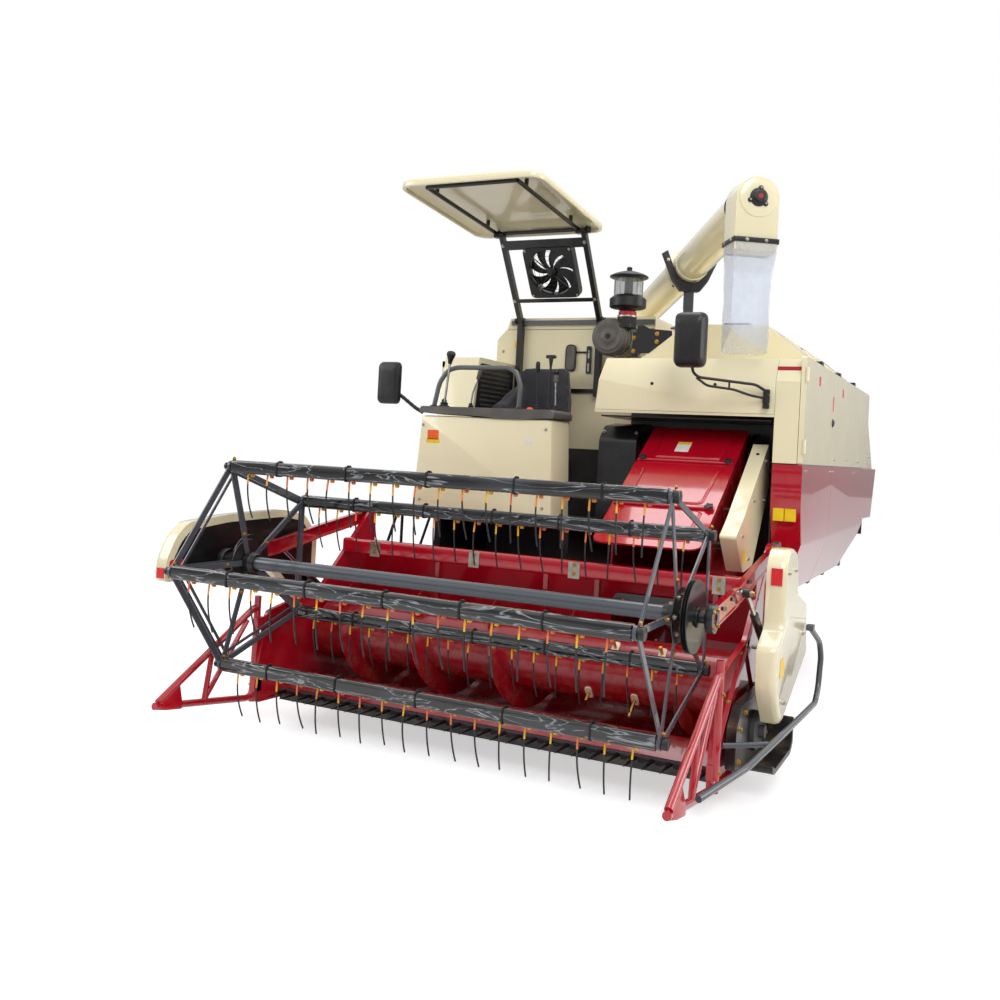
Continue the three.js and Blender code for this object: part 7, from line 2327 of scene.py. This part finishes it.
@dataclass
class Mirrors:
    """The two rear-view mirrors on their arms."""

    def head(self, work: Work, centre: Vector, width: float, height: float, depth: float) -> None:
        """A padded housing with its glass.

        Args:
            work: the piece that it joins.
            centre: the housing's middle.
            width: its size in x.
            height: its size in z.
            depth: its size in y.
        """
        outline = oblong(width, height, min(width, height) * 0.22, 6)
        rings = []
        for share, lift in ((0.55, -0.5), (0.82, -0.44), (0.95, -0.25), (1.0, 0.1), (1.0, 0.36), (0.97, 0.5),
                            (0.9, 0.5)):
            rings.append([centre + Vector((p.x * share, depth * lift, p.y * share)) for p in outline])
        work.loft(rings, Finish.PLASTIC)
        face = [centre + Vector((p.x * 0.88, depth * 0.5 - 0.0005, p.y * 0.92)) for p in outline]
        work.loft([face, [p + Vector((0, 0.0005, 0)) for p in face]], Finish.GLASS)

    def build(self) -> None:
        """Builds both mirrors."""
        right = Work("mirror_on_console")
        route = flowing([(-0.95, -0.752, 1.602), (-1.0, -0.76, 1.628), (-1.07, -0.775, 1.68), (-1.15, -0.79, 1.735)],
                        6)
        right.tube(route, 0.0105, Finish.PLASTIC, 14)
        steps = [(Vector(b) - Vector(a)) for a, b in zip(route, route[1:])]
        for k, (at, way) in enumerate(zip(route, steps)):
            if k % 2 == 0 and k < 14:
                right.lathe([(0, 0.0108), (0.003, 0.0125), (0.006, 0.0108)], at, way, Finish.SATIN, 16)
        self.head(right, Vector((-1.152, -0.815, 1.765)), 0.148, 0.245, 0.038)
        right.done("machine", "black_plastic", "mirror_right", edge=0.0)
        left = Work("mirror_on_hood")
        left.lathe([(1.681, 0.012), (1.682, 0.0175), (1.70, 0.0175), (1.703, 0.0145), (1.712, 0.0185),
                    (1.745, 0.0185),
                    (1.748, 0.015), (1.757, 0.0175), (1.778, 0.0175), (1.779, 0.012)], (1.01, -0.679, 0), (0, 0, 1),
                   Finish.PLASTIC, 24)
        upper = [(1.005, -0.68, 1.771), (0.96, -0.702, 1.800), (0.70, -0.832, 1.822), (0.674, -0.845, 1.845),
                 (0.665, -0.85, 1.905)]
        lower = [(0.995, -0.683, 1.735), (0.94, -0.71, 1.744), (0.86, -0.75, 1.770), (0.74, -0.812, 1.782),
                 (0.69, -0.836, 1.820)]
        left.tube(rounded(upper, 0.02, closed=False), 0.0075, Finish.PLASTIC, 12)
        left.tube(rounded(lower, 0.02, closed=False), 0.0065, Finish.PLASTIC, 12)
        left.bar((0.84, -0.762, 1.811), (0.84, -0.762, 1.773), 0.005, Finish.PLASTIC, 10)
        self.head(left, Vector((0.66, -0.875, 2.006)), 0.158, 0.276, 0.086)
        left.tube(rounded([(0.583, -0.868, 2.07), (0.579, -0.845, 2.06), (0.579, -0.845, 1.95),
                           (0.583, -0.868, 1.94)], 0.01,
                          closed=False), 0.004, Finish.PLASTIC, 10)
        left.done("machine", "black_plastic", "mirror_left", edge=0.0)


@dataclass
class Canopy:
    """The sun roof on its slanting posts, and the fan that hangs behind it."""

    posts: tuple[float, float] = (-0.87, -0.30)
    foot: tuple[float, float] = (0.30, 2.28)
    head: tuple[float, float] = (-0.045, 2.80)
    fan_centre: tuple[float, float, float] = (-0.565, 0.1068, 2.5712)
    roof: tuple[float, float, float, float] = (-1.07, -0.175, -0.975, 0.03)
    roof_pitch: float = 4.6
    blades: int = 8
    blade_steps: int = 7

    def point(self, x: float, share: float) -> Vector:
        """A point on the posts' plane."""
        (y0, z0), (y1, z1) = self.foot, self.head
        return Vector((x, y0 + (y1 - y0) * share, z0 + (z1 - z0) * share))

    def tilt(self) -> Matrix:
        """Turns upright things to lean with the posts, about the fan's centre."""
        angle = math.atan2(self.foot[0] - self.head[0], self.head[1] - self.foot[1])
        return Matrix.Translation(self.fan_centre) @ Matrix.Rotation(angle, 4, "X")

    def pitch(self) -> Matrix:
        """Turns the level roof to its pitch, front edge up, about the posts' heads."""
        pivot = Vector((0, *self.head))
        return Matrix.Translation(pivot) @ Matrix.Rotation(math.radians(-self.roof_pitch), 4, "X") \
            @ Matrix.Translation(-pivot)

    def pitched(self, spot: tuple[float, float, float]) -> Vector:
        """Where a point of the level roof comes to lie."""
        return self.pitch() @ Vector(spot)

    def frame(self) -> None:
        """The posts, cross plates, roof tubes, brackets, knobs and the fan's housing."""
        work = Work("canopy_posts_and_fan_box")
        lean = (self.point(0, 1) - self.point(0, 0)).normalized()
        front = Vector((0, -lean.z, lean.y))
        for x in self.posts:
            work.beam(self.point(x, 0.0), self.point(x, 1.0), 0.0318, 0.0378, Finish.BLACK, up=tuple(front))
            work.box((x - 0.017, 0.286, 1.782), (x + 0.017, 0.3335, 2.305), Finish.BLACK)
            side = -1 if x < -0.5 else 1
            for share in (0.0, 0.985):
                at = self.point(x + side * 0.0158, share)
                work.lathe([(0, 0.026), (0.004, 0.026), (0.005, 0.012), (0.012, 0.012), (0.013, 0.021),
                            (0.024, 0.020),
                            (0.026, 0.014)], at, (side, 0, 0), Finish.PLASTIC, 24)
            tube = [self.pitched((x - 0.04, y, 2.80)) for y in (-0.012, -0.90)]
            work.tube(tube, 0.0128, Finish.BLACK, 14)
            work.box((x - 0.05, -0.056, 2.770), (x + 0.018, -0.014, 2.798), Finish.BLACK)
        x0, x1 = self.posts
        for share, tall in ((0.25, 0.026), (0.87, 0.062)):
            work.beam(self.point(x0, share) + front * 0.0195, self.point(x1, share) + front * 0.0195, tall, 0.006,
                      Finish.BLACK, up=tuple(front))
            for x in (x0, x1):
                work.bolts([(self.point(x, share) + front * 0.0225, tuple(front))], 0.008, Finish.ZINC)
        for y in (-0.90, -0.03):
            work.bar(self.pitched((x0 - 0.04, y, 2.80)), self.pitched((x1 - 0.04, y, 2.80)), 0.0125,
                     Finish.BLACK, 14)
        for x in (x0 - 0.04, x1 - 0.04):
            for y in (-0.79, -0.16):
                work.bar(self.pitched((x, y, 2.80)), self.pitched((x, y, 2.846)), 0.012, Finish.BLACK, 14)
        turn = self.tilt()
        angles = [2 * math.pi * k / 72 for k in range(72)]
        square = [0.172 / (abs(math.cos(a)) ** 14 + abs(math.sin(a)) ** 14) ** (1 / 14) for a in angles]
        outer = [Vector((math.cos(a), math.sin(a))) * size for a, size in zip(angles, square)]
        inner = [Vector((math.cos(a), math.sin(a))) * 0.154 for a in angles]
        rings = []
        for line, depth in ((inner, -0.0295), (outer, -0.0295), (outer, 0.0295), (inner, 0.0295)):
            rings.append([Vector((p.x, depth, p.y)) for p in line])
        work.loft(rings, Finish.SATIN, joined=True, turn=turn)
        for radius in (0.055, 0.085, 0.115, 0.145):
            work.hoop([(-0.0015, radius - 0.0012), (-0.0015, radius + 0.0012), (0.001, radius + 0.0012),
                       (0.001, radius - 0.0012)],
                      turn @ Vector((0, -0.028, 0)), turn.to_3x3() @ Vector((0, -1, 0)), Finish.SATIN, 40)
        for k in range(4):
            angle = math.radians(45 + 90 * k)
            a = turn @ Vector((0.03 * math.cos(angle), -0.026, 0.03 * math.sin(angle)))
            b = turn @ Vector((0.165 * math.cos(angle), -0.026, 0.165 * math.sin(angle)))
            work.bar(a, b, 0.004, Finish.SATIN, 10)
        work.lathe([(-0.002, 0.034), (0.004, 0.035), (0.024, 0.03), (0.0295, 0.02)], turn @ Vector((0, 0, 0)),
                   turn.to_3x3() @ Vector((0, -1, 0)), Finish.PLASTIC, 24)
        for x in (-0.155, 0.155):
            for z in (-0.155, 0.155):
                at = turn @ Vector((x, -0.0295, z))
                work.bolts([(at, turn.to_3x3() @ Vector((0, -1, 0)))], 0.006, Finish.ZINC)
        work.done("machine", "black_paint", "canopy_frame", edge=0.0008)

    def shell(self) -> None:
        """The crowned cream roof, hollow underneath, and the strip round its rim."""
        x0, x1, y0, y1 = self.roof
        work = Work("canopy_shell")
        centre = Vector(((x0 + x1) / 2, (y0 + y1) / 2))
        wide, deep = x1 - x0, y1 - y0
        levels = ((0.996, 2.789), (1.0, 2.793), (1.0, 2.818), (0.995, 2.824), (0.95, 2.838), (0.88, 2.852),
                  (0.75, 2.866), (0.5, 2.8715), (0.25, 2.8738), (0.06, 2.8745))
        under = ((0.968, 2.789), (0.955, 2.808), (0.88, 2.830), (0.74, 2.845), (0.5, 2.850), (0.06, 2.8535))
        rings = []
        for share, z in under[::-1] + levels:
            corner = 0.088 * share + 0.02
            rings.append([Vector((centre.x + p.x, centre.y + p.y, z)) for p in
                          oblong(wide * share - 0.002, deep * share - 0.002, min(corner, wide * share * 0.4), 8)])
        work.loft(rings, Finish.CREAM, turn=self.pitch())
        work.done("machine", "cream_paint", "canopy_roof", edge=0.0015)

    def fan(self) -> None:
        """The eight curved blades on their hub."""
        work = Work("fan_wheel")
        turn = self.tilt()
        axis = turn.to_3x3() @ Vector((0, -1, 0))
        work.lathe([(-0.008, 0.028), (-0.006, 0.03), (0.006, 0.03), (0.008, 0.026)], turn @ Vector((0, 0, 0)), axis,
                   Finish.PLASTIC, 28)
        for k in range(self.blades):
            rings = []
            for j in range(self.blade_steps + 1):
                share = j / self.blade_steps
                radius = 0.026 + 0.122 * j / self.blade_steps
                sweep = math.radians(360 / self.blades * k - 26 * share ** 1.5)
                out = Vector((math.cos(sweep), 0, math.sin(sweep)))
                way = Vector((-math.sin(sweep), 0, math.cos(sweep)))
                chord = 0.014 + 0.52 * radius
                pitch = math.radians(24 - 12 * j / self.blade_steps)
                lean = way * math.cos(pitch) + Vector((0, 1, 0)) * math.sin(pitch)
                flat = way * -math.sin(pitch) + Vector((0, 1, 0)) * math.cos(pitch)
                rings.append([out * radius + lean * chord * u + flat * v
                              for u, v in ((-0.5, 0), (0, 0.0016), (0.5, 0), (0, -0.0004))])
            work.loft(rings, Finish.PLASTIC, turn=turn)
        work.done("fan", "black_plastic", "fan_rotor", edge=0.0)

    def build(self) -> None:
        """Builds the canopy."""
        self.frame()
        self.shell()
        self.fan()


# ------------------------------------------------------------------ undercarriage
@dataclass
class Undercarriage:
    """The two rubber tracks, their frames and rollers, and what joins them."""

    centre_x: float = 0.59
    width: float = 0.42
    belt: float = 0.032
    lug: float = 0.028
    pitch: float = 0.11
    sprocket: tuple[float, float, float] = (-0.33, 0.43, 0.18)
    idler: tuple[float, float, float] = (1.50, 0.25, 0.19)
    front_roller: tuple[float, float, float] = (-0.08, 0.145, 0.085)
    rollers: int = 6
    last_roller: float = 1.18

    def loop(self, grow: float, steps: int = 14) -> list[Vector]:
        """The belt's line in its plane.

        Args:
            grow: how far outside the wheels' faces it lies.
            steps: pieces of each turn.

        Returns:
            Points (y, z) all the way round.
        """
        wheels = (self.sprocket, self.front_roller, self.idler)
        line: list[Vector] = []
        for i, (y0, z0, r0) in enumerate(wheels):
            before, after = wheels[i - 1], wheels[(i + 1) % len(wheels)]
            start = self.tangent(before, wheels[i])
            end = self.tangent(wheels[i], after)
            while end < start:
                end += 2 * math.pi
            count = max(2, round(steps * (end - start) / math.pi))
            for k in range(count + 1):
                angle = start + (end - start) * k / count
                line.append(Vector((y0 + (r0 + grow) * math.cos(angle), z0 + (r0 + grow) * math.sin(angle))))
        return line

    def tangent(self, first: tuple[float, float, float], second: tuple[float, float, float]) -> float:
        """The angle, from a wheel's centre, at which a belt running on to the next wheel leaves it."""
        dy, dz = second[0] - first[0], second[1] - first[1]
        gap = math.hypot(dy, dz)
        return math.atan2(dz, dy) - math.pi / 2 - math.asin((first[2] - second[2]) / gap)

    def along(self, line: list[Vector], distance: float) -> tuple[Vector, Vector]:
        """A place on a closed line and the way it runs there."""
        for a, b in zip(line, line[1:] + line[:1]):
            step = (b - a).length
            if step > 0 and distance <= step:
                return a.lerp(b, distance / step), (b - a).normalized()
            distance -= step
        return line[0], (line[1] - line[0]).normalized()

    def track(self, side: int, name: str) -> None:
        """The moulded belt with its chevron lugs outside and guide teeth inside."""
        work = Work(f"rubber_belt_{name}")
        x = self.centre_x * side
        half = self.width / 2
        inner, outer = self.loop(0.0005), self.loop(self.belt)
        rings = []
        for line, reach in ((inner, half - 0.006), (outer, half - 0.001)):
            for sign in ((-1, 1) if line is inner else (1, -1)):
                rings.append((line, x + sign * reach))
        loft = [[Vector((at, p.x, p.y)) for p in line] for line, at in rings]
        work.loft(loft, Finish.RUBBER, joined=True)
        line = self.loop(self.belt - 0.001, 20)
        total = sum((a - b).length for a, b in zip(line, line[1:] + line[:1]))
        count = round(total / self.pitch)
        spots = []
        for k in range(count):
            at, way = self.along(line, total * k / count)
            out = Vector((way.y, -way.x))
            spots.append((Vector((x, at.x, at.y)), Vector((0, out.x, out.y))))
        work.take(self.lugs(spots, half), Finish.RUBBER)
        inside = self.loop(0.0, 20)
        spots = []
        for k in range(count):
            at, way = self.along(inside, total * (k + 0.5) / count % total)
            out = Vector((-way.y, way.x))
            spots.append((Vector((x, at.x, at.y)), Vector((0, out.x, out.y))))
        work.take(self.guides(spots), Finish.RUBBER)
        work.done("machine", "rubber", f"track_{name}", edge=0.002)

    def lugs(self, spots: Sequence[tuple[Point, Point]], half: float) -> bpy.types.Mesh:
        """The treads, in two staggered rows, grown on the belt's line."""
        pattern = Pattern("treads")
        reach = pattern.size("Half width", half - 0.002)
        height = pattern.size("Lug height", self.lug)
        thick = pattern.size("Lug thickness", 0.034)
        lugs = []
        for sign in (-1, 1):
            size = pattern.node("ShaderNodeCombineXYZ", inputs={"X": reach * 1.02, "Y": thick, "Z": height * 1.9})
            block = pattern.node("GeometryNodeMeshCube", inputs={
                "Size": size, "Vertices X": 3, "Vertices Y": 2, "Vertices Z": 2})
            at = pattern.node("ShaderNodeCombineXYZ", inputs={"X": reach * (0.49 * sign), "Y": thick * (0.42 * sign),
                                                             "Z": 0.0})
            moved = pattern.node("GeometryNodeTransform", inputs={
                0: block, "Translation": at, "Rotation": (0.0, 0.0, 0.10 * sign)})
            lugs.append(moved)
        both = pattern.node("GeometryNodeJoinGeometry", inputs={0: lugs[0]})
        pattern.tree.links.new(lugs[1].outputs[0], both.inputs[0])
        return self.stand_on(pattern, both, Finish.RUBBER, spots)

    def guides(self, spots: Sequence[tuple[Point, Point]]) -> bpy.types.Mesh:
        """The guide teeth inside the belt, grown on its line."""
        pattern = Pattern("guide_teeth")
        tall = pattern.size("Tooth height", 0.045)
        wide = pattern.size("Tooth width", 0.045)
        cone = pattern.node("GeometryNodeMeshCone", inputs={
            "Vertices": 4, "Radius Top": wide * 0.25, "Radius Bottom": wide * 0.62, "Depth": tall})
        turned = pattern.node("GeometryNodeTransform", inputs={0: cone, "Rotation": (0.0, 0.0, math.pi / 4)})
        return self.stand_on(pattern, turned, Finish.RUBBER, spots)

    def stand_on(self, pattern: Pattern, thing: bpy.types.Node, finish: Finish,
                 spots: Sequence[tuple[Point, Point]]) -> bpy.types.Mesh:
        """Puts one thing on each of many spots, facing its way and square to the belt."""
        facing = pattern.node("GeometryNodeInputNamedAttribute", {"data_type": "FLOAT_VECTOR"}, {0: "facing"})
        turn = pattern.node("FunctionNodeAlignRotationToVector", {"axis": "Z", "pivot_axis": "X"}, {"Vector": facing})
        placed = pattern.node("GeometryNodeInstanceOnPoints", inputs={
            "Points": pattern.entry, "Instance": thing, "Rotation": turn})
        return pattern.grow(placed, finish, stands(spots))

    def wheel(self, work: Work, side: int, centre: tuple[float, float, float], teeth: int) -> None:
        """A dished wheel in two flanges, with teeth if it drives.

        Args:
            work: the piece that it joins.
            side: 1 for the machine's left, -1 for its right.
            centre: its (y, z) and radius.
            teeth: how many teeth, or none.
        """
        y, z, radius = centre
        x = self.centre_x * side
        for off in (-0.055, 0.035):
            work.hoop([(off, 0.035), (off, radius * 0.45), (off + 0.004, radius * 0.8), (off, radius - 0.001),
                       (off + 0.02, radius - 0.001), (off + 0.016, radius * 0.8), (off + 0.012, radius * 0.45),
                       (off + 0.02, 0.035)], (x, y, z), (1, 0, 0), Finish.CASTING, 44)
        work.bar((x - 0.075, y, z), (x + 0.075, y, z), 0.045, Finish.CASTING, 28)
        work.lathe([(0, 0.03), (0.012, 0.028), (0.018, 0.018), (0.02, 0.006)], (x + side * 0.073, y, z), (side, 0, 0),
                   Finish.BLACK, 28)
        for k in range(teeth):
            angle = 2 * math.pi * k / teeth
            out = Vector((0, math.cos(angle), math.sin(angle)))
            work.bar((x - 0.05, *(Vector((y, z)) + out.yz * (radius - 0.013))),
                     (x + 0.05, *(Vector((y, z)) + out.yz * (radius - 0.013))), 0.0118, Finish.STEEL, 12)
        for k in range(6):
            angle = 2 * math.pi * k / 6
            at = Vector((x + side * 0.0565, y + 0.075 * math.cos(angle), z + 0.075 * math.sin(angle)))
            work.bolts([(at, (side, 0, 0))], 0.008, Finish.ZINC)

    def frame(self, side: int, name: str) -> None:
        """The track frame: its beam, the wheels in it and the rollers below."""
        work = Work(f"roller_frame_{name}")
        x = self.centre_x * side
        self.wheel(work, side, self.sprocket, 13)
        self.wheel(work, side, self.idler, 0)
        work.prism(rounded([(-0.20, 0.24), (1.36, 0.22), (1.36, 0.305), (0.10, 0.335), (-0.20, 0.335)], 0.02), "x",
                   x - 0.048, x + 0.048, Finish.BLACK)
        work.bar((x - 0.024, 1.33, 0.262), (x - 0.024, 1.50, 0.25), 0.022, Finish.STEEL, 20)
        places = [(self.front_roller[0], self.front_roller[1])]
        places += [(0.14 + (self.last_roller - 0.14) * k / (self.rollers - 1), 0.145) for k in range(self.rollers)]
        for y, z in places:
            for off in (-0.055, 0.035):
                work.lathe([(off, 0.03), (off, 0.0845), (off + 0.02, 0.0845), (off + 0.02, 0.03)], (x, y, z),
                           (1, 0, 0),
                           Finish.CASTING, 32)
            work.bar((x - 0.07, y, z), (x + 0.07, y, z), 0.024, Finish.STEEL, 20)
            work.box((x - 0.046, y - 0.028, z), (x + 0.046, y + 0.028, 0.26), Finish.BLACK)
            work.bolts([((x + side * 0.0465, y, z + 0.055), (side, 0, 0))], 0.007, Finish.ZINC)
        for y in (0.36, 1.0):
            work.box((x - 0.0465, y - 0.03, 0.30), (x + 0.0465, y + 0.03, 0.74), Finish.BLACK)
        work.done("machine", "black_paint", f"track_frame_{name}", edge=0.002)

    def build(self) -> None:
        """Builds the undercarriage."""
        for side, name in ((1, "left"), (-1, "right")):
            self.track(side, name)
            self.frame(side, name)
        repaint("drive_axle", Finish.CASTING)
        repaint("chassis_frame", Finish.BLACK)


# ------------------------------------------------------------------ studio
@dataclass
class Studio:
    """The camera, the white room and its soft lamps."""

    position: tuple[float, float, float] = (2.066, -5.611, 1.407)
    yaw: float = 0.44197
    pitch: float = 0.00631
    roll: float = 0.05169
    focal: float = 979.7
    centre: tuple[float, float] = (533.1, 445.4)
    frame_size: float = 1000.0
    sensor: float = 36.0
    ambient: float = 0.62
    floor_tone: float = 0.74

    def camera(self) -> None:
        """Places the camera."""
        data = bpy.data.cameras.new("camera")
        data.sensor_width = self.sensor
        data.lens = self.sensor * self.focal / self.frame_size
        data.shift_x = -(self.centre[0] - self.frame_size / 2) / self.frame_size
        data.shift_y = (self.centre[1] - self.frame_size / 2) / self.frame_size
        cy, sy, cp, sp = (math.cos(self.yaw), math.sin(self.yaw), math.cos(self.pitch), math.sin(self.pitch))
        forward = Vector((-sy * cp, cy * cp, sp))
        right = Vector((cy, sy, 0))
        up = right.cross(forward)
        cr, sr = math.cos(self.roll), math.sin(self.roll)
        level, plumb = right * cr + up * sr, up * cr - right * sr
        place = Matrix((level, plumb, -forward)).transposed().to_4x4()
        place.translation = Vector(self.position)
        camera = add_object("camera", data)
        camera.matrix_world = place
        bpy.context.scene.camera = camera

    def lamps(self) -> None:
        """Big soft lamps: one above and ahead on the left, a weaker one on the right, one behind."""
        target = Vector((0, -0.4, 1.2))
        for name, at, size, power in (("key", (4.5, -6.5, 7.0), 4.5, 300), ("fill", (-6.0, -4.5, 4.0), 4.0, 110),
                                      ("top", (0.5, 1.0, 8.5), 6.0, 260), ("side", (6.5, 1.5, 3.0), 4.0, 120)):
            light = bpy.data.lights.new(name, "AREA")
            light.shape = "DISK"
            light.size = size
            light.energy = power
            lamp = add_object(name, light)
            lamp.location = at
            lamp.rotation_euler = (Vector(at) - target).to_track_quat("Z", "Y").to_euler()

    def floor(self) -> None:
        """A wide pale floor that meets the white background without a line."""
        shape = bmesh.new()
        bmesh.ops.create_circle(shape, cap_ends=True, segments=64, radius=45.0)
        mesh = bpy.data.meshes.new("studio_floor")
        shape.to_mesh(mesh)
        shape.free()
        material = bpy.data.materials.new("studio_floor")
        material.use_nodes = True
        tree = material.node_tree
        tree.nodes.clear()
        graph = Graph(tree)
        matte = graph.node("ShaderNodeBsdfDiffuse", inputs={"Color": (self.floor_tone,) * 3 + (1.0,)})
        lift = graph.node("ShaderNodeEmission", inputs={"Color": (1, 1, 1, 1),
                                                        "Strength": 1 - self.floor_tone * self.ambient})
        seen = graph.node("ShaderNodeLightPath")
        added = graph.node("ShaderNodeAddShader", inputs={0: matte, 1: lift})
        either = graph.node("ShaderNodeMixShader", inputs={
            0: seen.outputs["Is Camera Ray"], 1: matte, 2: added})
        graph.node("ShaderNodeOutputMaterial", inputs={0: either})
        mesh.materials.append(material)
        ground = add_object("studio_floor", mesh)

    def world(self) -> None:
        """White where it is seen, softer where it lights."""
        world = bpy.data.worlds.new("studio")
        world.use_nodes = True
        world.node_tree.nodes.clear()
        graph = Graph(world.node_tree)
        seen = graph.node("ShaderNodeLightPath")
        shown = Wire(graph.tree, seen.outputs["Is Camera Ray"]).math(
            "MAXIMUM", Wire(graph.tree, seen.outputs["Is Transmission Ray"]))
        way = graph.node("ShaderNodeSeparateXYZ", inputs={0: graph.node("ShaderNodeTexCoord").outputs["Generated"]})
        height = Wire(graph.tree, way.outputs["Z"])
        mirrored = (height * 1.5 + 0.30).math("MINIMUM", 0.95).math("MAXIMUM", 0.22)
        glossy = Wire(graph.tree, seen.outputs["Is Glossy Ray"])
        lit = glossy * (mirrored - self.ambient) + self.ambient
        strength = shown * (lit * -1.0 + 1.0) + lit
        light = graph.node("ShaderNodeBackground", inputs={"Color": (1, 1, 1, 1), "Strength": strength})
        graph.node("ShaderNodeOutputWorld", inputs={0: light})
        bpy.context.scene.world = world
        bpy.context.scene.view_settings.view_transform = "Standard"

    def build(self) -> None:
        """Builds the room."""
        self.camera()
        self.lamps()
        self.floor()
        self.world()


def main() -> None:
    """Builds every sub-assembly and the room round them."""
    logging.basicConfig(level=logging.INFO, format="%(message)s")
    assemblies = (Undercarriage(), Body(), Tank(), Unloader(), Station(), AirCleaner(), Mirrors(), Canopy(),
                  Feeder(), Header(), TableAuger(), ReelArms(), Reel())
    for assembly in assemblies:
        LOG.info("building %s", type(assembly).__name__)
        assembly.build()
    Studio().build()


if __name__ == "__main__":
    main()
